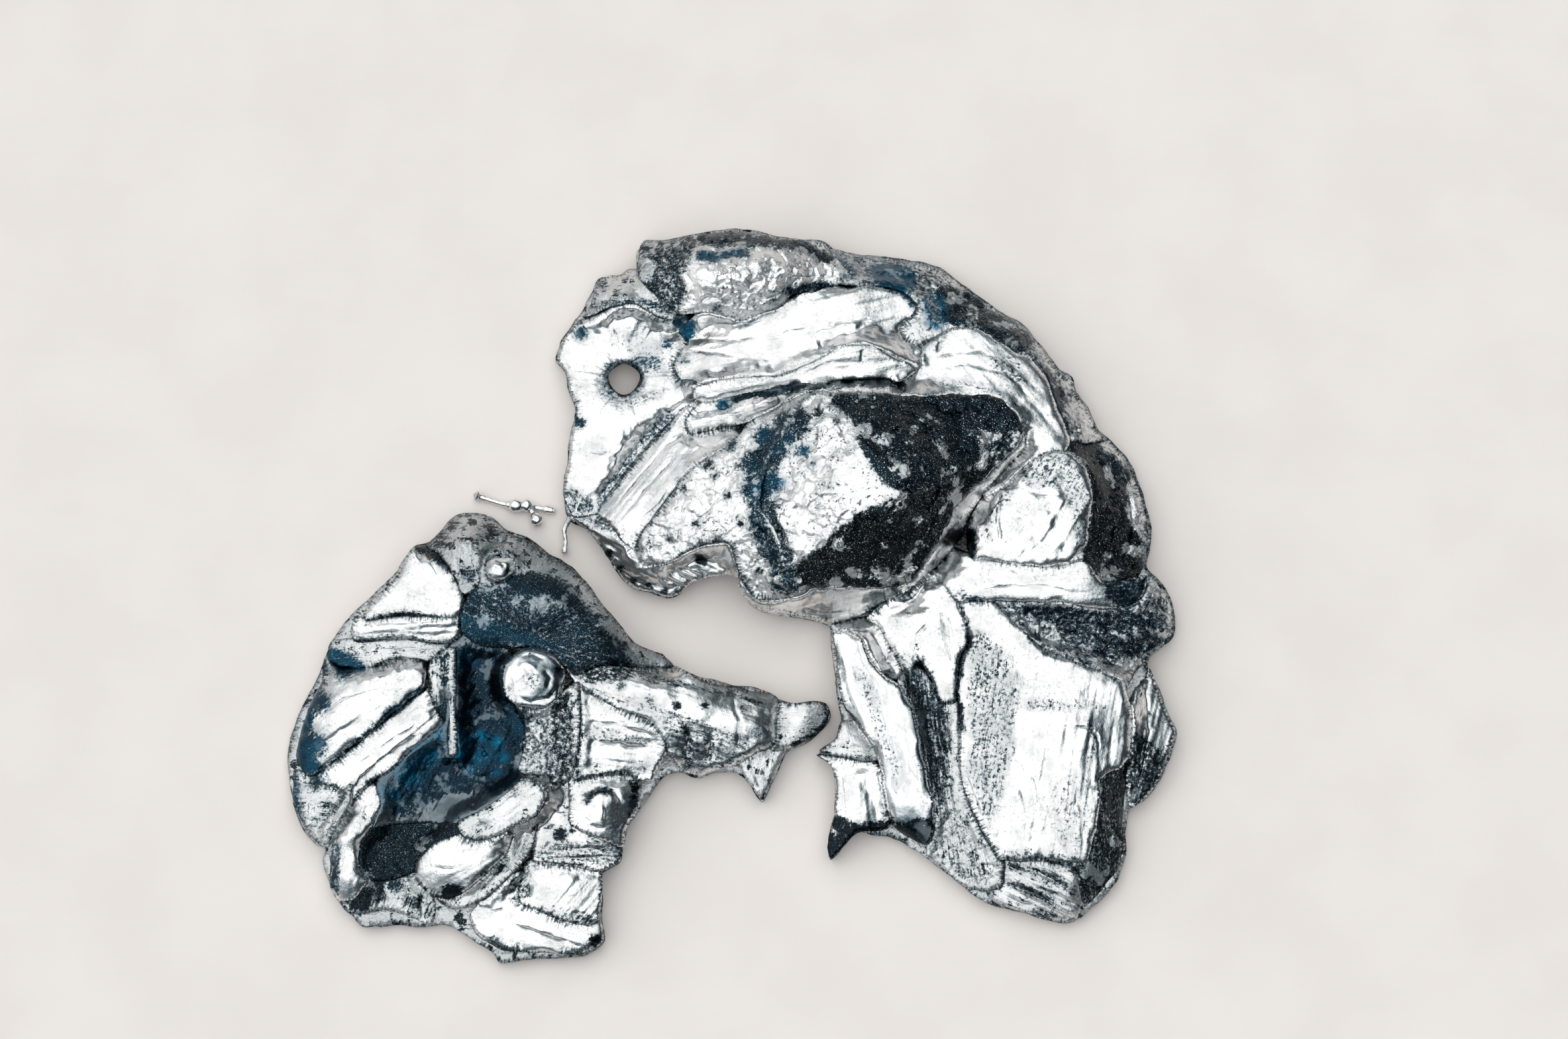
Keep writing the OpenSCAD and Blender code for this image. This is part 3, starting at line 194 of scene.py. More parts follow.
def outline_of(points, gap, sharp=0.42):
    """A closed smooth curve through plan points, in even short steps."""
    p = np.array(points, float)
    count = len(p)
    out = []
    for i in range(count):
        a, b, c, d = p[i - 1], p[i], p[(i + 1) % count], p[(i + 2) % count]
        reach = np.linalg.norm(c - b)
        into = (c - a) * sharp * min(1, reach / (np.linalg.norm(b - a) + 1e-6))
        leave = (d - b) * sharp * min(1, reach / (np.linalg.norm(d - c) + 1e-6))
        steps = max(1, int(round(reach / gap)))
        t = (np.arange(steps) / steps)[:, None]
        out.append((2 * t**3 - 3 * t**2 + 1) * b + (t**3 - 2 * t**2 + t) * into
                   + (3 * t**2 - 2 * t**3) * c + (t**3 - t**2) * leave)
    return np.concatenate(out)


def inside(points, loop):
    """Which points lie inside a closed curve."""
    hit = np.zeros(len(points), bool)
    x, y = points[:, 0], points[:, 1]
    for (ax, ay), (bx, by) in zip(loop, np.roll(loop, -1, axis=0)):
        if ay != by:
            rows = (ay > y) != (by > y)
            if rows.any():
                hit[rows] ^= x[rows] < (bx - ax) * (y[rows] - ay) / (by - ay) + ax
    return hit


def gap_to(points, loop):
    """Distance from each point to the nearest step of a curve."""
    tree = kdtree.KDTree(len(loop))
    for i, p in enumerate(loop):
        tree.insert((p[0], p[1], 0), i)
    tree.balance()
    return np.array([tree.find((p[0], p[1], 0))[2] for p in points])


def beside(points, loop):
    """For each point, how far it is from a closed curve and how far round the curve its nearest place is."""
    tree = kdtree.KDTree(len(loop))
    for i, p in enumerate(loop):
        tree.insert((p[0], p[1], 0), i)
    tree.balance()
    found = [tree.find((p[0], p[1], 0)) for p in points]
    index = np.array([f[1] for f in found])
    step = np.roll(loop, -1, axis=0) - np.roll(loop, 1, axis=0)
    step /= np.linalg.norm(step, axis=1)[:, None] + 1e-9
    length = np.linalg.norm(loop - np.roll(loop, 1, axis=0), axis=1).cumsum()
    offset = points - loop[index]
    on = (offset * step[index]).sum(1)
    across = np.abs(offset[:, 0] * step[index, 1] - offset[:, 1] * step[index, 0])
    return np.where(np.abs(on) < 0.4, across, np.hypot(*offset.T)), length[index] + on


def gap_to_line(x, y, line):
    """Distance to an open line, and how far along it the nearest place is, from 0 to 1."""
    best, along = np.full(x.shape, 1e9), np.zeros(x.shape)
    for i in range(len(line) - 1):
        (ax, ay), (bx, by) = line[i][:2], line[i + 1][:2]
        dx, dy = bx - ax, by - ay
        t = np.clip(((x - ax) * dx + (y - ay) * dy) / (dx * dx + dy * dy), 0, 1)
        away = np.hypot(x - ax - t * dx, y - ay - t * dy)
        near = away < best
        best, along = np.where(near, away, best), np.where(near, (i + t) / (len(line) - 1), along)
    return best, along


def sheet_through(spots, x, y, ease=0.02):
    """The height of a smooth thin sheet pressed through spot heights (x, y, z)."""
    s = np.array(spots, float)
    n = len(s)
    def bend(ax, ay, bx, by):
        r2 = (ax[:, None] - bx) ** 2 + (ay[:, None] - by) ** 2 + 1e-9
        return 0.5 * r2 * np.log(r2) / 100
    grid = np.zeros((n + 3, n + 3))
    grid[:n, :n] = bend(s[:, 0], s[:, 1], s[:, 0], s[:, 1]) + np.eye(n) * ease
    grid[:n, n], grid[:n, n + 1], grid[:n, n + 2] = 1, s[:, 0], s[:, 1]
    grid[n:, :n] = grid[:n, n:].T
    weight = np.linalg.solve(grid, np.concatenate([s[:, 2], [0, 0, 0]]))
    z = bend(x, y, s[:, 0], s[:, 1]) @ weight[:n] + weight[n] + weight[n + 1] * x + weight[n + 2] * y
    return np.clip(z, s[:, 2].min() - 0.4, s[:, 2].max() + 0.5)


def lean(x, y, z):
    """Plan points slid along the line to the eye until they are at height z."""
    t = (z - PLAN_Z) / (EYE_MM[2] - PLAN_Z)
    return x + (EYE_MM[0] - x) * t, y + (EYE_MM[1] - y) * t


laid = {}
CASTING_TOP = 13.4
# Where a flow runs under a later one: how far off it starts to rise, how much it is drawn up, the step
# that is left, and how steeply it drops away below.
MELD, LAP_PULL, LAP_STEP, LAP_DROP = 0.9, 0.85, 0.16, 0.9
# How round the rims are on average and how much that wanders; how far the marks sway.
RIM_SOFT, RIM_WANDER, SWAY = 0.36, 0.7, 0.28


def flow(name, outline, spots, under=(), floor_z=1.0, radius=0.75, ragged=0.09, grain=(0, 1, 6, 0.0),
         fan=None, ripple=0.03, crystal=(0, 1), marks=(), stains=(), fringe=0.5, hole=None, pitch=PITCH,
         seed=1, sharp=0.42):
    """One frozen flow: a closed lump with a rounded rim whose top follows its spot heights.
    It tucks under the flows named in under and runs up to meet them. grain is (direction in degrees,
    spacing, length, depth) of the flow lines; with fan they spread from a point. crystal is (depth,
    size) of the facets.
    marks are (line, depth, width): a groove, or a ridge where the depth is negative.
    stains are (outline or (x, y, reach), dark, blue): patches of oxide, and of painted shade and painted
    reflection where a side faces away from the light. fringe is how far the oxide creeps in from the edges."""
    loop = outline_of(outline, 1.6 * pitch, sharp)
    side = np.roll(loop, -1, axis=0) - np.roll(loop, 1, axis=0)
    side = np.stack([side[:, 1], -side[:, 0]], 1) / (np.linalg.norm(side, axis=1)[:, None] + 1e-9)
    loop = loop + side * (ragged * layered(loop[:, 0] / 0.9, loop[:, 1] / 0.9, seed + 50, 4))[:, None]
    laid[name] = (loop, spots)
    area = 0.5 * np.sum(loop[:, 0] * np.roll(loop[:, 1], -1) - np.roll(loop[:, 0], -1) * loop[:, 1])
    inward = -side if area > 0 else side
    loops = [loop] if hole is None else [loop, hole]
    edge = np.concatenate(loops)
    rings = []
    for part in (0.10, 0.30, 0.62):
        ring = loop[::2] + inward[::2] * part * radius
        rings.append(ring[gap_to(ring, edge) > 0.92 * part * radius])
    low, high = loop.min(0), loop.max(0)
    rows = np.arange(low[1], high[1], pitch * 0.866)
    gx, gy = np.meshgrid(np.arange(low[0], high[0], pitch), rows)
    gx = gx + (np.arange(len(rows)) % 2)[:, None] * pitch / 2
    inner = np.stack([gx.ravel(), gy.ravel()], 1)
    inner = inner[inside(inner, loop)]
    if hole is not None:
        inner = inner[~inside(inner, hole)]
    inner = inner[gap_to(inner, edge) > 0.62 * radius + 0.45 * pitch]
    flat = np.concatenate([edge] + rings + [inner])
    ties, start = [], 0
    for one in loops:
        ties += [(start + i, start + (i + 1) % len(one)) for i in range(len(one))]
        start += len(one)
    points, _, faces, *_ = delaunay_2d_cdt([Vector(p) for p in flat], ties, [], 2, 1e-5)
    xy = np.array([(p[0], p[1]) for p in points])
    x, y = xy[:, 0], xy[:, 1]
    if hole is not None:
        open_to = inside(np.array([xy[face].mean(0) for face in faces]), hole)
        faces = [face for face, gone in zip(faces, open_to) if not gone]
    near, round_edge = beside(xy, edge)
    if fan is not None:
        along = np.hypot(x - fan[0], y - fan[1])
        across = np.arctan2(y - fan[1], x - fan[0]) * 6
    else:
        turn = math.radians(grain[0])
        along = x * math.cos(turn) + y * math.sin(turn)
        across = -x * math.sin(turn) + y * math.cos(turn)
    z = sheet_through(spots, x, y)
    z = z + grain[3] * layered(along / grain[2], across / grain[1], seed + 3)
    z = z + ripple * layered(x / 2.1, y / 2.1, seed + 11)
    z = z + crystal[0] * (facets(x / crystal[1], y / crystal[1], seed + 20)
                          + 0.5 * facets(x / crystal[1] * 2.3, y / crystal[1] * 2.3, seed + 30))
    wx = x + SWAY * layered(x / 1.6, y / 1.6, seed + 60)
    wy = y + SWAY * layered(x / 1.6, y / 1.6, seed + 65)
    crease = np.full(len(x), 2.0)
    for line, depth, width in marks:
        away, part = gap_to_line(wx, wy, line)
        taper = np.clip(np.minimum(part, 1 - part) * 5, 0, 1)
        taper = taper * np.clip(0.7 + 0.6 * layered(x / 1.2, y / 1.2, seed + 62), 0.15, 1)
        z = z - depth * taper * np.exp(-((away / width) ** 1.5))
        if depth > 0:
            crease = np.minimum(crease, away + 0.16 * (1 - taper))
    # rim_gap is the distance to this rim or to a flow on top; the shader darkens along it with lap oxide and
    # painted shade.
    rim_gap, rim_place = near, round_edge
    if hole is not None:
        rim_gap = near + 0.25 * (gap_to(xy, hole) < near + 0.1)
    for other in under:
        ring, tops = laid[other]
        hidden = inside(xy, ring)
        away, round_ring = beside(xy, ring)
        over = sheet_through(tops, x, y)
        reach = MELD * (1 + 0.7 * layered(x / 1.7, y / 1.7, seed + 90))
        z = z + np.where(hidden, 1, np.exp(-((away / reach) ** 2))) * LAP_PULL * (over - LAP_STEP - z)
        z = np.where(hidden, np.minimum(z, over - LAP_STEP - LAP_DROP * np.clip(away / 0.4, 0, 1)), z)
        closer = away < rim_gap
        rim_gap, rim_place = np.where(closer, away, rim_gap), np.where(closer, round_ring + 50, rim_place)
    bite = np.clip(1 - near / radius, 0, 1)
    softness = np.clip(RIM_SOFT + RIM_WANDER * layered(x / 1.5, y / 1.5, seed + 95), 0.06, 1)
    z = z - softness * radius * (1 - np.sqrt(1 - bite**2))
    z = np.clip(z, floor_z + 0.02, CASTING_TOP)
    dark, blue = np.zeros(len(x)), np.zeros(len(x))
    for where, how_dark, how_blue in stains:
        if isinstance(where, tuple):
            amount = np.exp(-(((x - where[0]) ** 2 + (y - where[1]) ** 2) / where[2] ** 2))
        else:
            patch = outline_of(where, 0.3)
            warped = np.stack([wx, wy], 1)
            reach = gap_to(warped, patch) * np.where(inside(warped, patch), 1, -1)
            amount = np.clip(0.5 + (reach + 0.3 * layered(x / 0.7, y / 0.7, seed + 70, 4)) / 0.9, 0, 1)
        dark, blue = np.maximum(dark, how_dark * amount), np.maximum(blue, how_blue * amount)
    creep = fringe * np.clip(0.45 + 0.9 * layered(rim_place / 3.1, rim_place * 0, seed + 80), 0, 1.3)
    tops, base = len(x), {}
    after = {}
    for face in faces:
        for a, b in zip(face, face[1:] + face[:1]):
            after[(a, b)] = True
    rim = [(a, b) for (a, b) in after if (b, a) not in after]
    border = sorted({a for a, _ in rim})
    polys = list(faces)
    if hole is None:
        follow = dict(rim)
        chain = [border[0]]
        while follow[chain[-1]] != border[0]:
            chain.append(follow[chain[-1]])
        under_points = border
        base = {b: tops + i for i, b in enumerate(border)}
        polys.append([base[b] for b in reversed(chain)])
    else:
        under_points = list(range(tops))
        base = {b: tops + b for b in under_points}
        polys += [[base[b] for b in reversed(face)] for face in faces]
    polys += [(b, a, base[a], base[b]) for a, b in rim]
    px, py = lean(x, y, z)
    flat_z = np.full(len(under_points), floor_z)
    bx, by = lean(x[under_points], y[under_points], flat_z)
    corners = np.concatenate([np.stack([px, py, z], 1), np.stack([bx, by, flat_z], 1)])
    mesh = bpy.data.meshes.new(name)
    mesh.from_pydata((corners * MM).tolist(), [], polys)
    mesh.update()
    mesh.polygons.foreach_set("use_smooth", [True] * len(mesh.polygons))
    pad = np.zeros(len(under_points))
    for label, values in (("crease", crease), ("dark", dark), ("blue", blue)):
        layer = mesh.attributes.new(label, "FLOAT", "POINT")
        layer.data.foreach_set("value", np.concatenate([values, pad]).astype(np.float32))
    for label, values in (("flow", (along, across, np.zeros(tops))), ("rim", (rim_place, rim_gap, creep))):
        layer = mesh.attributes.new(label, "FLOAT_VECTOR", "POINT")
        spread = np.concatenate([np.stack(values, 1), np.zeros((len(pad), 3))])
        layer.data.foreach_set("vector", spread.ravel().astype(np.float32))
    piece = bpy.data.objects.new(name, mesh)
    bpy.context.collection.objects.link(piece)
    return piece

def surface_group():
    """Frozen tin: flow lines, crystal grain, oxide flecks, and darker laps, rims and grooves that are partly
    oxide and partly painted crease shade, with a painted soft shade in from the rims.
    Puts out colour, roughness and height."""
    group = bpy.data.node_groups.new("frozen_tin", "ShaderNodeTree")
    for label, kind, value in (("Clean", "NodeSocketColor", (0.9, 0.9, 0.9, 1)),
                               ("Oxide", "NodeSocketColor", (0.08, 0.1, 0.12, 1)),
                               ("Blue", "NodeSocketColor", (0.002, 0.12, 0.225, 1)),
                               ("Line Spacing", "NodeSocketFloat", 0.3),
                               ("Line Depth", "NodeSocketFloat", 0.4),
                               ("Grain Size", "NodeSocketFloat", 0.3),
                               ("Grain Depth", "NodeSocketFloat", 0.5),
                               ("Flecks", "NodeSocketFloat", 0.3), ("Soot", "NodeSocketFloat", 0.3),
                               ("Rough Low", "NodeSocketFloat", 0.12),
                               ("Rough High", "NodeSocketFloat", 0.25)):
        socket = group.interface.new_socket(name=label, in_out="INPUT", socket_type=kind)
        socket.default_value = value
    for label, kind in (("Colour", "NodeSocketColor"), ("Roughness", "NodeSocketFloat"),
                        ("Height", "NodeSocketFloat")):
        group.interface.new_socket(name=label, in_out="OUTPUT", socket_type=kind)
    nodes, links = group.nodes, group.links
    given, result = nodes.new("NodeGroupInput"), nodes.new("NodeGroupOutput")

    def read(label):
        node = nodes.new("ShaderNodeAttribute")
        node.attribute_name = label
        return node

    def maths(kind, a, b, clamp=False):
        node = nodes.new("ShaderNodeMath")
        node.operation, node.use_clamp = kind, clamp
        for i, value in enumerate((a, b)):
            if isinstance(value, (int, float)):
                node.inputs[i].default_value = value
            else:
                links.new(value, node.inputs[i])
        return node.outputs[0]

    def blended(factor, a, b, kind="MIX"):
        node = nodes.new("ShaderNodeMix")
        node.data_type, node.blend_type = "RGBA", kind
        links.new(factor, node.inputs["Factor"])
        for value, socket in ((a, node.inputs["A"]), (b, node.inputs["B"])):
            if isinstance(value, tuple):
                socket.default_value = value
            else:
                links.new(value, socket)
        return node.outputs["Result"]

    def ranged(value, low, high, to_low=0.0, to_high=1.0):
        node = nodes.new("ShaderNodeMapRange")
        node.clamp = True
        links.new(value, node.inputs["Value"])
        for label, number in (("From Min", low), ("From Max", high), ("To Min", to_low), ("To Max", to_high)):
            if isinstance(number, (int, float)):
                node.inputs[label].default_value = number
            else:
                links.new(number, node.inputs[label])
        return node.outputs["Result"]

    def noisy(scale, detail, source):
        node = nodes.new("ShaderNodeTexNoise")
        node.inputs["Scale"].default_value = scale
        node.inputs["Detail"].default_value = detail
        links.new(source, node.inputs["Vector"])
        return node

    place = nodes.new("ShaderNodeTexCoord")
    scaled = nodes.new("ShaderNodeVectorMath")
    scaled.operation = "SCALE"
    links.new(place.outputs["Object"], scaled.inputs[0])
    links.new(maths("DIVIDE", 1000.0, given.outputs["Grain Size"]), scaled.inputs["Scale"])
    grain = nodes.new("ShaderNodeTexVoronoi")
    grain.inputs["Scale"].default_value = 1
    grain.inputs["Randomness"].default_value = 1
    links.new(scaled.outputs[0], grain.inputs["Vector"])
    cloud = noisy(1.1, 5, scaled.outputs[0])
    cloud.inputs["Roughness"].default_value = 0.65
    along = read("flow")
    stretch = nodes.new("ShaderNodeCombineXYZ")
    stretch.inputs["X"].default_value = 0.35
    links.new(maths("DIVIDE", 1.0, given.outputs["Line Spacing"]), stretch.inputs["Y"])
    pulled = nodes.new("ShaderNodeVectorMath")
    pulled.operation = "MULTIPLY"
    links.new(along.outputs["Vector"], pulled.inputs[0])
    links.new(stretch.outputs[0], pulled.inputs[1])
    lines = noisy(1, 3, pulled.outputs[0])
    patches = noisy(260, 3, place.outputs["Object"])

    fine = noisy(3.4, 3, scaled.outputs[0])
    threads = noisy(3.1, 2, pulled.outputs[0])
    spread = noisy(900, 4, place.outputs["Object"])

    weave = maths("ADD", maths("MULTIPLY", lines.outputs["Fac"], 0.6),
                  maths("MULTIPLY", threads.outputs["Fac"], 0.4))
    skin = maths("ADD", cloud.outputs["Fac"], maths("MULTIPLY", grain.outputs["Distance"], 0.5))
    skin = maths("ADD", skin, maths("MULTIPLY", fine.outputs["Fac"], 0.35))
    height = maths("ADD", maths("MULTIPLY", weave, given.outputs["Line Depth"]),
                   maths("MULTIPLY", skin, given.outputs["Grain Depth"]))
    links.new(height, result.inputs["Height"])
    patchy = ranged(patches.outputs["Fac"], 0.46, 0.62, 0.08, 1.0)
    pits = maths("MULTIPLY", ranged(cloud.outputs["Fac"], 0.57, 0.66), given.outputs["Flecks"])
    hairs = maths("SUBTRACT", threads.outputs["Fac"], 0.5)
    hairs = maths("SUBTRACT", 1.0, ranged(maths("ABSOLUTE", hairs, 0.0), 0.004, 0.03))
    hairs = maths("MULTIPLY", hairs, maths("MULTIPLY", given.outputs["Line Depth"], 0.7))
    fleck = maths("MULTIPLY", maths("MAXIMUM", pits, hairs), patchy)
    loose = maths("ADD", maths("MULTIPLY", maths("SUBTRACT", cloud.outputs["Fac"], 0.5), 1.6),
                  maths("MULTIPLY", maths("SUBTRACT", weave, 0.5),
                        maths("MULTIPLY", given.outputs["Line Depth"], 3.6)))
    mottle = noisy(430, 5, place.outputs["Object"])
    mottle.inputs["Roughness"].default_value = 0.62
    # Oxide from noise and from the stain strengths each piece lists; the stains also carry painted shade and
    # painted reflection.
    soot = maths("MULTIPLY", ranged(spread.outputs["Fac"], 0.46, 0.62), given.outputs["Soot"])
    soot = maths("MAXIMUM", read("dark").outputs["Fac"], soot)
    oxide_and_shade = maths("MULTIPLY", ranged(maths("ADD", soot, loose), 0.36, 0.66), ranged(soot, 0.05, 0.35))
    glint = maths("MAXIMUM", ranged(fine.outputs["Fac"], 0.6, 0.67),
                  ranged(mottle.outputs["Fac"], 0.565, 0.6))
    glint = maths("MULTIPLY", glint, given.outputs["Flecks"])
    oxide_and_shade = maths("MULTIPLY", oxide_and_shade, maths("SUBTRACT", 1.0, maths("MULTIPLY", glint, 0.85)))
    rim = nodes.new("ShaderNodeSeparateXYZ")
    links.new(read("rim").outputs["Vector"], rim.inputs[0])
    fray = nodes.new("ShaderNodeCombineXYZ")
    links.new(maths("MULTIPLY", rim.outputs["X"], 5.5), fray.inputs["X"])
    links.new(maths("MULTIPLY", rim.outputs["Y"], 0.9), fray.inputs["Y"])
    frayed = noisy(1, 3, fray.outputs[0])
    creep = maths("SUBTRACT", rim.outputs["Z"], rim.outputs["Y"])
    ragged = maths("ADD", maths("SUBTRACT", frayed.outputs["Fac"], 0.5),
                   maths("SUBTRACT", cloud.outputs["Fac"], 0.5))
    creep = ranged(maths("ADD", creep, maths("MULTIPLY", ragged, 2.4)), -0.15, 0.65)
    creep = maths("MULTIPLY", creep, ranged(maths("SUBTRACT", rim.outputs["Y"], rim.outputs["Z"]), -0.2,
                                            1.1, 1.0, 0.0))
    oxide_and_shade = maths("MAXIMUM", oxide_and_shade, maths("MULTIPLY", creep, 0.9))
    # Darkening along every rim and lap and in the grooves: partly oxide in the laps, partly painted crease
    # shade.
    lap_oxide_and_shade = maths("SUBTRACT", 1.0, ranged(rim.outputs["Y"], 0.02, 0.15))
    lap_oxide_and_shade = maths("MULTIPLY", lap_oxide_and_shade, ranged(spread.outputs["Fac"], 0.40, 0.58, 1.0, 0.1))
    lap_oxide_and_shade = maths("MULTIPLY", lap_oxide_and_shade, ranged(mottle.outputs["Fac"], 0.42, 0.56, 0.25, 1.0))
    lap_oxide_and_shade = maths("MULTIPLY", lap_oxide_and_shade, ranged(patches.outputs["Fac"], 0.42, 0.56, 0.4, 1.0))
    lap_oxide_and_shade = maths("MULTIPLY", lap_oxide_and_shade, ranged(given.outputs["Soot"], 0.1, 0.5, 0.5, 1.2))
    groove = maths("SUBTRACT", 1.0, ranged(read("crease").outputs["Fac"], 0.0, 0.13))
    lap_oxide_and_shade = maths("MAXIMUM", lap_oxide_and_shade, groove)
    oxide_and_shade = maths("MAXIMUM", oxide_and_shade, maths("MULTIPLY", lap_oxide_and_shade, 0.7))
    oxide_and_shade = maths("MAXIMUM", oxide_and_shade, fleck)
    clear = blended(ranged(mottle.outputs["Fac"], 0.42, 0.64, 0.0, 0.42), given.outputs["Clean"],
                    (0.34, 0.365, 0.38, 1))
    # Painted soft shade: grey laid over the clean metal from the stain strengths and from each rim inward.
    painted_soft_shade = maths("MAXIMUM", ranged(read("dark").outputs["Fac"], 0.02, 0.5, 0.0, 0.6),
                 maths("MULTIPLY", ranged(rim.outputs["Y"], 0.1, 1.4, 0.38, 0.0),
                       ranged(patches.outputs["Fac"], 0.42, 0.58, 0.35, 1.0)))
    painted_soft_shade = maths("MULTIPLY", painted_soft_shade, maths("SUBTRACT", 1.0, glint))
    painted_soft_shade = maths("MULTIPLY", painted_soft_shade, ranged(spread.outputs["Fac"], 0.38, 0.6, 0.55, 1.0))
    clear = blended(painted_soft_shade, clear, (0.26, 0.29, 0.31, 1))
    # Painted blue from the blue stains: partly blue oxide, partly a painted reflection of the dark blue room.
    wet = maths("MULTIPLY", read("blue").outputs["Fac"], ranged(cloud.outputs["Fac"], 0.3, 0.6, 0.6, 1.1),
                True)
    wet = maths("MULTIPLY", wet, ranged(mottle.outputs["Fac"], 0.38, 0.58, 0.5, 1.0))
    tone = blended(ranged(oxide_and_shade, 0.0, 0.5), clear, (0.15, 0.19, 0.21, 1))
    tone = blended(ranged(oxide_and_shade, 0.4, 1.0), tone, given.outputs["Oxide"])
    tone = blended(maths("MULTIPLY", wet, 0.85), tone, given.outputs["Blue"])
    links.new(tone, result.inputs["Colour"])
    rough = ranged(cloud.outputs["Fac"], 0.3, 0.7, given.outputs["Rough Low"], given.outputs["Rough High"])
    links.new(maths("ADD", rough, maths("MULTIPLY", oxide_and_shade, 0.08)), result.inputs["Roughness"])
    return group


FROZEN_TIN = surface_group()


def tin(label, clean, oxide, line=(0.3, 0.4), grain=(0.3, 0.5), flecks=0.3, soot=0.3, rough=(0.12, 0.25),
        deep=0.02):
    """A tin finish. line and grain are (size in millimetres, depth);
    deep is the height of the bump in millimetres."""
    material = bpy.data.materials.new(label)
    material.use_nodes = True
    nodes, links = material.node_tree.nodes, material.node_tree.links
    skin = nodes["Principled BSDF"]
    skin.inputs["Metallic"].default_value = 1
    group = nodes.new("ShaderNodeGroup")
    group.node_tree = FROZEN_TIN
    for socket, value in (("Clean", (*clean, 1)), ("Oxide", (*oxide, 1)), ("Line Spacing", line[0]),
                          ("Line Depth", line[1]), ("Grain Size", grain[0]), ("Grain Depth", grain[1]),
                          ("Flecks", flecks), ("Soot", soot), ("Rough Low", rough[0]),
                          ("Rough High", rough[1])):
        group.inputs[socket].default_value = value
    bump = nodes.new("ShaderNodeBump")
    bump.inputs["Distance"].default_value = deep * MM
    links.new(group.outputs["Height"], bump.inputs["Height"])
    links.new(bump.outputs["Normal"], skin.inputs["Normal"])
    links.new(group.outputs["Colour"], skin.inputs["Base Color"])
    links.new(group.outputs["Roughness"], skin.inputs["Roughness"])
    return material


BLACK_OXIDE = (0.009, 0.014, 0.018)
bright_tin = tin("bright_tin", (0.95, 0.945, 0.935), BLACK_OXIDE, line=(0.32, 0.3), grain=(0.32, 0.45),
                 flecks=0.3, soot=0.17, rough=(0.12, 0.24), deep=0.045)
mirror_tin = tin("mirror_tin", (0.94, 0.945, 0.94), BLACK_OXIDE, line=(0.3, 0.2), grain=(0.3, 0.3),
                 flecks=0.3, soot=0.15, rough=(0.07, 0.15), deep=0.03)
satin_tin = tin("satin_tin", (0.80, 0.81, 0.81), BLACK_OXIDE, line=(0.3, 0.5), grain=(0.25, 0.7),
                flecks=0.6, soot=0.5, rough=(0.2, 0.34), deep=0.05)
dark_tin = tin("dark_tin", (0.60, 0.62, 0.63), BLACK_OXIDE, line=(0.35, 0.35), grain=(0.3, 1.0),
               flecks=0.8, soot=0.7, rough=(0.18, 0.32), deep=0.06)
pitted_tin = tin("pitted_tin", (0.92, 0.925, 0.92), BLACK_OXIDE, line=(0.4, 0.1), grain=(0.42, 1.0),
                 flecks=0.9, soot=0.32, rough=(0.12, 0.24), deep=0.07)
crystal_tin = tin("crystal_tin", (0.92, 0.925, 0.92), BLACK_OXIDE, line=(0.35, 0.15), grain=(0.4, 0.9),
                  flecks=1.0, soot=0.34, rough=(0.10, 0.22), deep=0.07)
# Dark bluish base for the blue pool: a painted reflection of the dark room above it.
blue_tin = tin("blue_tin", (0.085, 0.115, 0.135), (0.008, 0.012, 0.018), line=(0.4, 0.4), grain=(0.3, 0.8),
               flecks=0.5, soot=0.4, rough=(0.12, 0.24), deep=0.05)


def settle(piece, body, node, finish):
    """The piece takes its finish, stands for its node and rides on its casting."""
    piece.data.materials.append(finish)
    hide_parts(node)
    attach(piece, body)

RIGHT_PUDDLE = [(-8.3, 32.9), (-6.5, 33), (-3.5, 33.6), (-1, 34), (1.5, 34), (4, 33.3), (6, 33.1),
    (8, 32.9), (9.5, 31.9), (13, 31.4), (16.5, 31), (18.8, 30.3), (20.5, 29), (22, 27.8), (24, 26.2),
    (26, 25.1), (27.5, 23.3), (28.2, 22.4), (29.5, 20.6), (30.6, 19.8), (31, 18.4), (32, 17), (32.8, 15),
    (34, 13.8), (35.5, 12), (36.6, 9.5), (37.2, 7.2), (37.5, 5.6), (37.3, 3.5), (37, 2), (38.2, 0.6),
    (39.2, -1.2), (39.4, -3), (39.2, -4.5), (38.2, -5.4), (37, -6.5), (36.9, -7.6), (37.8, -9),
    (38.6, -11.5), (39.4, -13.3), (38.9, -14.8), (38.2, -16.5), (37.4, -18.2), (36.4, -19.4), (35, -20.2),
    (34.6, -22), (34.6, -24), (33.8, -26.5), (32.3, -28.3), (30.5, -29.9), (29.2, -30.4), (27, -30),
    (24.5, -29.2), (22.5, -28.7), (20.7, -27.5), (18.6, -25.8), (16.2, -24), (14, -22.8), (12.4, -22.5),
    (11, -22.2), (9.9, -23.4), (8.6, -24.7), (8.3, -23.5), (8.9, -20.5), (9, -17.5), (8.6, -16),
    (7.6, -15.2), (9, -14), (9.6, -12.6), (9.4, -11), (9, -8), (8.7, -5), (8.6, -3.6), (6.5, -2.9),
    (4, -2.6), (2.2, -2), (1, -0.9), (0.6, 0.7), (-0.2, 1.3), (-2.5, 1), (-4, 0.3), (-4.9, -0.7),
    (-6, -1), (-7.5, -0.4), (-9, -0.1), (-10.3, 1.3), (-11.7, 3.5), (-13.2, 5.4), (-14.8, 6.3),
    (-15.3, 8), (-15.4, 10), (-15, 12), (-14.9, 14), (-14.4, 16.5), (-15, 18.5), (-15.4, 20.3),
    (-16.2, 21.3), (-15.9, 23), (-14.9, 24.6), (-13.8, 26.3), (-13, 28), (-12.4, 29.2), (-11, 29.5),
    (-9.8, 29.6), (-9, 30.2), (-8.9, 31.8)]
HOLE = (-10, 19.6)
HOLE_REACH = 1.4
PUDDLE_TOP = 1.35
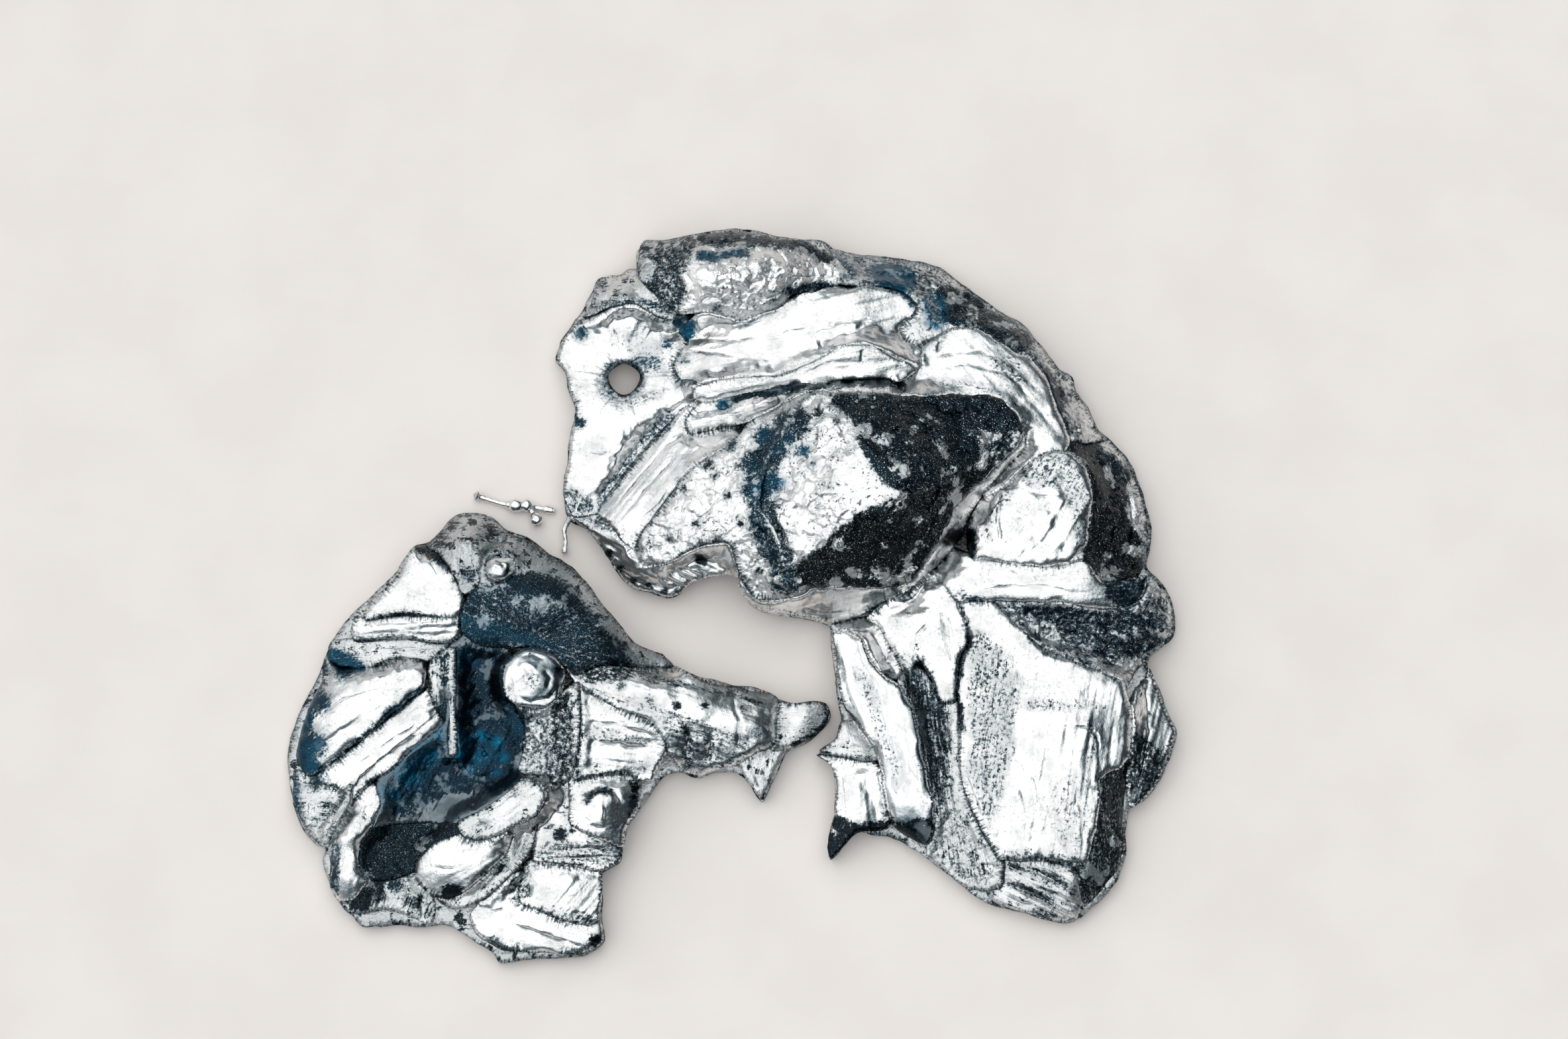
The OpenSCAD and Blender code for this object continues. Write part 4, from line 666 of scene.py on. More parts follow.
HOLE_RIM = np.array([(HOLE[0] + HOLE_REACH * (1 + 0.07 * math.sin(3 * turn)) * math.cos(turn),
                      HOLE[1] + HOLE_REACH * (1 + 0.05 * math.cos(4 * turn)) * math.sin(turn))
                     for turn in np.linspace(0, 2 * math.pi, 64)[:-1]])
right_puddle = flow("right_puddle", RIGHT_PUDDLE, [(-10, 20, PUDDLE_TOP), (30, 20, PUDDLE_TOP),
                                                   (10, -20, PUDDLE_TOP),
                    (10, 10, PUDDLE_TOP)], floor_z=0, radius=0.8, ripple=0.05, ragged=0.14,
                    hole=HOLE_RIM, pitch=0.24, seed=3)
settle(right_puddle, "right_casting", "right_puddle", dark_tin)
LEFT_PUDDLE = [(-25.2, 6.7), (-23.5, 7), (-21.8, 6.6), (-20.3, 5.4), (-18.5, 4.7), (-16.5, 3.2),
    (-14.6, 2), (-13.2, 0.6), (-12, -1.2), (-10.3, -3.2), (-8.8, -5), (-7.2, -5.9), (-6.4, -6.1),
    (-5.5, -7.1), (-3, -8.1), (0, -8.9), (2.5, -9.3), (4.2, -10.2), (5.5, -10.6), (7.2, -10.4),
    (8.2, -10.6), (8.6, -11.8), (8, -13), (6.6, -14.2), (5, -14.9), (4.2, -16.3), (3.4, -18),
    (2.6, -19.6), (1.9, -18.7), (0.8, -17.2), (-1, -16.8), (-3, -17.4), (-4.8, -16.9), (-6, -17.1),
    (-7, -18.4), (-8.3, -20.4), (-9.2, -21.8), (-9.6, -23.6), (-9.8, -24.9), (-11.5, -26), (-11.4, -28),
    (-11.4, -30), (-11.2, -31.9), (-11.8, -32.7), (-13, -33.3), (-15.5, -33.5), (-18, -33.6),
    (-20.2, -34), (-21, -33), (-23, -31.7), (-25, -30.6), (-27, -30.7), (-29.5, -30.6), (-32.3, -30.7),
    (-33.5, -29.6), (-34.9, -28), (-35.6, -26.5), (-36, -24.9), (-35.8, -23.8), (-36.6, -23.4),
    (-37.7, -22.3), (-38.4, -20.9), (-38.9, -19.3), (-39.2, -17.5), (-39.4, -15), (-39, -13),
    (-38.3, -11), (-37.3, -9), (-36.4, -6.5), (-35.8, -4.8), (-34.6, -3), (-33.1, -1.5), (-31.6, 0.1),
    (-30.4, 1.2), (-29.7, 2.3), (-28.7, 3.9), (-27.3, 4.3), (-26.3, 5.4)]
left_puddle = flow("left_puddle", LEFT_PUDDLE, [(-30, 0, PUDDLE_TOP), (-10, -10, PUDDLE_TOP),
                                                (-30, -25, PUDDLE_TOP),
                   (-12, -30, PUDDLE_TOP)], floor_z=0, radius=0.8, ripple=0.05, ragged=0.14, pitch=0.24,
                   seed=5)
settle(left_puddle, "left_casting", "left_puddle", dark_tin)


# Nugget: the tall crystal lump at the heart of the right casting, the last metal to freeze.
# Cast tin, broken into flat crystal faces; the west face is clean, the other two are brushed, and their black
# is painted shade and painted reflection for the faces turned from the light.
NUGGET = [(7.1, 18.3), (12, 18.2), (18, 18.1), (23.9, 17.9), (26.2, 14.5), (23.6, 11.4), (20.2, 7.8),
    (18.2, 4), (15.3, 0.3), (10, 0.1), (5.2, -0.2), (3.6, 0.6), (4.4, 2.6), (3.8, 5), (2.4, 7.6),
    (2.6, 10.4), (3.8, 13), (5, 15.6)]
NUGGET_HEIGHTS = [(7.2, 18, 10.6), (10.6, 14.4, 12.8), (14, 8.4, 13.7), (8, 12, 12.4), (5.6, 7, 11.4),
    (9, 5, 12), (24, 17.4, 7.6), (26, 14.4, 7.4), (18, 14, 10.2), (18, 10.5, 11.4), (20, 8, 8.6),
    (15.4, 1, 7.6), (10, 0.4, 8), (5, 0.4, 8.4), (18.4, 17.8, 8.2), (3.4, 10, 10.6), (4.6, 3, 10)]
NUGGET_LINES = (
    ([(10.5, 14.6), (11.5, 13), (14, 8.2)], -0.5, 0.5), ([(14, 8.2), (18, 9.5), (23, 13.5)], -0.3, 0.5),
    ([(3.4, 13), (2.6, 9), (3.4, 6), (4.8, 3), (5, 0.6)], 0.5, 0.3))
NUGGET_STAINS = (
    ([(8.6, 18), (10.8, 15.4), (12, 13.4), (13.6, 9.6), (17, 8.8), (21, 11), (25, 13.4), (27, 16),
     (24, 19), (14, 19.4)], 0.86, 0.05),
    ([(11, 14.4), (13.4, 10), (17, 10), (17, 13), (14, 15.4)], 0.85, 0.05),
    ([(14.4, 8.4), (11.4, 7), (9.2, 5.6), (8, 4), (6, 2.6), (5.2, -0.6), (15.6, -0.4), (19, 5),
     (24, 11.6), (26, 14), (19, 10)], 0.8, 0),
    ([(12.6, 7.6), (10.4, 6), (9, 3.6), (9.4, 0.2), (14.6, -0.2), (16.6, 3.4), (16, 7.4)], 0.95, 0),
    ([(6.4, 16.6), (4, 15), (2.4, 12.6), (1.6, 9.6), (2.4, 5.6), (3.6, 2.4), (4.4, -0.6), (6, -0.6),
     (5.4, 3), (4, 6.4), (3.8, 9.4), (5, 12.6), (7, 15)], 0.66, 0.12),
    ((5.8, 15.8, 1.3), 1, 0.1), ((4.4, 13.8, 1.4), 1, 0.35), ((3.2, 12.2, 1.4), 1, 0.2),
    ((3, 9.8, 1.4), 1, 0.45), ((3.6, 8, 0.9), 0.9, 0.1), ((6.2, 12.8, 0.8), 0.8, 0.5),
    ((3.2, 6.2, 0.7), 0.6, 0), ((4.4, 4, 0.7), 0.7, 0), ((5.2, 1.6, 0.9), 0.75, 0),
    ((3.5, 12.8, 0.5), 0.2, 1), ((4.3, 9.7, 0.5), 0.2, 1), ((6.5, 13, 0.4), 0.2, 0.9),
    ((7.6, 16.4, 0.8), 0.7, 0), ((9.2, 15.6, 0.6), 0.6, 0), ((7, 11.6, 0.5), 0.6, 0.3),
    ((8.6, 9.4, 0.5), 0.5, 0))
nugget = flow("nugget", NUGGET, NUGGET_HEIGHTS, seed=7, crystal=(0.42, 1.9), ripple=0.22, ragged=0.25,
    grain=(62, 0.5, 7, 0.14), fringe=0.3, marks=NUGGET_LINES, stains=NUGGET_STAINS)
settle(nugget, "right_casting", "nugget", crystal_tin)


# Lens fold: a bright lip that folded over itself just above the nugget.
# Cast tin; its surface is smooth, with a thin oxide line round the lens of the fold.
LENS_FOLD = [(4.2, 20), (6.5, 21), (8, 21.8), (10, 22.8), (12, 22.9), (14, 22.2), (15.6, 21.2),
    (16.6, 20.5), (15, 19.4), (13.4, 19.7), (11, 19.6), (8, 19.2), (5, 18.9), (2, 18.4), (0, 17.9),
    (-2, 17.4), (-3.6, 17.6), (-3.6, 18.8), (-1, 19.6), (2, 19.8)]
LENS_FOLD_HEIGHTS = [(-3.2, 18.4, 6), (2, 19.4, 7.4), (8, 21.6, 8.4), (12, 22.6, 8.8), (15.6, 20.8, 7.4),
    (12, 20.2, 7.9), (6, 19.4, 7.2), (9, 19.4, 7.4)]
LENS_FOLD_LINES = (
    ([(3.6, 19.9), (6, 20.8), (8, 21.8), (10, 22.8), (12, 22.9), (14, 22.2), (15.5, 21.2)], 0.3, 0.14),
    ([(11.8, 22.4), (11.6, 21.2)], 0.2, 0.12), ([(6, 20.2), (9, 21.2), (13, 21.4)], 0.12, 0.2))
LENS_FOLD_STAINS = (
    ([(5.8, 20.4), (8, 20.5), (11, 20.9), (14.4, 20.8), (13.6, 21.9), (11.6, 22.4), (9.4, 21.9),
     (7.4, 21)], 0.28, 0),)
lens_fold = flow("lens_fold", LENS_FOLD, LENS_FOLD_HEIGHTS, seed=14, under=("nugget",), ripple=0.05,
    grain=(12, 0.6, 6, 0.05), fringe=0.1, marks=LENS_FOLD_LINES, stains=LENS_FOLD_STAINS)
settle(lens_fold, "right_casting", "lens_fold", bright_tin)


# Crest lump: the high rounded lump at the back of the right casting.
# Cast tin, its skin pitted all over where the crystals pulled in.
CREST_LUMP = [(-8.4, 32.7), (-3.5, 33.4), (-1, 33.8), (2, 33.7), (4, 33.1), (8, 32.7), (9, 31.4),
    (11, 29.6), (9.5, 28.6), (7, 28.2), (5.2, 27.6), (4, 26.5), (1.8, 25.6), (0.5, 25.1), (-1, 25.6),
    (-3, 26), (-5.2, 25.9), (-6.8, 27), (-7.6, 28), (-8.8, 29.4), (-8.9, 31.8)]
CREST_LUMP_HEIGHTS = [(-8, 32.4, 4), (-8.2, 29.6, 5.4), (-4.6, 30.8, 8.2), (-2.6, 29.6, 9.3),
    (0.6, 29.6, 9.8), (4.4, 30.4, 9.2), (0.6, 26, 7.4), (-5, 28, 7.2), (0, 33.6, 5.4), (8, 32.4, 5),
    (10, 29.6, 6.4), (5.6, 28, 7), (1, 32, 8.4)]
CREST_LUMP_LINES = (
    ([(-7.4, 30.6), (-4.6, 30.2), (-3.6, 28)], 0.35, 0.35),
    ([(-3.3, 31), (-0.8, 31.8), (1, 31.6)], 0.3, 0.4), ([(4.6, 28.4), (6.4, 29.6), (8.8, 29.4)], 0.3, 0.3))
CREST_LUMP_STAINS = (
    ([(-9.2, 33), (-9.2, 29), (-7.4, 27), (-5, 25.6), (-4.4, 27.6), (-4.6, 29.6), (-3.6, 31.6),
     (-3.6, 33.8)], 0.6, 0.05),
    ((-7.5, 28.3, 0.9), 1, 0),
    ([(-3.5, 30.8), (-1, 31.2), (1.4, 31.4), (1, 32.2), (-1.2, 32.1), (-3.5, 31.7)], 0.8, 0.7),
    ([(-3.4, 33.8), (-3.2, 32.5), (1.2, 32.3), (4, 32.2), (8.6, 30.8), (9.2, 31.6), (4, 33.8), (0, 34.4)],
     0.88, 0.1),
    ([(4.4, 28.4), (5.2, 27.4), (9.4, 27.8), (9.6, 28.8), (7, 29)], 0.75, 0.1),
    ((-1.6, 26.3, 0.8), 0.6, 0.1), ((3.6, 27.4, 0.6), 0.5, 0.1))
crest_lump = flow("crest_lump", CREST_LUMP, CREST_LUMP_HEIGHTS, seed=21, crystal=(0.34, 1.1),
    ripple=0.28, ragged=0.2, radius=1.2, marks=CREST_LUMP_LINES, stains=CREST_LUMP_STAINS)
settle(crest_lump, "right_casting", "crest_lump", pitted_tin)


# Corner knob: a small dull knob at the back left corner, under the crest lump.
# Cast tin, grey with oxide.
CORNER_KNOB = [(-13.2, 26.6), (-12.6, 28.6), (-11.7, 29.4), (-10.5, 29.6), (-9.7, 30.2), (-8, 30),
    (-6, 27.5), (-5.2, 26), (-5.6, 25.2), (-7, 25.6), (-9, 26.8), (-11, 26.6), (-12.8, 25.8),
    (-13.8, 25.6)]
CORNER_KNOB_HEIGHTS = [(-12.4, 28.4, 3), (-10.4, 29.2, 3), (-10.4, 27.8, 5.4), (-6.4, 26.2, 5.2),
    (-13.4, 26, 3), (-8.6, 28, 4.6)]
CORNER_KNOB_LINES = (
    ([(-12.6, 27.4), (-10.4, 26.9), (-8, 27.4)], 0.3, 0.25),)
CORNER_KNOB_STAINS = (
    ([(-13.6, 25.6), (-12, 26.4), (-9, 26.8), (-6, 25.6), (-5.6, 26.4), (-9, 27.6), (-12, 27.2)], 0.6,
     0.15),
    ((-12.2, 28.6, 0.7), 0.6, 0.1))
corner_knob = flow("corner_knob", CORNER_KNOB, CORNER_KNOB_HEIGHTS, seed=28, under=("crest_lump",),
    crystal=(0.1, 0.5), ripple=0.18, ragged=0.12, marks=CORNER_KNOB_LINES, stains=CORNER_KNOB_STAINS)
settle(corner_knob, "right_casting", "corner_knob", satin_tin)


# Crest band: a smooth bright band poured along the front of the crest lump.
# Cast tin with long drawn lines that run in to the notch at its left end.
CREST_BAND = [(-5, 24.2), (-3.2, 26), (0.5, 26), (4, 27), (8, 28.6), (10.4, 28.4), (13, 28.6), (15.3, 28),
    (16.7, 26.7), (16.2, 25.6), (15, 24.6), (15.4, 23.4), (17, 22.6), (16.8, 20.7), (12, 21), (6.5, 20.2),
    (0, 19), (-4.8, 19.5), (-5.6, 20.8), (-5, 22.2), (-4.4, 23.2)]
CREST_BAND_HEIGHTS = [(-5, 21.6, 3.6), (-4, 24.4, 3.4), (0, 23, 6), (6, 25, 7.2), (11, 27.4, 7.2),
    (15.4, 27.2, 6), (15.4, 24, 5.8), (1, 20.2, 6), (8, 23, 7), (16.6, 22, 6.4), (-2.4, 20.4, 5.2)]
CREST_BAND_LINES = (
    ([(-4.6, 23.4), (-1, 23.2), (4, 23.8), (8, 25.2)], 0.14, 0.14),
    ([(-4.6, 22.6), (0, 21.8), (4, 21.6)], 0.18, 0.14), ([(-3, 25.2), (0, 24.8), (3, 25.6)], 0.16, 0.14),
    ([(6, 23.4), (10, 25), (14, 25.6)], 0.12, 0.14))
CREST_BAND_STAINS = (
    ([(-6.2, 25.4), (-6, 23.4), (-4.4, 23), (-3.6, 24), (-3.8, 25.4)], 0.75, 0.9),
    ((-4.6, 21.4, 0.7), 0.5, 0.3), ((-1, 21, 1.8), 0.2, 0), ((4, 23, 1.6), 0.16, 0),
    ((10, 24.4, 1.6), 0.2, 0), ((0, 25.4, 1.4), 0.24, 0.05),
    ([(13, 28.8), (15, 27.4), (16.2, 26.4), (17, 27), (16, 28.4)], 0.7, 0.4))
crest_band = flow("crest_band", CREST_BAND, CREST_BAND_HEIGHTS, seed=35, under=("crest_lump",
    "lens_fold"), ripple=0.10, grain=(14, 0.55, 9, 0.08), fringe=0.12, marks=CREST_BAND_LINES,
    stains=CREST_BAND_STAINS)
settle(crest_band, "right_casting", "crest_band", bright_tin)


# Nugget flank: a narrow grey ledge along the right foot of the nugget.
# Cast tin drawn out in close parallel lines.
NUGGET_FLANK = [(14.6, 0), (17, 4), (19.5, 8), (23, 12), (26, 14.6), (26.3, 13.2), (24.8, 11.4),
    (22.2, 8.4), (21, 6.4), (20.6, 5), (19.8, 3.9), (17.8, 1.6), (16.2, 0.2), (15.4, -0.8)]
NUGGET_FLANK_HEIGHTS = [(15.4, 0.4, 6), (19.6, 7, 7), (25.4, 14, 6.6), (21, 5.6, 5.4), (17, 1.4, 5),
    (24.6, 11.4, 5.6)]
NUGGET_FLANK_LINES = (
    ([(16, 1), (19.6, 5.6), (24, 11.4)], 0.1, 0.14), ([(17.6, 2), (21, 6.6)], 0.1, 0.14))
NUGGET_FLANK_STAINS = (
    ((20.4, 6.2, 0.8), 0.45, 0), ((24.6, 12.6, 1), 0.45, 0), ((18, 2.4, 0.8), 0.4, 0))
nugget_flank = flow("nugget_flank", NUGGET_FLANK, NUGGET_FLANK_HEIGHTS, seed=42, under=("nugget",),
    grain=(52, 0.3, 9, 0.14), ripple=0.06, fringe=0.15, marks=NUGGET_FLANK_LINES,
    stains=NUGGET_FLANK_STAINS)
settle(nugget_flank, "right_casting", "nugget_flank", bright_tin)


# Shoulder pad: a broad round pad on the right shoulder.
# Cast tin, bright on its crown and mottled grey where it meets the band behind.
SHOULDER_PAD = [(20.9, 5.6), (22.2, 8.2), (24.4, 9.6), (25.6, 10.9), (27, 12), (28.4, 12.8), (30.2, 12.6),
    (31.8, 11.2), (32.3, 9.2), (32.2, 7), (31.9, 5), (31.5, 3.6), (30.2, 2.2), (28, 1.9), (25.4, 2.1),
    (23, 2.5), (21.4, 2.7), (20.9, 3.8)]
SHOULDER_PAD_HEIGHTS = [(21.4, 4.4, 6.6), (24, 8.4, 7.2), (28.6, 12, 6.9), (31.6, 9.6, 6.9),
    (27.4, 7, 7.8), (23.8, 5, 7.4), (31.4, 4.6, 6.9), (26, 2.6, 7)]
SHOULDER_PAD_LINES = (
    ([(24, 9.2), (23.7, 6.6), (24, 3.8)], 0.3, 0.13), ([(25, 9.8), (27.6, 8.6), (30.6, 9)], 0.12, 0.2))
SHOULDER_PAD_STAINS = (
    ([(25.4, 10.6), (27, 9.4), (30, 9.2), (32, 10.4), (30.4, 12.6), (28, 12.8)], 0.4, 0.05),
    ([(29.4, 9.6), (32.2, 10), (32.4, 6), (31.6, 2.6), (30.2, 3), (30.4, 6.4)], 0.36, 0.05),
    ([(21.6, 5.4), (24, 9.4), (25.4, 9), (23.4, 5.6), (22.6, 3.6)], 0.36, 0),
    ([(20, 5.6), (20.2, 2.4), (21.6, 2.6), (21.5, 5.6)], 0.9, 0), ((31.6, 8.8, 0.9), 0.35, 0))
shoulder_pad = flow("shoulder_pad", SHOULDER_PAD, SHOULDER_PAD_HEIGHTS, seed=49,
    under=("nugget_flank",), ripple=0.26, radius=1.1, grain=(60, 0.6, 4, 0.10), crystal=(0.03, 0.9),
    fringe=0.1, marks=SHOULDER_PAD_LINES, stains=SHOULDER_PAD_STAINS)
settle(shoulder_pad, "right_casting", "shoulder_pad", bright_tin)


# Nugget west lump: the pitted lump that leans on the west side of the nugget.
# Cast tin, very bright, with small dark pits and a blue oxide seam against the nugget.
NUGGET_WEST = [(-8.9, 3.4), (-8.4, 5), (-7, 7), (-5.4, 9.4), (-3.6, 11.4), (-1.6, 12.7), (0.2, 14),
    (1.4, 15.6), (3.2, 16.6), (4.6, 17.4), (7.3, 18.4), (9, 12), (8, 4), (6.4, -0.4), (2, -1.1), (0.6, 1),
    (-0.6, 4.2), (-3.5, 3.6), (-6, 2.3), (-8.2, 2.1)]
NUGGET_WEST_HEIGHTS = [(-8.6, 3.6, 4.6), (-5, 8.6, 6.6), (-1, 11.6, 8.2), (4, 16.6, 8.6), (1, 8, 9.6),
    (3, 12, 9.8), (-4, 5.4, 7.4), (0.6, 3.4, 8.4), (3.4, 0.6, 7), (-6.4, 3.2, 5.6), (-2, 3.2, 7)]
NUGGET_WEST_LINES = (
    ([(-5, 5), (-2, 7.4), (0, 10.4)], 0.25, 0.3), ([(0, 4), (1.4, 7), (1.2, 11)], 0.25, 0.3))
NUGGET_WEST_STAINS = (
    ([(5.6, 16.8), (3.2, 15), (1, 12), (0.8, 9), (1.6, 5), (3, 1.8), (3.8, -0.6), (5.4, -0.6), (4.6, 3),
     (3, 7), (3, 10), (4.4, 13)], 0.66, 0.15),
    ((4.8, 15.4, 1.3), 1, 0.2), ((3, 14, 1.4), 1, 0.45), ((1.9, 11.6, 1.4), 1, 0.25),
    ((1.8, 9.2, 1.3), 1, 0.4), ((2.4, 6, 0.9), 0.9, 0.1), ((3.6, 3, 0.9), 0.9, 0),
    ((4.2, 0.4, 1.1), 0.9, 0), ((-0.4, 13.4, 0.8), 0.75, 0.2), ((-2.4, 11.6, 0.8), 0.7, 0),
    ((0.4, 11.4, 0.6), 0.7, 0.1), ((-4.6, 9.2, 0.6), 0.6, 0), ((2.2, 1.6, 0.7), 0.6, 0),
    ((-7.6, 4, 0.6), 0.5, 0), ((-3.4, 6, 0.5), 0.7, 0), ((-0.6, 8.6, 0.5), 0.7, 0), ((0.6, 6, 0.5), 0.7, 0),
    ((-5.8, 4.6, 0.5), 0.6, 0), ((-1.8, 10.4, 0.5), 0.6, 0))
nugget_west = flow("nugget_west", NUGGET_WEST, NUGGET_WEST_HEIGHTS, seed=56, under=("nugget",
    "lens_fold"), crystal=(0.3, 1.0), ripple=0.25, ragged=0.12, radius=0.9, grain=(48, 0.7, 5, 0.12),
    marks=NUGGET_WEST_LINES, stains=NUGGET_WEST_STAINS)
settle(nugget_west, "right_casting", "nugget_west", pitted_tin)


# Under-lens strip: a low dull strip in the shade of the lens fold.
# Cast tin, with painted shade along its back edge under the lens fold.
UNDER_LENS = [(-4.4, 15.6), (-3, 17.6), (0.2, 18.6), (6, 19.6), (12, 20), (14.6, 19.8), (15.4, 18.6),
    (14, 17.6), (9, 17.6), (6.5, 17.4), (4.5, 16.8), (1.5, 15.6), (-1, 15), (-4, 14.4)]
UNDER_LENS_HEIGHTS = [(-4, 15.2, 4.4), (-1, 16.4, 5), (4, 17.8, 5.4), (10, 18.8, 5.8), (14.6, 18.8, 5.8)]
UNDER_LENS_LINES = (
    ([(0, 17.6), (4, 18.4), (8, 18.8), (12, 19), (14.5, 19)], 0.3, 0.2),
    ([(-3, 16), (1, 16.6), (5, 17.6)], 0.2, 0.15))
UNDER_LENS_STAINS = (
    ([(-0.4, 17.4), (3, 18), (8, 18.6), (12, 19), (15.2, 18.8), (15, 20), (10, 20), (4, 19.4), (0, 18.6)],
     0.95, 0.1),
    ((-1, 17.2, 0.9), 0.7, 0.8))
under_lens = flow("under_lens", UNDER_LENS, UNDER_LENS_HEIGHTS, seed=63, under=("lens_fold", "nugget",
    "nugget_west"), grain=(12, 0.35, 8, 0.12), fringe=0.25, marks=UNDER_LENS_LINES,
    stains=UNDER_LENS_STAINS)
settle(under_lens, "right_casting", "under_lens", bright_tin)


# Flute: a long bright channel swept from the thin sheet down to the edge lip.
# Cast tin, smooth, with thin drawn lines along its outer side.
FLUTE = [(-12.2, 7), (-11.2, 8.9), (-9.8, 10.8), (-7.6, 13.6), (-5.6, 15.8), (-4.2, 17), (-1.6, 16.2),
    (2, 16.8), (3, 15), (0.6, 12.9), (-2.8, 10.6), (-4.6, 8.4), (-6.4, 6), (-7.8, 4.4), (-8.6, 3),
    (-9.8, 4), (-11, 5.6)]
FLUTE_HEIGHTS = [(-12, 7, 3), (-9.6, 10.4, 3.2), (-5.6, 15.4, 3.8), (-9.6, 6, 5), (-6, 11, 5.6),
    (-1.4, 15, 6.2), (-8.6, 3.8, 4.8), (-4.6, 9, 6.4), (0, 13, 7)]
FLUTE_LINES = (
    ([(-11, 7), (-9, 9.8), (-6.2, 13), (-3, 16)], 0.22, 0.14),
    ([(-10.4, 6), (-8, 9.2), (-4.6, 12.8)], 0.16, 0.12), ([(-9.2, 5), (-6.4, 8.6), (-3, 11.8)], 0.1, 0.12))
FLUTE_STAINS = (
    ([(0.2, 12.4), (2.4, 13.6), (4, 15.6), (3, 17), (0.4, 16.6), (-0.4, 15)], 0.4, 0),
    ([(-12.4, 6.4), (-10.6, 9), (-8, 12.4), (-5, 15.6), (-5.6, 16.4), (-9, 12.6), (-12, 9)], 0.52, 0.12))
flute = flow("flute", FLUTE, FLUTE_HEIGHTS, seed=70, under=("nugget_west", "under_lens", "lens_fold"),
    ripple=0.05, grain=(52, 0.5, 10, 0.09), radius=0.6, marks=FLUTE_LINES, stains=FLUTE_STAINS)
settle(flute, "right_casting", "flute", bright_tin)


# Holed sheet: the thin sheet at the left, left with a round hole where the metal drew back.
# Cast tin, bright, its edges fringed with dark blue oxide.
HOLED_SHEET = [(-13.9, 25.4), (-12.6, 25.7), (-11, 26.8), (-9, 27), (-6, 26), (-3.6, 25.6), (-3, 23),
    (-4, 20.6), (-2.6, 19), (-2.6, 17.4), (-5, 15.4), (-7.2, 13.4), (-9.6, 10.6), (-11, 8.8), (-12.2, 7),
    (-14.4, 6.6), (-15.2, 8.2), (-15.3, 10), (-14.9, 12), (-14.8, 14), (-14.3, 16.5), (-14.9, 18.5),
    (-15.3, 20.3), (-16, 21.3), (-15.8, 23), (-14.8, 24.4)]
HOLED_SHEET_HEIGHTS = [(-15.4, 21.4, 2.2), (-13.4, 24.8, 3), (-9.6, 25.4, 4.2), (-5.2, 24, 3),
    (-10, 19.6, 2.1), (-7, 21, 3.2), (-13, 19.4, 3), (-5, 18, 4.4), (-13, 14, 4), (-10, 14.6, 4.6),
    (-13.8, 9, 3), (-11, 9, 3), (-7.6, 14, 3.6), (-8, 17, 4.2)]
HOLED_SHEET_LINES = (
    ([(-9.6, 20.8), (-8.6, 21.6), (-7.4, 21.4)], 0.35, 0.25),
    ([(-12.4, 22.6), (-11.2, 21.6), (-10.8, 20.8)], 0.2, 0.2),
    ([(-13.6, 13), (-11.6, 12.4), (-9, 14.4)], 0.12, 0.2))
# The faint wide grey patches are painted soft shade.
HOLED_SHEET_STAINS = (
    ([(-12.2, 7), (-9.7, 10.4), (-7.6, 13.4), (-5, 16), (-5.8, 17), (-8.4, 14.4), (-10.4, 11.6),
     (-12.6, 8.6)], 0.5, 0.16),
    ([(-12.2, 20), (-11.6, 17.9), (-10, 17.5), (-8.4, 18.2), (-8, 19.8), (-6.4, 20.6), (-6.6, 21.6),
     (-8.4, 22.2), (-10, 21.7), (-11.6, 21.2)], 0.48, 0.35),
    ((-8, 15.6, 1.6), 0.22, 0), ((-14, 18.6, 1.4), 0.25, 0), ((-12.4, 13, 1.6), 0.2, 0),
    ((-8, 24.4, 1.4), 0.22, 0.05), ((-14, 24, 0.8), 0.85, 0.3), ((-14, 15.5, 0.7), 0.85, 0.3),
    ((-6.2, 23, 0.8), 0.6, 0.5), ((-4.6, 19.6, 0.9), 0.55, 0.25),
    ([(-14.4, 6.4), (-13, 6.6), (-12.6, 8), (-14.6, 9.6), (-15.6, 9)], 0.5, 0.1),
    ([(-11.8, 24.6), (-9, 24), (-6, 22), (-5.6, 20), (-8, 20), (-9.6, 22), (-11.6, 23)], 0.3, 0.03),
    ([(-12.6, 18), (-10, 16.6), (-7, 17.4), (-6, 18.6), (-8.4, 18.4), (-10, 17.6), (-12, 18.8)], 0.34,
     0.06))
holed_sheet = flow("holed_sheet", HOLED_SHEET, HOLED_SHEET_HEIGHTS, seed=77, under=("crest_lump",
    "corner_knob", "crest_band", "lens_fold", "under_lens", "flute"), ripple=0.16, radius=0.8,
    fan=(-10, 19.6), grain=(0, 0.4, 3, 0.08), hole=HOLE_RIM, marks=HOLED_SHEET_LINES,
    stains=HOLED_SHEET_STAINS)
settle(holed_sheet, "right_casting", "holed_sheet", bright_tin)


# Cross ridge: a bright ridge that runs across to the right rim below the shoulder pad.
# Cast tin, smooth, dark at its right end.
CROSS_RIDGE = [(17.9, 1.4), (19.6, 3.8), (21, 3.4), (23, 3), (26, 2.6), (29, 2.4), (31.4, 2.6), (33, 0.6),
    (35.4, 0.9), (37, 1.2), (36.6, -0.6), (35.4, -1.6), (33, -2), (31, -1.8), (29.8, -1.3), (28, -1.4),
    (25, -1.3), (21.6, -1.2), (20.3, -1.3), (19.6, -0.8), (18.8, 0.2)]
CROSS_RIDGE_HEIGHTS = [(18.6, 1.4, 5.8), (20, 0.4, 6.2), (24, 0.6, 7), (28, 0.4, 7), (32, -0.4, 6.4),
    (36, 0, 5), (24, -1, 6.2), (33, -1.8, 5.6), (24, 2.6, 7)]
CROSS_RIDGE_LINES = (
    ([(20.4, -0.4), (24, 0.2), (28, 0.2), (32, -0.6)], 0.12, 0.14),)
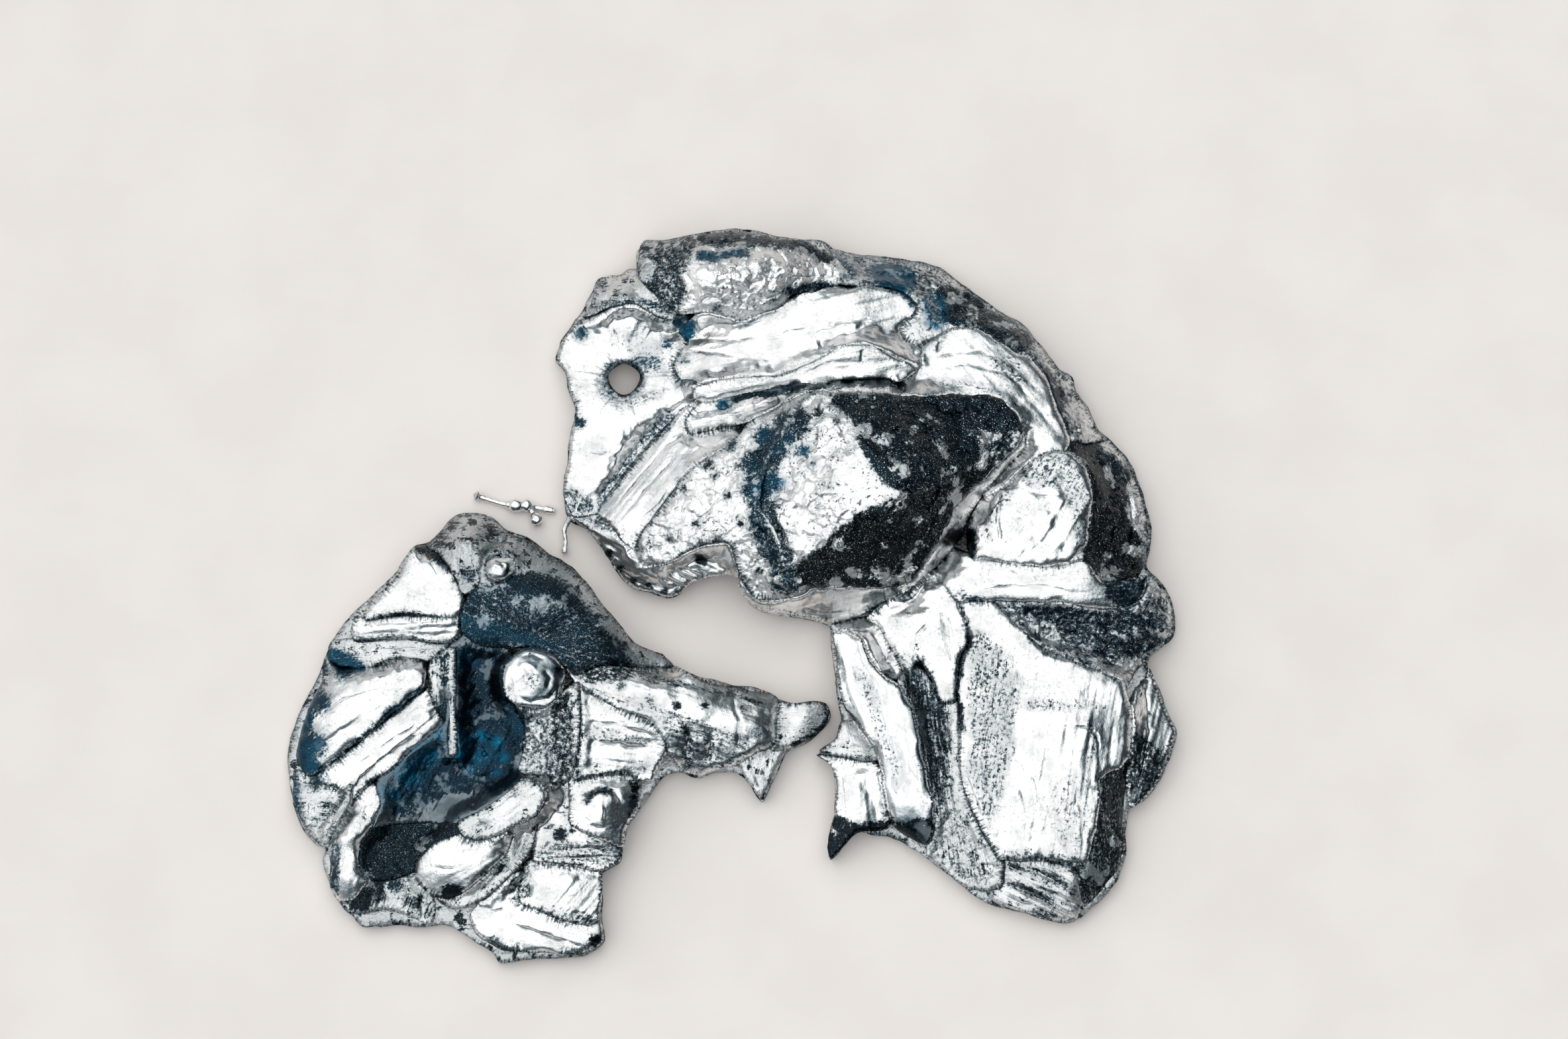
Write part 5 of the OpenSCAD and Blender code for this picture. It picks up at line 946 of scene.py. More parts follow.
CROSS_RIDGE_STAINS = (
    ([(33, 1.2), (35.6, 1.2), (37.4, 1.4), (36.6, -1), (34, -2)], 0.7, 0.1),
    ([(19.4, -0.6), (21.6, -1.4), (26, -1.6), (26, -1), (22, -0.7), (20.4, 0)], 0.5, 0.3))
cross_ridge = flow("cross_ridge", CROSS_RIDGE, CROSS_RIDGE_HEIGHTS, seed=84, under=("shoulder_pad",
    "nugget_flank"), ripple=0.08, grain=(4, 0.6, 7, 0.05), fringe=0.1, marks=CROSS_RIDGE_LINES,
    stains=CROSS_RIDGE_STAINS)
settle(cross_ridge, "right_casting", "cross_ridge", bright_tin)


# Shoulder band: a broad bright band that comes round the back of the nugget to the right rim.
# Cast tin with a rippled skin and a grey mottle on its crown.
SHOULDER_BAND = [(14.6, 19), (16.6, 20.6), (16.6, 22.6), (18.6, 23.8), (20, 24.5), (22.5, 24.4),
    (24, 23.2), (25.6, 22.3), (27, 21.6), (28.2, 20), (28.8, 18.2), (29.4, 16.4), (30, 15.4), (30.4, 14),
    (29.8, 12.6), (27.6, 11.6), (25, 9), (22.6, 8), (22.6, 12), (22, 16), (15, 18)]
SHOULDER_BAND_HEIGHTS = [(16, 20, 6.8), (20, 23.6, 6), (24, 22.4, 6), (28, 19.6, 5.8), (21, 20, 7),
    (26, 17.6, 6.8), (30, 14.4, 5.8), (27, 13, 6.6), (24.4, 10.4, 6.4), (28.6, 16, 6.2)]
SHOULDER_BAND_LINES = (
    ([(19.3, 24.3), (18.6, 23.2), (18.3, 22)], 0.3, 0.14),
    ([(18, 20.6), (21, 21), (24.6, 20.2), (27, 17.6)], 0.16, 0.14),
    ([(17.6, 21.6), (20.6, 22.4), (24, 21.8)], 0.12, 0.14))
SHOULDER_BAND_STAINS = (
    ([(23, 21.6), (24.2, 19.4), (26.4, 18.6), (26.8, 20.4), (25, 22)], 0.4, 0),
    ([(17, 18.6), (22, 18.2), (27, 15.6), (28, 16), (23, 19.2), (17.6, 19.6)], 0.35, 0))
shoulder_band = flow("shoulder_band", SHOULDER_BAND, SHOULDER_BAND_HEIGHTS, seed=91,
    under=("crest_band", "lens_fold", "under_lens", "nugget", "nugget_flank", "shoulder_pad"),
    ripple=0.14, grain=(-50, 0.6, 7, 0.07), radius=0.8, fringe=0.1, marks=SHOULDER_BAND_LINES,
    stains=SHOULDER_BAND_STAINS)
settle(shoulder_band, "right_casting", "shoulder_band", bright_tin)


# Rim roll: the dark rolled edge round the back right of the casting.
# Cast tin, crumpled and pitted, black and dark blue: partly oxide where it cooled against the table, partly
# painted shade on the side turned from the light.
RIM_ROLL = [(8.6, 32), (13, 31.1), (16.5, 30.7), (18.8, 30), (20.5, 28.7), (22, 27.5), (24, 25.9),
    (26, 24.8), (27.5, 23), (28.2, 22.1), (29.5, 20.3), (30.6, 19.4), (31, 18.2), (32, 16.8),
    (32.8, 14.8), (33.5, 13.8), (31.6, 13.6), (29, 14), (27, 18), (24, 21), (20, 23), (16, 22.4),
    (14, 25), (12, 28), (9, 29)]
RIM_ROLL_HEIGHTS = [(9.4, 31.4, 3.2), (13, 30.8, 3), (13.4, 29, 5.6), (18, 29.8, 3), (18, 26, 5.2),
    (22, 27.2, 3), (22.6, 25, 5), (26, 24.4, 3), (26.8, 22, 4.8), (30, 19.6, 2.8), (28.8, 18.6, 4.4),
    (32, 16.4, 2.6), (30.6, 15, 4.2)]
RIM_ROLL_LINES = (
    ([(9.6, 30.8), (13, 29.8), (16.6, 28.8), (18.6, 27)], 0.4, 0.35),
    ([(19, 28.4), (22, 26.6), (25, 24)], 0.3, 0.3), ([(28.4, 21), (29.2, 19), (30, 17)], 0.4, 0.2))
RIM_ROLL_STAINS = (
    ([(8, 31.4), (14, 31.4), (20, 29), (26, 25), (30, 18.6), (31.6, 14), (29, 14), (28, 18), (25, 22),
     (19, 25), (14, 27)], 0.5, 0.05),
    ((22, 27, 1.6), 0.85, 0.1), ((26.4, 23.4, 1.4), 0.85, 0.1), ((29.6, 18, 1.2), 0.85, 0.15),
    ((11, 30.6, 1.2), 0.8, 0.2),
    ([(12.4, 30.6), (13, 28.4), (15.6, 27.8), (16.8, 28.8), (16.2, 30.6)], 0.85, 0.7),
    ([(17.4, 28), (17.4, 24.6), (18.8, 24.2), (19, 27)], 0.5, 1),
    ([(18.4, 28.4), (18.8, 25.2), (21, 24.8), (21.4, 27), (20, 28.6)], 0.95, 0.1),
    ([(22, 26.4), (22.6, 23.8), (26.4, 22), (26.6, 24), (24, 26)], 0.9, 0.1),
    ([(28.2, 21.4), (28.2, 17), (29.8, 14.4), (30.4, 15), (29.6, 19)], 0.9, 0.1),
    ([(9, 32), (9.6, 29.4), (12, 29.4), (12, 31.4)], 0.5, 0.3))
rim_roll = flow("rim_roll", RIM_ROLL, RIM_ROLL_HEIGHTS, seed=98, under=("crest_lump", "crest_band",
    "lens_fold", "shoulder_band"), crystal=(0.4, 1.2), ripple=0.4, ragged=0.2, radius=1.3,
    marks=RIM_ROLL_LINES, stains=RIM_ROLL_STAINS)
settle(rim_roll, "right_casting", "rim_roll", pitted_tin)


# Right rim: the dark edge below the shoulder, facing right.
# Cast tin, painted dark as shade for its side turned from the light, with one clean oval spot that stayed
# bright.
RIM_RIGHT = [(28.6, 14.4), (32, 13.9), (33.8, 13.6), (35.2, 11.9), (36.3, 9.4), (36.9, 7.1), (37.2, 5.5),
    (37, 3.4), (36.8, 2), (35.8, 0.6), (33, 0), (30.4, 1), (30, 4), (31, 8), (30, 11.6)]
RIM_RIGHT_HEIGHTS = [(33.6, 13.2, 3), (36, 9, 2.6), (37, 5, 2.6), (31.6, 12.8, 5), (33, 9, 5.4),
    (33, 5, 5.4), (36, 2.6, 3.4), (32, 1.8, 5.4), (36.2, 7.6, 3.4)]
RIM_RIGHT_LINES = (
    ([(34.4, 12), (35.4, 9), (35.8, 5.6), (35.4, 3)], 0.3, 0.3),
    ([(36.1, 9.4), (36.4, 7.8), (36.2, 6.2)], -0.4, 0.5))
RIM_RIGHT_STAINS = (
    ([(31.6, 13.8), (33.8, 13), (36, 10.6), (37.4, 7), (38, 3), (37.2, 0), (36.6, 3), (36.8, 6),
     (36.9, 8.6), (35.8, 10.2), (35.4, 9)], 0.7, 0.1),
    ([(29, 14.4), (32.6, 13.6), (34.6, 12), (35.4, 9.4), (35.6, 6), (36.8, 4), (36.4, 1), (32, 0.4),
     (31.2, 4), (32, 8), (31, 11.6)], 0.92, 0))
rim_right = flow("rim_right", RIM_RIGHT, RIM_RIGHT_HEIGHTS, seed=105, under=("shoulder_pad",
    "cross_ridge", "rim_roll", "shoulder_band"), crystal=(0.3, 1.1), ripple=0.3, radius=1,
    marks=RIM_RIGHT_LINES, stains=RIM_RIGHT_STAINS)
settle(rim_right, "right_casting", "rim_right", pitted_tin)


# Apron: the wide bright sheet that hangs down the right side.
# Cast tin, smooth as a mirror, crossed by a few hairline laps and one wavy dark seam at its left edge.
APRON = [(19.8, -1.2), (23, -1), (27, -5), (32, -7.4), (34.6, -8.6), (35.3, -11), (35.4, -13),
    (35, -15.5), (34.2, -16.6), (32.5, -17.6), (32.3, -20), (31.8, -23), (30.8, -25.3), (27.5, -24.9),
    (23.4, -24.7), (22.4, -23), (21.4, -21), (20.4, -18.5), (20, -15.5), (20, -12.8), (19.8, -10),
    (20.2, -6.5), (20.9, -4.8), (20.5, -2.8)]
APRON_HEIGHTS = [(20.6, -3, 5.6), (23, -3, 5.9), (26, -7.4, 5.8), (33.6, -9.8, 5.2), (35, -13, 4.2),
    (27, -12, 5.8), (31, -13.4, 5.6), (31.6, -18, 4.8), (26, -20, 4.6), (24, -24.4, 3.6),
    (30.4, -24.8, 3.2), (21, -17, 4.8), (20.4, -10, 5.2), (34, -15.6, 4.2), (31.6, -22, 4)]
APRON_LINES = (
    ([(20.8, -13), (20.8, -17), (22, -21), (23.6, -24.6)], 0.16, 0.1),
    ([(21.8, -12), (22, -17), (23.6, -22)], 0.1, 0.1),
    ([(27.5, -12.5), (31.5, -12.9), (32.3, -13.6), (32.3, -16)], 0.18, 0.1),
    ([(30.2, -17), (30.6, -21), (30.8, -25)], 0.12, 0.1),
    ([(31.6, -17), (31.8, -20), (31.6, -23.6)], 0.12, 0.1),
    ([(24.6, -5.2), (25.2, -7.6), (25.6, -9.6)], 0.2, 0.2),
    ([(24.2, -15), (26.4, -17.4), (27.6, -21)], 0.1, 0.12),
    ([(24.6, -16), (25.6, -20), (26, -24)], 0.07, 0.1))
# The faint grey patches across the apron are painted soft shade.
APRON_STAINS = (
    ([(19.8, -1), (21, -3), (21.4, -4.8), (20.8, -6.5), (20.3, -9.5), (20.4, -11), (20.6, -13),
     (19.8, -13), (19.4, -10), (19.7, -6.5), (20.4, -4.8), (19.8, -3)], 0.95, 0),
    ([(21.4, -3.6), (24, -5), (25.4, -9), (25, -14), (24, -18), (22.6, -22), (21, -18), (20.8, -9)], 0.4,
     0.03),
    ([(25.6, -10), (30, -10.2), (33.4, -10.4), (33.2, -11.4), (30, -11.2), (26, -11.4)], 0.38, 0.03),
    ([(31.4, -11.4), (32.4, -13), (32, -16), (31.4, -16), (31.4, -13)], 0.4, 0.05),
    ([(28, -18), (31.4, -17), (31.4, -23), (29.6, -24.6), (28, -22)], 0.3, 0), ((28, -14.6, 2), 0.2, 0),
    ((30.4, -20, 1.6), 0.22, 0), ((26, -22.4, 1.6), 0.2, 0),
    ([(24, -23.8), (28, -23.8), (30.8, -24.2), (30.6, -25.6), (24, -25.2)], 0.4, 0))
apron = flow("apron", APRON, APRON_HEIGHTS, seed=112, under=("cross_ridge",), ripple=0.16, grain=(80,
    0.5, 9, 0.10), radius=0.9, marks=APRON_LINES, stains=APRON_STAINS)
settle(apron, "right_casting", "apron", bright_tin)


# Dark flank: the crumpled shady side between the cross ridge and the apron.
# Cast tin with oxide flecks; its heavy dark stains are painted shade for the side turned from the light.
DARK_FLANK = [(20.6, -1.2), (24, -0.6), (30, -0.8), (36, -0.4), (37.2, 0.6), (38, 0.2), (38.9, -1.2),
    (39.1, -3), (38.9, -4.3), (38.1, -5.2), (37, -6.3), (36.2, -7.2), (35.4, -8.4), (34.8, -9.6),
    (34, -9), (31, -8.4), (28.5, -7.8), (26.6, -6.8), (25.4, -6.4), (24, -4.8), (22.6, -2.4)]
DARK_FLANK_HEIGHTS = [(20.8, -1.4, 4.6), (25, -3, 4.8), (30, -3.6, 4.8), (35, -2.6, 5), (37.6, -1, 4),
    (38.8, -3, 2.6), (36.4, -6.4, 3), (31, -8, 4.6), (26, -6.2, 4.8), (33, -5.6, 4)]
DARK_FLANK_LINES = (
    ([(23, -3.4), (28, -4.8), (33, -6)], 0.35, 0.3), ([(28, -2.6), (33, -3.4), (37, -3.6)], 0.3, 0.3))
DARK_FLANK_STAINS = (
    ([(20.8, -1), (23, -2.6), (26.6, -5), (31, -7.4), (36, -7), (38.8, -4), (38.4, -0.6), (30, -1.4)],
     0.5, 0.05),
    ([(23, -1.6), (30, -1.6), (36, -2), (38.8, -3), (38, -6), (33, -6.6), (29, -4), (26, -2.6)], 0.66,
     0.08),
    ((22, -1.6, 0.9), 0.3, 1))
dark_flank = flow("dark_flank", DARK_FLANK, DARK_FLANK_HEIGHTS, seed=119, under=("cross_ridge",
    "rim_right", "apron"), crystal=(0.34, 1.1), ripple=0.4, ragged=0.12, grain=(-22, 0.5, 4, 0.2),
    marks=DARK_FLANK_LINES, stains=DARK_FLANK_STAINS)
settle(dark_flank, "right_casting", "dark_flank", pitted_tin)


# Neck pad: the bright pad where the nugget, the bar and the apron meet.
# Cast tin with one grey crease.
NECK_PAD = [(14.6, -0.8), (16, 0.6), (17.8, 1.8), (19.4, 0.8), (20.2, -1), (21, -3), (21, -5),
    (20.4, -6.4), (20, -9), (19.8, -10.4), (18.4, -10.6), (17.6, -8.6), (16.6, -6.8), (15.6, -8.2),
    (14.4, -6.6), (13.6, -5), (13, -3.6), (11.8, -2.8), (13, -1.6)]
NECK_PAD_HEIGHTS = [(16, 0, 5.4), (18.6, 0, 5.8), (20.4, -3.6, 5), (13.4, -3, 4.4), (16.4, -3.6, 5.8),
    (18.4, -6, 5.6), (19.4, -10, 4.8), (15.2, -7.4, 4.2)]
NECK_PAD_LINES = (
    ([(16.5, -8), (16.2, -6), (16.3, -4.5), (18, -2.5)], 0.25, 0.2),
    ([(13.4, -2.6), (15.4, -2), (17.6, -0.6)], 0.14, 0.14))
NECK_PAD_STAINS = (
    ((16.3, -5.4, 0.8), 0.4, 0), ((14.6, -3.4, 1.4), 0.26, 0), ((18.8, -6, 1.4), 0.22, 0),
    ([(14, -7), (15.6, -8.4), (16.4, -7), (15.4, -5.6)], 0.35, 0))
neck_pad = flow("neck_pad", NECK_PAD, NECK_PAD_HEIGHTS, seed=126, under=("apron", "cross_ridge",
    "nugget_flank", "nugget"), ripple=0.10, radius=0.9, grain=(100, 0.6, 5, 0.05),
    marks=NECK_PAD_LINES, stains=NECK_PAD_STAINS)
settle(neck_pad, "right_casting", "neck_pad", bright_tin)


# Nugget skirt: a low wall of metal round the front foot of the nugget.
# Cast tin, grey, with fine upright lines and a bright smear to the right.
NUGGET_SKIRT = [(0.4, 0.6), (3, 1.5), (8, 1.5), (15.6, 1), (15.2, -0.6), (13, -1.6), (10.5, -2.9),
    (8.6, -3.4), (6.5, -2.9), (4, -2.6), (2.2, -2), (1, -0.9)]
NUGGET_SKIRT_HEIGHTS = [(2, 0, 6.4), (8, 0.4, 6.4), (15, 0.4, 6), (2.2, -1.8, 3.4), (8.6, -3, 3),
    (13, -1.4, 4)]
NUGGET_SKIRT_LINES = (
    ([(1.4, -0.6), (4, -1.6), (8, -2.2), (11.6, -1.8)], 0.14, 0.14),)
NUGGET_SKIRT_STAINS = (
    ([(7, -0.6), (9, 0.4), (14, 0.6), (14.6, -0.2), (11, -0.2)], 0.3, 0),
    ([(0.8, -0.6), (3, -1.8), (8, -2.6), (9, -3.4), (4, -2.8), (1, -1.4)], 0.5, 0))
nugget_skirt = flow("nugget_skirt", NUGGET_SKIRT, NUGGET_SKIRT_HEIGHTS, seed=133, under=("nugget",
    "nugget_west", "neck_pad"), grain=(86, 0.28, 5, 0.10), ripple=0.05, fringe=0.15,
    marks=NUGGET_SKIRT_LINES, stains=NUGGET_SKIRT_STAINS)
settle(nugget_skirt, "right_casting", "nugget_skirt", bright_tin)


# Bar: the long smooth bar that drops from the nugget toward the front.
# Cast tin, bright and rounded, with a dark hem at its foot.
BAR = [(8.8, -4.2), (10, -3.9), (11.4, -4.6), (12.2, -6.4), (13.4, -8), (14.8, -9), (16, -11),
    (16.6, -14), (17.4, -18), (17.8, -21), (17.2, -23.4), (15.2, -22.6), (13.8, -21.4), (13.3, -19),
    (13, -16.5), (12.2, -14.2), (11, -12.6), (9.9, -11), (9.2, -8.4), (8.8, -6)]
BAR_HEIGHTS = [(9.2, -4.6, 3.6), (10.8, -5.4, 4.8), (12, -9.6, 5.4), (14, -14, 5.4), (15.4, -19, 4.8),
    (15.4, -22, 2.8), (9.4, -8.6, 3.8), (13.4, -17, 4), (16.8, -18, 4.4)]
BAR_LINES = (
    ([(10.4, -5), (12, -9.6), (13.8, -13.6), (15, -19)], -0.12, 0.5),
    ([(9.4, -6), (9.8, -9.4), (11.4, -12)], 0.12, 0.14))
BAR_STAINS = (
    ((11.2, -8.3, 0.6), 0.5, 0),
    ([(10.4, -6.6), (12, -7.4), (13.6, -12), (15, -16.6), (14.4, -19), (13, -15), (11.4, -10.6)], 0.34,
     0.05),
    ([(13, -21), (15, -21.4), (17.6, -21), (17.8, -23.8), (14, -22.6)], 0.85, 0),
    ([(16.4, -13), (17.2, -17), (17.8, -21), (17, -21), (16.2, -17)], 0.35, 0))
bar = flow("bar", BAR, BAR_HEIGHTS, seed=140, under=("neck_pad",), ripple=0.06, radius=1.1, grain=(105,
    0.7, 9, 0.06), fringe=0.2, marks=BAR_LINES, stains=BAR_STAINS)
settle(bar, "right_casting", "bar", mirror_tin)


# Fold seam: the dark crumpled seam between the bar and the apron.
# Cast tin, dark and crumpled, with one bright strip along its right side.
FOLD_SEAM = [(14.6, -8.4), (16, -7), (18.4, -9), (20.2, -10), (20.4, -16), (21, -19), (22, -22),
    (23.8, -25), (23.5, -27.2), (22, -27.6), (20.6, -27.3), (18.6, -25.7), (17, -24.2), (17.4, -20.6),
    (17.2, -18.5), (16.4, -15.4), (15.7, -12.6), (15, -9.8)]
FOLD_SEAM_HEIGHTS = [(16, -8.4, 4), (19.2, -11, 4.4), (19.6, -17, 4), (17.6, -17, 2.8), (20.4, -22, 3.2),
    (18, -23.6, 2.2), (22.6, -26, 2.4), (16.6, -12, 3.2)]
FOLD_SEAM_LINES = (
    ([(17, -10), (18.2, -14), (18.6, -19), (20, -24)], 0.35, 0.3),
    ([(19.4, -11), (19.8, -16), (20.8, -20.6), (22.4, -25)], -0.3, 0.3))
FOLD_SEAM_STAINS = (
    ([(15.6, -8.6), (18.6, -9.6), (19, -13), (19.2, -17), (20.4, -21), (22, -25.4), (22.8, -27.4),
     (19, -26), (17, -23.6), (16.8, -18), (15.6, -12)], 0.34, 0),
    ([(15, -6), (17.4, -6.4), (19, -9), (19.2, -14), (19, -18), (18, -21), (16.6, -18), (15.4, -12)],
     0.62, 0.05))
fold_seam = flow("fold_seam", FOLD_SEAM, FOLD_SEAM_HEIGHTS, seed=147, under=("apron", "neck_pad",
    "bar"), crystal=(0.16, 0.6), ripple=0.25, ragged=0.12, grain=(97, 0.35, 5, 0.2),
    marks=FOLD_SEAM_LINES, stains=FOLD_SEAM_STAINS)
settle(fold_seam, "right_casting", "fold_seam", satin_tin)


# Bar cuff: a grey collar round the top of the bar, next to the neck pad.
# Cast tin, dull.
BAR_CUFF = [(8.8, -3.4), (10.4, -3), (12, -2.6), (13.4, -3.4), (14.4, -5.2), (15.2, -7), (14.8, -8.6),
    (13, -8), (11.6, -6), (10.4, -4.4), (9, -4.4)]
BAR_CUFF_HEIGHTS = [(9.2, -3.8, 2.8), (12, -3.4, 3.6), (14.4, -7.4, 3.6)]
BAR_CUFF_LINES = (
    ([(9.4, -3.8), (12, -4), (14, -6.4)], 0.2, 0.16),)
BAR_CUFF_STAINS = (
    ((13.4, -6.6, 1.2), 0.35, 0), ((9.4, -3.8, 0.7), 0.3, 0))
bar_cuff = flow("bar_cuff", BAR_CUFF, BAR_CUFF_HEIGHTS, seed=154, under=("bar", "neck_pad",
    "nugget_skirt", "fold_seam"), ripple=0.08, grain=(60, 0.35, 5, 0.10), fringe=0.2,
    marks=BAR_CUFF_LINES, stains=BAR_CUFF_STAINS)
settle(bar_cuff, "right_casting", "bar_cuff", bright_tin)


# Lens pad: a small pale pad beside the bar, shaped like a lens.
# Cast tin.
LENS_PAD = [(9.6, -12.2), (10.8, -12.2), (12, -13.4), (13, -15.6), (11.6, -15.9), (9.8, -15.5),
    (8.4, -15.2), (7.6, -14.9), (9, -13.8)]
LENS_PAD_HEIGHTS = [(10.4, -12.6, 2.6), (10.4, -14, 3.2), (8.2, -14.9, 2), (12, -15.2, 3)]
LENS_PAD_LINES = (
    ([(7.4, -14.9), (9.6, -14.2), (12, -14.6)], 0.14, 0.14),)
LENS_PAD_STAINS = (
    ((6.8, -14.9, 0.6), 0.9, 0), ((12, -15.4, 0.8), 0.4, 0))
lens_pad = flow("lens_pad", LENS_PAD, LENS_PAD_HEIGHTS, seed=161, under=("bar",), ripple=0.05,
    radius=0.45, marks=LENS_PAD_LINES, stains=LENS_PAD_STAINS)
settle(lens_pad, "right_casting", "lens_pad", satin_tin)


# Hook fin: the thin hooked fin at the front left of the right casting.
# Cast tin, bright, with a dark hem and a dark tip.
HOOK_FIN = [(7.4, -15.3), (8.4, -15.2), (9.8, -15.2), (12.4, -15.4), (13.4, -18), (13.8, -20.6),
    (13.6, -22), (11.6, -22.2), (10.8, -22.4), (9.8, -23.4), (8.6, -24.6), (8.3, -23.5), (8.9, -20.6),
    (9, -18), (8.6, -16.2)]
HOOK_FIN_HEIGHTS = [(8, -15.5, 2.2), (9, -18, 2.6), (10.8, -18, 3.8), (12.8, -19, 2.8), (10.6, -21.4, 3),
    (8.6, -24.2, 1.8), (12.6, -21.8, 2.2)]
HOOK_FIN_LINES = (
    ([(9.4, -16.4), (10, -19), (10, -22)], 0.14, 0.14), ([(12.6, -16), (13, -19), (12.6, -21.4)], 0.2, 0.2))
HOOK_FIN_STAINS = (
    ([(8.6, -20.8), (11, -21.4), (13.8, -21.2), (13.8, -22.6), (11, -22.8), (9.8, -23.8)], 0.85, 0),
    ([(7.8, -22.2), (9.8, -22.6), (9.6, -24), (9, -25.2), (8, -25)], 0.9, 0))
hook_fin = flow("hook_fin", HOOK_FIN, HOOK_FIN_HEIGHTS, seed=168, under=("bar", "lens_pad"),
    ripple=0.08, radius=0.5, grain=(95, 0.45, 6, 0.06), marks=HOOK_FIN_LINES, stains=HOOK_FIN_STAINS)
settle(hook_fin, "right_casting", "hook_fin", bright_tin)


# Side fold: a narrow dark fold tucked under the right edge of the apron.
# Cast tin, painted black as shade under the edge of the apron.
SIDE_FOLD = [(31.6, -17), (34, -15.6), (34.6, -18), (34.3, -21.5), (34.4, -23.5), (33.6, -26.2),
    (32.2, -28), (30.8, -28.8), (30.4, -27), (30.2, -24)]
SIDE_FOLD_HEIGHTS = [(32.6, -17.6, 4.4), (34.2, -18, 2.4), (34, -24, 2), (31.6, -24, 3), (31.4, -28, 1.8)]
SIDE_FOLD_LINES = (
    ([(33.4, -17), (33.4, -21), (32.6, -25)], 0.3, 0.25),)
SIDE_FOLD_STAINS = (
    ([(31.4, -16.8), (34.8, -15.4), (35, -21), (34.2, -26), (31.4, -29.2), (30, -27)], 0.7, 0),)
side_fold = flow("side_fold", SIDE_FOLD, SIDE_FOLD_HEIGHTS, seed=175, under=("apron",), ripple=0.12,
    grain=(95, 0.4, 6, 0.12), marks=SIDE_FOLD_LINES, stains=SIDE_FOLD_STAINS)
settle(side_fold, "right_casting", "side_fold", dark_tin)


# Toe: the front foot of the apron.
# Cast tin drawn into close slanting stripes, bright and black by turns.
TOE = [(22, -25.4), (23.4, -24.4), (27.5, -24.4), (31, -24.6), (31.2, -28.6), (30, -29.9), (29, -30.3),
    (27, -29.9), (24.5, -29.1), (23, -28.6), (22, -27.4)]
TOE_HEIGHTS = [(24, -25.2, 3), (29.6, -25.6, 3.2), (27, -27, 3.2), (29, -29.8, 1.8), (24.4, -28.8, 1.8),
    (22.4, -27, 2)]
TOE_LINES = (
    ([(23.4, -25.4), (26, -26), (28.6, -27.4)], 0.35, 0.2),
    ([(23.2, -26.4), (25.6, -27.2), (27.8, -28.6)], 0.35, 0.2),
    ([(25.4, -25.2), (28, -25.8), (30, -26.8)], 0.35, 0.2),
    ([(24, -28), (26.4, -28.8), (28, -29.6)], 0.3, 0.2),
    ([(28, -24.8), (30, -25.2), (31, -25.8)], 0.3, 0.16))
TOE_STAINS = (
    ([(23.6, -24.8), (27, -25.4), (29.6, -26.8), (29.2, -27.4), (26.4, -26.2), (23.6, -25.6)], 0.66, 0),
    ([(23.4, -26.4), (26.4, -27), (28.4, -28.4), (27.8, -29), (25.6, -27.8)], 0.7, 0),
    ([(27, -24.8), (30.4, -25.2), (31, -26.6), (29, -25.8)], 0.62, 0),
    ([(25, -28.6), (27, -29.2), (28.6, -29.6), (27.6, -30.2)], 0.6, 0))
toe = flow("toe", TOE, TOE_HEIGHTS, seed=182, under=("apron", "side_fold", "fold_seam"), ripple=0.12,
    grain=(-28, 0.42, 5, 0.34), radius=0.8, ragged=0.14, fringe=0.3, marks=TOE_LINES, stains=TOE_STAINS)
settle(toe, "right_casting", "toe", satin_tin)


# Back flake: a thin flake that stands out from the right side.
# Cast tin, pale above and dark and striped below.
BACK_FLAKE = [(36.5, -8.4), (37, -7.4), (37.7, -8.9), (38.5, -11.4), (39.2, -13.2), (38.7, -14.8),
    (38, -16.5), (37.2, -18.2), (36.3, -19.3), (35.1, -20.1), (34.7, -18.8), (34.6, -16), (35.2, -13),
    (35.2, -10.6), (35.6, -9.4)]
BACK_FLAKE_HEIGHTS = [(36.8, -8, 2), (36, -11, 3), (39, -13.2, 2.2), (36.2, -15, 3.2), (37, -18, 2),
    (35.2, -19.8, 1.8)]
BACK_FLAKE_LINES = (
    ([(36.6, -9), (36.8, -13), (36, -18)], 0.25, 0.2),)
BACK_FLAKE_STAINS = (
    ([(34.6, -13.6), (36.4, -13.4), (38.6, -15.4), (37, -18.6), (35, -20.4), (34.4, -18)], 0.62, 0),
    ([(36, -8), (37, -7.8), (36.6, -10), (35.6, -10.6)], 0.5, 0))
back_flake = flow("back_flake", BACK_FLAKE, BACK_FLAKE_HEIGHTS, seed=189, under=("apron", "side_fold",
    "dark_flank"), ripple=0.08, grain=(75, 0.35, 5, 0.12), radius=0.45, fringe=0.3,
    marks=BACK_FLAKE_LINES, stains=BACK_FLAKE_STAINS)
settle(back_flake, "right_casting", "back_flake", bright_tin)


# Edge lip: the crimped lip under the flute, above the gap between the castings.
# Cast tin drawn into grey strands, with a beaded rim, dark and bright by turns.
EDGE_LIP = [(-14.4, 6.6), (-12.6, 7.4), (-10.6, 6.4), (-9, 4), (-7.4, 3), (-5, 3.2), (-3, 4.2), (0, 4.4),
    (1, 2.4), (0.4, 1), (-0.4, 1.2), (-2.6, 0.9), (-4, 0.3), (-4.9, -0.6), (-6, -0.8), (-7.6, -0.3),
    (-9.2, 0.1), (-10.4, 1.5), (-11.8, 3.6), (-13.2, 5.4)]
EDGE_LIP_HEIGHTS = [(-14, 6.6, 2.2), (-11, 5.2, 3.6), (-9, 1.2, 2.4), (-6, 1.6, 3.6), (-5, -0.4, 2.2),
    (-2.6, 2.8, 4), (0, 1.8, 3.4)]
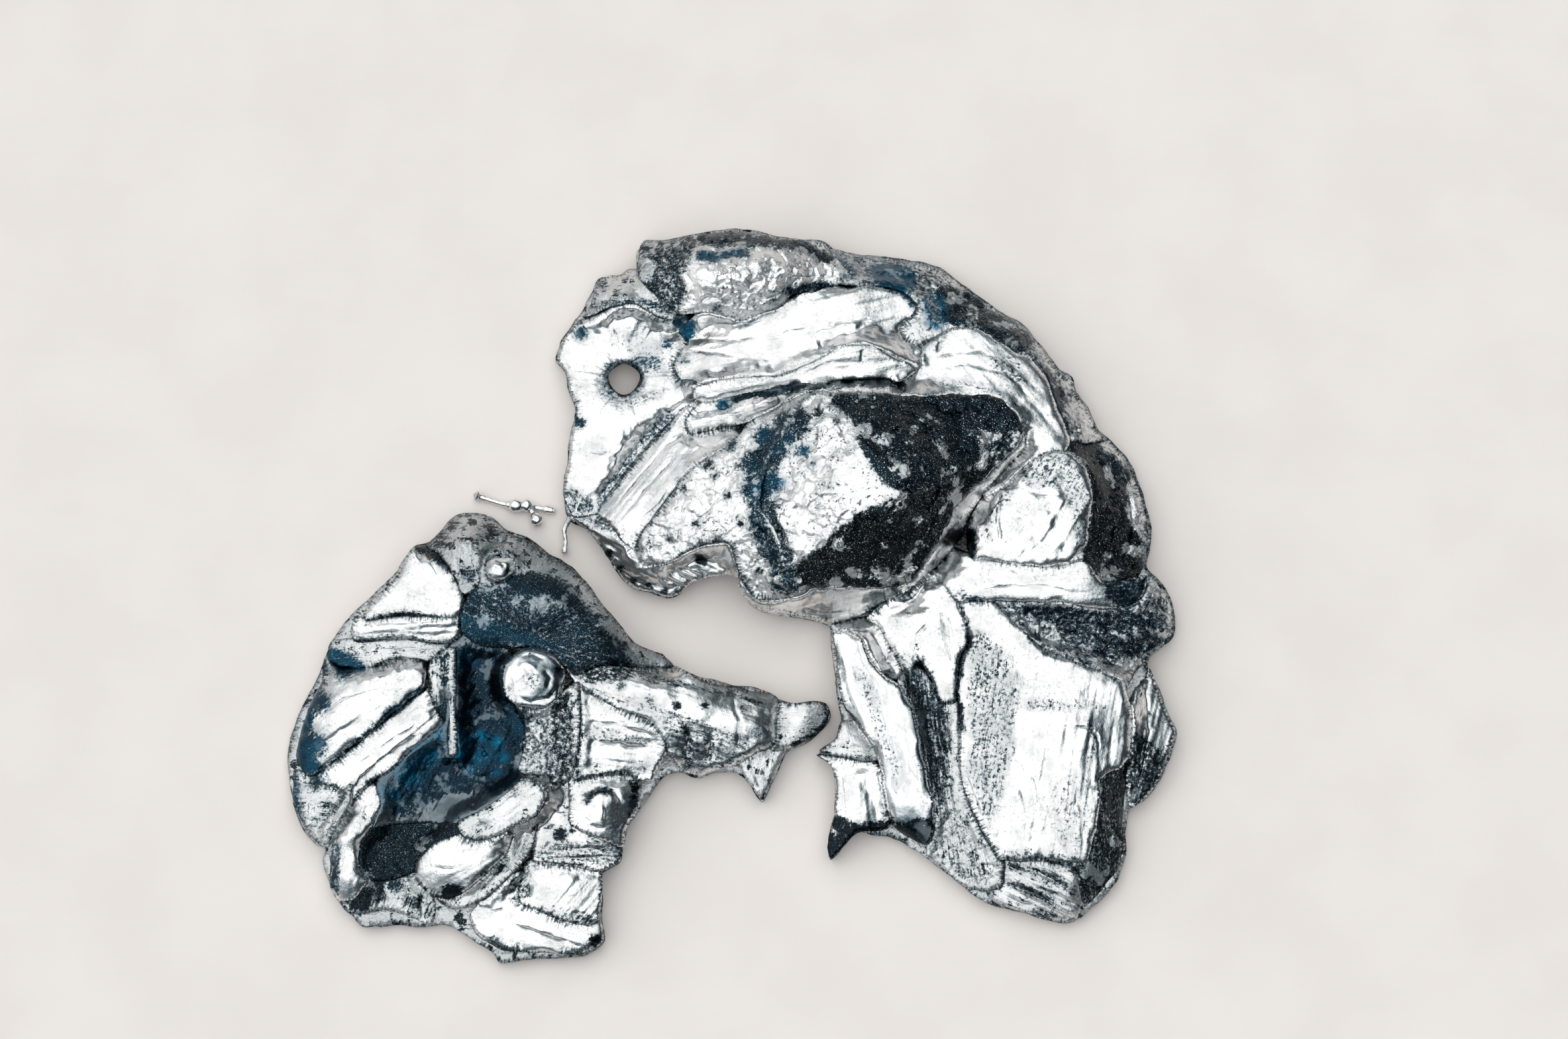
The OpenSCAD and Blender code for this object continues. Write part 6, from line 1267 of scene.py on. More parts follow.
EDGE_LIP_LINES = (
    ([(-11.5, 3.7), (-10, 1.6), (-8.4, 0.6), (-6, -0.2), (-4.4, 0.4)], 0.3, 0.2),
    ([(-11, 5.4), (-9, 2.8), (-6, 1.4), (-2.6, 1.8)], 0.2, 0.16),
    ([(-7, 2.8), (-4, 2.2), (-1, 3.2)], 0.2, 0.16))
EDGE_LIP_STAINS = (
    ((-2.9, 2.6, 0.7), 0.95, 0), ((-11.2, 3.2, 0.5), 0.8, 0), ((-10.2, 1.8, 0.5), 0.8, 0),
    ((-9, 0.7, 0.5), 0.8, 0), ((-7.6, 0.2, 0.45), 0.8, 0), ((-6.2, -0.3, 0.45), 0.8, 0),
    ((-5, -0.2, 0.45), 0.8, 0),
    ([(-14.6, 6.4), (-12, 7.2), (-10, 5.6), (-11.4, 5), (-13.4, 5.6)], 0.45, 0.1))
edge_lip = flow("edge_lip", EDGE_LIP, EDGE_LIP_HEIGHTS, seed=196, under=("flute", "nugget_west",
    "holed_sheet"), ripple=0.10, grain=(-28, 0.42, 6, 0.28), radius=0.6, ragged=0.2, fringe=0.15,
    marks=EDGE_LIP_LINES, stains=EDGE_LIP_STAINS)
settle(edge_lip, "right_casting", "edge_lip", bright_tin)


# Bead: a glassy round drop that landed last on the left casting.
# Cast tin, as smooth as a mirror, with a few thin dark arcs near its rim.
BEAD = [(-14.9, -8.3), (-15.29, -6.85), (-16.35, -5.79), (-17.8, -5.4), (-19.25, -5.79), (-20.31, -6.85),
    (-20.7, -8.3), (-20.31, -9.75), (-19.25, -10.81), (-17.8, -11.2), (-16.35, -10.81), (-15.29, -9.75)]
BEAD_HEIGHTS = [(-18.2, -8, 7.7), (-20.6, -8.3, 6), (-15, -8.3, 6), (-17.8, -5.5, 6.2), (-17.8, -11.1, 6),
    (-19.7, -6.3, 6.5), (-15.9, -6.3, 6.5), (-19.7, -10.3, 6.4), (-15.9, -10.3, 6.4), (-16.6, -8.8, 7)]
BEAD_LINES = (
    ([(-20, -7.6), (-19.6, -9.4), (-18, -10.5), (-16.4, -10.1), (-15.6, -8.8)], 0.14, 0.16),
    ([(-19, -6.4), (-17.8, -6), (-16.6, -6.4)], 0.12, 0.14),
    ([(-16.8, -7.4), (-16.2, -8.2), (-16.6, -9.2)], 0.14, 0.16),
    ([(-19.2, -7.2), (-18.2, -7), (-17.4, -7.4)], -0.16, 0.4))
# The grey centre and dark blotches are a painted reflection in the mirror-smooth drop.
BEAD_STAINS = (
    ((-17.8, -8.5, 1.4), 0.42, 0), ((-15.6, -7.6, 0.5), 0.8, 0), ((-16.2, -9.8, 0.5), 0.6, 0),
    ((-19.9, -9.2, 0.5), 0.5, 0), ((-18.2, -6.2, 0.4), 0.5, 0), ((-15.4, -9, 0.4), 0.7, 0))
bead = flow("bead", BEAD, BEAD_HEIGHTS, seed=203, ripple=0.10, radius=0.9, sharp=0.5, fringe=0.2,
    marks=BEAD_LINES, stains=BEAD_STAINS)
settle(bead, "left_casting", "bead", mirror_tin)


# Peak knob: the grey knob at the very back of the left casting.
# Cast tin, dull, with one bright oblong bump.
PEAK_KNOB = [(-26.2, 5.3), (-25.3, 6.5), (-23.5, 6.9), (-21.8, 6.4), (-20.4, 5.2), (-20.6, 4), (-22, 3.4),
    (-22.6, 2), (-22.8, 0.5), (-23.5, -0.5), (-24.3, -0.6), (-24.9, 0.6), (-25.6, 1.8), (-26.5, 3.2),
    (-27.2, 3.4), (-27.6, 4)]
PEAK_KNOB_HEIGHTS = [(-26, 5.2, 3.6), (-23.4, 6.6, 3.4), (-24.4, 5, 6.6), (-23.2, 3, 7), (-24, 0.4, 6.4),
    (-27.2, 3.8, 4.2), (-21, 5, 4.6)]
PEAK_KNOB_LINES = (
    ([(-24.4, 3.6), (-23.6, 5.6)], -0.5, 0.6), ([(-26, 3.4), (-24.8, 2.4), (-24.2, 0.6)], 0.2, 0.2))
PEAK_KNOB_STAINS = (
    ((-22, 5.2, 1.3), 0.75, 0), ((-26.4, 4.4, 1.2), 0.7, 0), ((-23.6, 1.2, 1.1), 0.6, 0.1),
    ((-25.4, 6, 1), 0.6, 0), ((-22.6, 3.4, 0.8), 0.6, 0))
peak_knob = flow("peak_knob", PEAK_KNOB, PEAK_KNOB_HEIGHTS, seed=210, ripple=0.25, crystal=(0.14, 0.7),
    radius=0.9, marks=PEAK_KNOB_LINES, stains=PEAK_KNOB_STAINS)
settle(peak_knob, "left_casting", "peak_knob", dark_tin)


# Dome bump: a small bright oval bump on the dome.
# Cast tin, with a short dark crease across it.
DOME_BUMP = [(-19.4, 1.9), (-19.6, 2.65), (-20.15, 3.2), (-20.9, 3.4), (-21.65, 3.2), (-22.2, 2.65),
    (-22.4, 1.9), (-22.2, 1.15), (-21.65, 0.6), (-20.9, 0.4), (-20.15, 0.6), (-19.6, 1.15)]
DOME_BUMP_HEIGHTS = [(-21, 2, 8.3), (-19.4, 1.9, 6.7), (-22.4, 1.9, 6.9), (-20.9, 3.4, 6.8),
    (-20.9, 0.4, 6.9)]
DOME_BUMP_LINES = (
    ([(-21.5, 2.5), (-20.8, 2.3), (-20.3, 1.8)], 0.14, 0.14),)
DOME_BUMP_STAINS = (
    ((-20.3, 1.6, 0.35), 0.7, 0), ((-21.9, 1.4, 0.5), 0.6, 0), ((-20.9, 0.4, 0.6), 0.7, 0))
dome_bump = flow("dome_bump", DOME_BUMP, DOME_BUMP_HEIGHTS, seed=217, under=("peak_knob",),
    ripple=0.06, radius=0.9, sharp=0.5, fringe=0.3, marks=DOME_BUMP_LINES, stains=DOME_BUMP_STAINS)
settle(dome_bump, "left_casting", "dome_bump", mirror_tin)


# Dome ridge: the dark dome and its long ridge toward the gap between the castings.
# Cast tin under dark oxide, with painted shade on the slopes turned from the light, blue at the left, with
# fine lines drawn to one point.
DOME_RIDGE = [(-22, 5.6), (-20.3, 5.1), (-18.5, 4.4), (-16.5, 3), (-14.5, 1.8), (-13, 0.3), (-11.8, -1.4),
    (-10.2, -3.3), (-8.8, -5), (-7.2, -5.8), (-6.3, -6.1), (-5.4, -7.1), (-7.2, -7.4), (-9, -7.2),
    (-12, -7.2), (-13.6, -8), (-14.8, -7.4), (-16, -6.2), (-18, -5.4), (-21.6, -5.6), (-23.4, -5),
    (-24.4, -3.6), (-24.5, -2.4), (-24, -1), (-24, 2)]
DOME_RIDGE_HEIGHTS = [(-20, 4.8, 4.6), (-16.4, 2.8, 4.4), (-12.6, -0.4, 4), (-9, -4.8, 3.2),
    (-6, -6.6, 2.4), (-22.8, -1.6, 6.6), (-18.6, 0.6, 7.2), (-15, -0.6, 7), (-11.6, -3.6, 6),
    (-20.6, -4.6, 5.4), (-16, -5.6, 5.4), (-10, -6.8, 4.6)]
DOME_RIDGE_LINES = (
    ([(-18, -5), (-16, -5.6), (-14.5, -7)], 0.3, 0.2), ([(-22.6, 0), (-20, -0.6), (-18, -2)], 0.2, 0.2),
    ([(-14, -2), (-11, -4.6), (-7.6, -6.6)], 0.25, 0.2))
DOME_RIDGE_STAINS = (
    ([(-24.4, 1), (-22, 0.6), (-18.6, 1.6), (-15, 0.6), (-12.4, -2.4), (-9, -5.6), (-9, -7.4),
     (-14, -7.8), (-18, -5.4), (-22, -5.8), (-24.6, -3)], 0.72, 0.12),
    ([(-21, 1), (-18, 1.6), (-15, 0), (-14, -2), (-16.6, -1.2), (-19.4, -0.6)], 0.95, 0.1),
    ([(-24.4, -2.4), (-22, -2.8), (-19.4, -3.4), (-17, -4.2), (-15, -5.6), (-17.4, -5.6), (-20, -5),
     (-22.4, -5.6), (-24.8, -4.6)], 0.85, 0.3),
    ((-15.5, -4.3, 0.7), 1, 0))
dome_ridge = flow("dome_ridge", DOME_RIDGE, DOME_RIDGE_HEIGHTS, seed=224, under=("peak_knob",
    "dome_bump", "bead"), fan=(-18.5, -4.8), grain=(0, 0.5, 6, 0.07), ripple=0.2, radius=1,
    marks=DOME_RIDGE_LINES, stains=DOME_RIDGE_STAINS)
settle(dome_ridge, "left_casting", "dome_ridge", dark_tin)


# Fan leaf: the first leaf of the fan on the left, spread from one point on the dome.
# Cast tin, bright, with fine lines and a black frayed edge, painted shade where the edges face away from the
# light.
FAN_LEAF = [(-29.8, 2.3), (-28.8, 3.7), (-27.4, 4), (-26, 3), (-24.8, 1), (-24, -1), (-23.8, -2.4),
    (-25, -2.7), (-27.5, -2.6), (-30, -2.6), (-31.5, -2.8), (-33, -3), (-32.8, -1.5), (-31.5, -0.3),
    (-30.4, 0.9)]
FAN_LEAF_HEIGHTS = [(-28.4, 3.2, 5), (-25.2, 0.6, 6.4), (-24.6, -2.2, 6.8), (-29, -2.2, 6),
    (-32.6, -2.4, 4.6), (-30, 0.6, 5)]
FAN_LEAF_LINES = (
    ([(-32.4, -2.7), (-30, -2.5), (-27.4, -2.5), (-25.2, -2.6)], 0.35, 0.2),)
FAN_LEAF_STAINS = (
    ([(-29, 3.8), (-27.8, 3), (-25.6, 1), (-24.4, 0), (-24, 1), (-25.4, 2.6), (-27, 4.2)], 0.85, 0),
    ([(-31.6, -2.4), (-29.6, -2.2), (-27.6, -2.3), (-27.6, -2.9), (-30, -3), (-31.8, -3)], 0.95, 0))
fan_leaf = flow("fan_leaf", FAN_LEAF, FAN_LEAF_HEIGHTS, seed=231, under=("peak_knob", "dome_ridge"),
    fan=(-24.2, -2.6), grain=(0, 0.3, 6, 0.10), ripple=0.06, radius=0.8, marks=FAN_LEAF_LINES,
    stains=FAN_LEAF_STAINS)
settle(fan_leaf, "left_casting", "fan_leaf", bright_tin)


# Upper fan rib: the rib below the fan leaf.
# Cast tin, bright with grey lines.
FAN_RIB_UPPER = [(-33.4, -2.6), (-31, -2.4), (-28, -2.2), (-25, -2.2), (-23.8, -2.2), (-23.8, -3.4),
    (-24.4, -4.6), (-25.2, -5.1), (-26.5, -5.1), (-29, -4.7), (-31.5, -4.8), (-33.9, -4.9), (-34.2, -4),
    (-34, -3.2)]
FAN_RIB_UPPER_HEIGHTS = [(-24.4, -3, 6.4), (-29, -3.2, 5.8), (-33.6, -3.6, 4.4), (-26, -4.9, 5.4),
    (-30, -4.7, 5)]
FAN_RIB_UPPER_LINES = (
    ([(-33, -3.6), (-29, -3.3), (-25, -3.2)], 0.16, 0.12),
    ([(-33.4, -4.3), (-29, -4.1), (-25.6, -4.4)], 0.14, 0.12))
# The dark along the lower edge is painted shade.
FAN_RIB_UPPER_STAINS = (
    ([(-33.8, -4.4), (-30, -4.3), (-26, -4.6), (-26, -5.2), (-30, -5), (-34, -5.2)], 0.7, 0),)
fan_rib_upper = flow("fan_rib_upper", FAN_RIB_UPPER, FAN_RIB_UPPER_HEIGHTS, seed=238,
    under=("fan_leaf", "dome_ridge"), grain=(2, 0.3, 8, 0.10), ripple=0.06, radius=0.8,
    marks=FAN_RIB_UPPER_LINES, stains=FAN_RIB_UPPER_STAINS)
settle(fan_rib_upper, "left_casting", "fan_rib_upper", bright_tin)


# Pool fin: a thin pale ridge that stands between the fan and the pool.
# Cast tin.
POOL_FIN = [(-27, -6.8), (-26.2, -6), (-25.3, -5.4), (-24.7, -5.6), (-24.5, -10), (-24.4, -15.2),
    (-25.2, -15.4), (-25.5, -12.4), (-26.5, -11), (-27.1, -9)]
POOL_FIN_HEIGHTS = [(-26.4, -7, 5.6), (-25, -6, 5.6), (-24.8, -10, 5.4), (-24.8, -15, 4.4),
    (-26.8, -9, 5.4)]
POOL_FIN_LINES = (
    ([(-26.4, -6.8), (-26.5, -9), (-26, -11)], -0.25, 0.3),
    ([(-25.5, -6.4), (-25.4, -10), (-25.1, -15)], 0.25, 0.16))
POOL_FIN_STAINS = (
    ([(-26.2, -6.2), (-25.3, -6), (-25.2, -15.2), (-26, -13), (-26.4, -10.4), (-25.9, -8.4)], 0.9, 0.1),
    ([(-24.8, -6), (-24.4, -6), (-24.3, -15), (-24.6, -15)], 0.85, 0.1))
pool_fin = flow("pool_fin", POOL_FIN, POOL_FIN_HEIGHTS, seed=245, grain=(90, 0.4, 6, 0.06),
    ripple=0.06, radius=0.45, marks=POOL_FIN_LINES, stains=POOL_FIN_STAINS)
settle(pool_fin, "left_casting", "pool_fin", satin_tin)


# Grey fan rib: a wrinkled rib between the two bright ones.
# Cast tin, grey; the dark blue patch at its outer end is a painted reflection of the dark blue room.
FAN_RIB_GREY = [(-35.8, -4.9), (-34.3, -4.6), (-31.5, -4.4), (-28.5, -4.4), (-26.4, -4.8), (-25.2, -4.8),
    (-25.7, -5.9), (-27, -6.8), (-28.5, -6.4), (-30.5, -6.6), (-32, -7.2), (-33.5, -7.4), (-35, -7.2),
    (-36.1, -6.4)]
FAN_RIB_GREY_HEIGHTS = [(-26, -5.6, 5.2), (-30, -5.6, 4.8), (-35.6, -5.6, 3), (-33, -7, 4)]
FAN_RIB_GREY_LINES = (
    ([(-35, -5.8), (-31, -5.4), (-27, -5.6)], 0.2, 0.14),)
FAN_RIB_GREY_STAINS = (
    ([(-36.4, -5.6), (-33.6, -6.2), (-32.6, -7.6), (-36, -7.8)], 0.85, 0.4), ((-30, -6.3, 0.8), 0.45, 0))
fan_rib_grey = flow("fan_rib_grey", FAN_RIB_GREY, FAN_RIB_GREY_HEIGHTS, seed=252,
    under=("fan_rib_upper", "pool_fin"), grain=(6, 0.32, 5, 0.16), ripple=0.14, radius=0.8,
    marks=FAN_RIB_GREY_LINES, stains=FAN_RIB_GREY_STAINS)
settle(fan_rib_grey, "left_casting", "fan_rib_grey", satin_tin)


# Broad fan rib: the widest blade of the fan.
# Cast tin, very bright; the dark blue at its outer end and along its lower edge is painted reflection and
# painted shade for the sides turned from the light.
FAN_RIB_BROAD = [(-36.4, -6.4), (-34.6, -6.6), (-33, -6.8), (-31.5, -6.4), (-29.5, -6), (-27.2, -6.2),
    (-27.3, -8), (-27.6, -9.4), (-28.8, -10.4), (-30.5, -11.8), (-32.5, -13.6), (-34.5, -15.4),
    (-36.4, -16.8), (-37.6, -17.2), (-38.6, -15.8), (-38.5, -14), (-38, -12), (-37.3, -10), (-36.6, -8.6)]
FAN_RIB_BROAD_HEIGHTS = [(-27.8, -7.6, 6.4), (-32, -8.8, 6), (-35.6, -8, 3.8), (-35, -12, 5.4),
    (-38, -14, 2.8), (-37, -16.6, 3.2), (-33, -13, 4.8), (-29, -9.8, 5.4)]
FAN_RIB_BROAD_LINES = (
    ([(-37, -9.4), (-33.6, -8), (-30, -7.4)], 0.14, 0.14),
    ([(-37.8, -12.4), (-34.4, -10), (-30.6, -8.8)], 0.14, 0.14), ([(-37.6, -15), (-34, -12.6)], 0.16, 0.14))
FAN_RIB_BROAD_STAINS = (
    ([(-36.2, -6.6), (-36.6, -9), (-37.2, -11.4), (-37.4, -14), (-36.6, -16.8), (-39, -17), (-39.4, -12),
     (-37.6, -7)], 0.85, 0.4),
    ([(-27.4, -8.8), (-30.2, -10.8), (-33.4, -13.8), (-36.4, -16.4), (-36.8, -17.4), (-33, -14.4),
     (-29.6, -11.6), (-27.2, -9.8)], 0.75, 0.3),
    ((-34.8, -7.6, 1.1), 0.75, 0.5), ((-36.8, -10.4, 1.2), 0.85, 0.35), ((-37, -14.4, 1.3), 0.85, 0.45))
fan_rib_broad = flow("fan_rib_broad", FAN_RIB_BROAD, FAN_RIB_BROAD_HEIGHTS, seed=259,
    under=("fan_rib_grey",), grain=(38, 0.6, 9, 0.09), ripple=0.08, radius=1.7, fringe=1.1,
    marks=FAN_RIB_BROAD_LINES, stains=FAN_RIB_BROAD_STAINS)
settle(fan_rib_broad, "left_casting", "fan_rib_broad", bright_tin)


# Long fan rib: the lowest blade of the fan, which runs on into the rim.
# Cast tin, bright, with a double groove along it.
FAN_RIB_LONG = [(-28.6, -10), (-27.4, -9.2), (-26, -8), (-25.6, -9), (-25.4, -12.2), (-26.2, -13.2),
    (-28.2, -14.8), (-30, -16.6), (-32, -18), (-33.6, -19.8), (-35, -21.6), (-36.2, -22.8),
    (-35.4, -20.8), (-34.2, -18.8), (-35.2, -18.2), (-37, -17.6), (-37, -16.6), (-34, -14.6), (-31, -12)]
FAN_RIB_LONG_HEIGHTS = [(-26.6, -10.6, 5.6), (-30, -13, 5.2), (-34, -16, 4.4), (-36.6, -17.2, 3.2),
    (-27, -13.2, 5), (-31.6, -17, 4.4), (-35.4, -21.6, 3)]
FAN_RIB_LONG_LINES = (
    ([(-26, -12.2), (-29.6, -14.8), (-33, -17.6), (-34.4, -19.6)], 0.3, 0.18),
    ([(-26.4, -11.2), (-30, -14), (-34.4, -17)], 0.22, 0.14),
    ([(-33.6, -18.4), (-35, -20.6), (-36, -22.4)], 0.25, 0.15))
FAN_RIB_LONG_STAINS = (
    ([(-33, -17.6), (-34.4, -18), (-36.2, -22.6), (-35.4, -22.4), (-33.8, -20)], 0.5, 0),
    ([(-35.6, -17.2), (-37.2, -17), (-36.8, -18)], 0.6, 0.5))
fan_rib_long = flow("fan_rib_long", FAN_RIB_LONG, FAN_RIB_LONG_HEIGHTS, seed=266,
    under=("fan_rib_broad", "pool_fin"), grain=(41, 0.4, 9, 0.09), ripple=0.06, radius=1.1, fringe=0.8,
    marks=FAN_RIB_LONG_LINES, stains=FAN_RIB_LONG_STAINS)
settle(fan_rib_long, "left_casting", "fan_rib_long", bright_tin)


# Rim rib: a bright rib that stands along the left rim.
# Cast tin.
RIM_RIB = [(-33.6, -17.8), (-32.2, -17.4), (-31, -19.2), (-31.6, -21.5), (-32.6, -23.2), (-32.7, -25.4),
    (-32, -26.6), (-33.4, -28.3), (-34.6, -28.3), (-35.3, -27.2), (-35.4, -25), (-35.6, -23.6),
    (-34.9, -21.2), (-33.9, -19.4)]
RIM_RIB_HEIGHTS = [(-32.6, -18.6, 4.6), (-33.6, -22.6, 4.6), (-34, -26, 4), (-34, -28, 2.2),
    (-35.2, -25, 2.4), (-32.4, -24.4, 3)]
RIM_RIB_LINES = (
    ([(-34.8, -20.6), (-35, -24), (-34.8, -27.4)], 0.25, 0.16),
    ([(-32.2, -19), (-32.9, -22.6), (-33, -26)], 0.14, 0.14))
RIM_RIB_STAINS = (
    ([(-35.4, -23), (-34.6, -23.6), (-34.6, -28), (-35.6, -27)], 0.7, 0.2), ((-32.4, -21, 0.7), 0.4, 0))
rim_rib = flow("rim_rib", RIM_RIB, RIM_RIB_HEIGHTS, seed=273, under=("fan_rib_long",), grain=(80, 0.4,
    6, 0.08), ripple=0.08, radius=0.9, fringe=0.2, marks=RIM_RIB_LINES, stains=RIM_RIB_STAINS)
settle(rim_rib, "left_casting", "rim_rib", bright_tin)


# Rim plate: the thin plate at the far left edge.
# Cast tin, grey, with a bright bump and a dark freckled edge.
RIM_PLATE = [(-38.8, -16.6), (-37.4, -16.9), (-35, -17.6), (-33.6, -18), (-33.4, -20), (-35, -23),
    (-36.2, -23.5), (-37.5, -22.2), (-38.3, -20.6), (-38.8, -19.2)]
RIM_PLATE_HEIGHTS = [(-38.4, -17.4, 2), (-37.8, -20.2, 2.8), (-36.2, -23, 1.9), (-34.6, -19, 3.4)]
RIM_PLATE_LINES = (
    ([(-38.2, -20.2), (-37.4, -20.2)], -0.35, 0.5),)
RIM_PLATE_STAINS = (
    ([(-39.2, -17), (-38.4, -17.2), (-38.3, -20), (-37.6, -22.4), (-36, -23.8), (-38.4, -23),
     (-39.4, -19)], 0.8, 0.35),
    ((-35.8, -20, 1.1), 0.55, 0), ((-37, -18, 1), 0.6, 0.1), ((-36.4, -21.4, 0.9), 0.5, 0.1))
rim_plate = flow("rim_plate", RIM_PLATE, RIM_PLATE_HEIGHTS, seed=280, under=("fan_rib_long", "rim_rib",
    "fan_rib_broad"), ripple=0.2, crystal=(0.14, 0.7), radius=0.7, fringe=0.9, marks=RIM_PLATE_LINES,
    stains=RIM_PLATE_STAINS)
settle(rim_plate, "left_casting", "rim_plate", satin_tin)


# Pod crest: the bright crest of the pod at the front of the left casting.
# Cast tin, smooth.
POD_CREST = [(-24.3, -21.3), (-22.3, -20.3), (-20.2, -18.9), (-18.8, -17.7), (-17.2, -17.9), (-16.6, -19),
    (-17.4, -20.6), (-19.2, -21.6), (-20.8, -22.6), (-22.6, -23), (-23.8, -22.5)]
POD_CREST_HEIGHTS = [(-24, -21.6, 5), (-21.6, -20.4, 6), (-18, -18.4, 6.2), (-17, -20, 5.9),
    (-21, -22.4, 5.6), (-19.4, -21.2, 6)]
POD_CREST_LINES = (
    ([(-23.4, -22), (-20.6, -21), (-17.6, -19.2)], 0.14, 0.14),
    ([(-23, -21), (-20.4, -19.8), (-18.4, -18.4)], 0.12, 0.14),
    ([(-20.4, -21.6), (-18.6, -20.4), (-17.2, -19.6)], 0.12, 0.2))
POD_CREST_STAINS = (
    ([(-17.6, -20.6), (-19.4, -21.8), (-22, -22.8), (-23.8, -22.8), (-22, -23.6), (-17, -21.4)], 0.5, 0),
    ((-19.2, -18.6, 0.7), 0.4, 0), ((-22, -21.4, 0.8), 0.36, 0))
pod_crest = flow("pod_crest", POD_CREST, POD_CREST_HEIGHTS, seed=287, ripple=0.06, radius=0.5,
    grain=(35, 0.5, 6, 0.05), fringe=0.5, marks=POD_CREST_LINES, stains=POD_CREST_STAINS)
settle(pod_crest, "left_casting", "pod_crest", satin_tin)


# Saddle: the low saddle between the bead, the arm and the pod.
# Cast tin, with bright bumps and a grey-brown band.
SADDLE = [(-19.4, -10.6), (-16, -10), (-13.8, -8.2), (-13.5, -10), (-13.6, -14), (-14.2, -17.2),
    (-15.5, -18.4), (-17, -18.6), (-19, -18), (-18.7, -15), (-18.6, -12.6)]
SADDLE_HEIGHTS = [(-18, -11.6, 4.6), (-14.4, -9.6, 5.4), (-14.2, -14, 5), (-15, -17.8, 4.4),
    (-17.6, -14.6, 5), (-18.4, -17.2, 4.4)]
SADDLE_LINES = (
    ([(-16.3, -10.4), (-16.4, -14), (-16.2, -18)], 0.2, 0.2), ([(-18.6, -13.4), (-17, -13)], 0.2, 0.2),
    ([(-18.6, -15.6), (-17, -15.4)], 0.2, 0.2))
SADDLE_STAINS = (
    ([(-16.2, -10), (-14.2, -9.6), (-14, -14), (-14.4, -18), (-16.2, -18), (-16.4, -14)], 0.6, 0),
    ([(-19, -10.6), (-17, -11), (-16, -14), (-16.4, -18), (-18.8, -18.4), (-19.4, -14)], 0.46, 0.05),
    ((-18.7, -17, 0.8), 0.7, 0.1), ((-18.4, -12, 1), 0.7, 0.1), ((-18.8, -14.6, 0.6), 0.8, 0.1))
saddle = flow("saddle", SADDLE, SADDLE_HEIGHTS, seed=294, under=("bead", "pod_crest", "dome_ridge"),
    ripple=0.4, grain=(90, 0.8, 4, 0.06), radius=0.8, crystal=(0.2, 0.9), marks=SADDLE_LINES,
    stains=SADDLE_STAINS)
settle(saddle, "left_casting", "saddle", pitted_tin)


# Arm: the arm that reaches from the dome toward the other casting.
# Cast tin, dark on its back, with clean white patches and dark stripes down its front.
ARM = [(-14.8, -7.4), (-12, -6.6), (-8.3, -6.8), (-5.6, -7), (-3, -8.2), (0, -9), (2.6, -9.4),
    (4.1, -10.3), (3.9, -12.5), (3.7, -14.4), (2, -15.2), (0.5, -16.2), (-1.2, -16.6), (-3, -17.2),
    (-4.6, -16.6), (-5.6, -15.2), (-6.2, -13.8), (-7.6, -12.2), (-10, -11.2), (-12.2, -10), (-14, -8.8)]
ARM_HEIGHTS = [(-14, -8, 5.4), (-8, -7, 4), (0, -9.2, 3), (3.8, -10.8, 2.6), (-9, -9.4, 5.8),
    (-3, -10.6, 5.2), (1.6, -12.4, 4.2), (-3.6, -14, 4.2), (-3, -17, 2.4), (1, -15.8, 2.8),
    (-11, -10.6, 5)]
ARM_LINES = (
    ([(-3.9, -13), (-4.2, -15), (-4.1, -16.6)], 0.35, 0.25),
    ([(-2, -13), (-2.2, -14.6), (-2, -16.2)], 0.3, 0.25),
    ([(-14.6, -8.2), (-12.4, -9.6), (-10, -10.8), (-6.6, -11.8)], 0.25, 0.16),
    ([(0, -9.8), (0.6, -12), (0.4, -15)], 0.15, 0.16))
ARM_STAINS = (
    ([(-14.4, -7.2), (-12, -6.8), (-8.6, -7), (-8.6, -8.4), (-10.4, -9), (-12.8, -8.8)], 0.6, 0),
    ((-10, -9, 0.5), 0.8, 0), ((-5, -10.8, 0.5), 0.85, 0), ((-2.5, -10.8, 0.45), 0.85, 0),
    ([(-5, -11.8), (-4.2, -12.2), (-3.4, -14), (-3.5, -16.6), (-4.4, -16.6), (-4.3, -14.6)], 0.62, 0),
    ([(-2.8, -12.2), (-1.9, -12.8), (-1.4, -14.6), (-1.7, -16.2), (-2.5, -16), (-2.3, -14.4)], 0.58, 0),
    ([(-6.6, -13.4), (-5.4, -14), (-4.8, -16.8), (-5.8, -16)], 0.5, 0),
    ([(-8, -7.2), (-4, -8.5), (0, -9.4), (3.6, -10.4), (3.4, -11), (-1, -10.3), (-5, -9.5), (-8.4, -8.3)],
     0.42, 0),
    ([(-13, -9.6), (-8, -11.6), (-6.4, -12.6), (-6, -15), (-3, -16.8), (1, -16.6), (1.6, -13.6),
     (-3, -12), (-8, -10.4)], 0.4, 0),
    ((-7.4, -10.4, 0.7), 0.6, 0), ((0.8, -11, 0.6), 0.5, 0), ((-12, -10.8, 0.6), 0.5, 0),
    ((2, -13.4, 0.8), 0.45, 0))
arm = flow("arm", ARM, ARM_HEIGHTS, seed=301, under=("dome_ridge", "bead"), ripple=0.2, grain=(-18,
    0.6, 6, 0.10), radius=0.9, marks=ARM_LINES, stains=ARM_STAINS)
settle(arm, "left_casting", "arm", bright_tin)


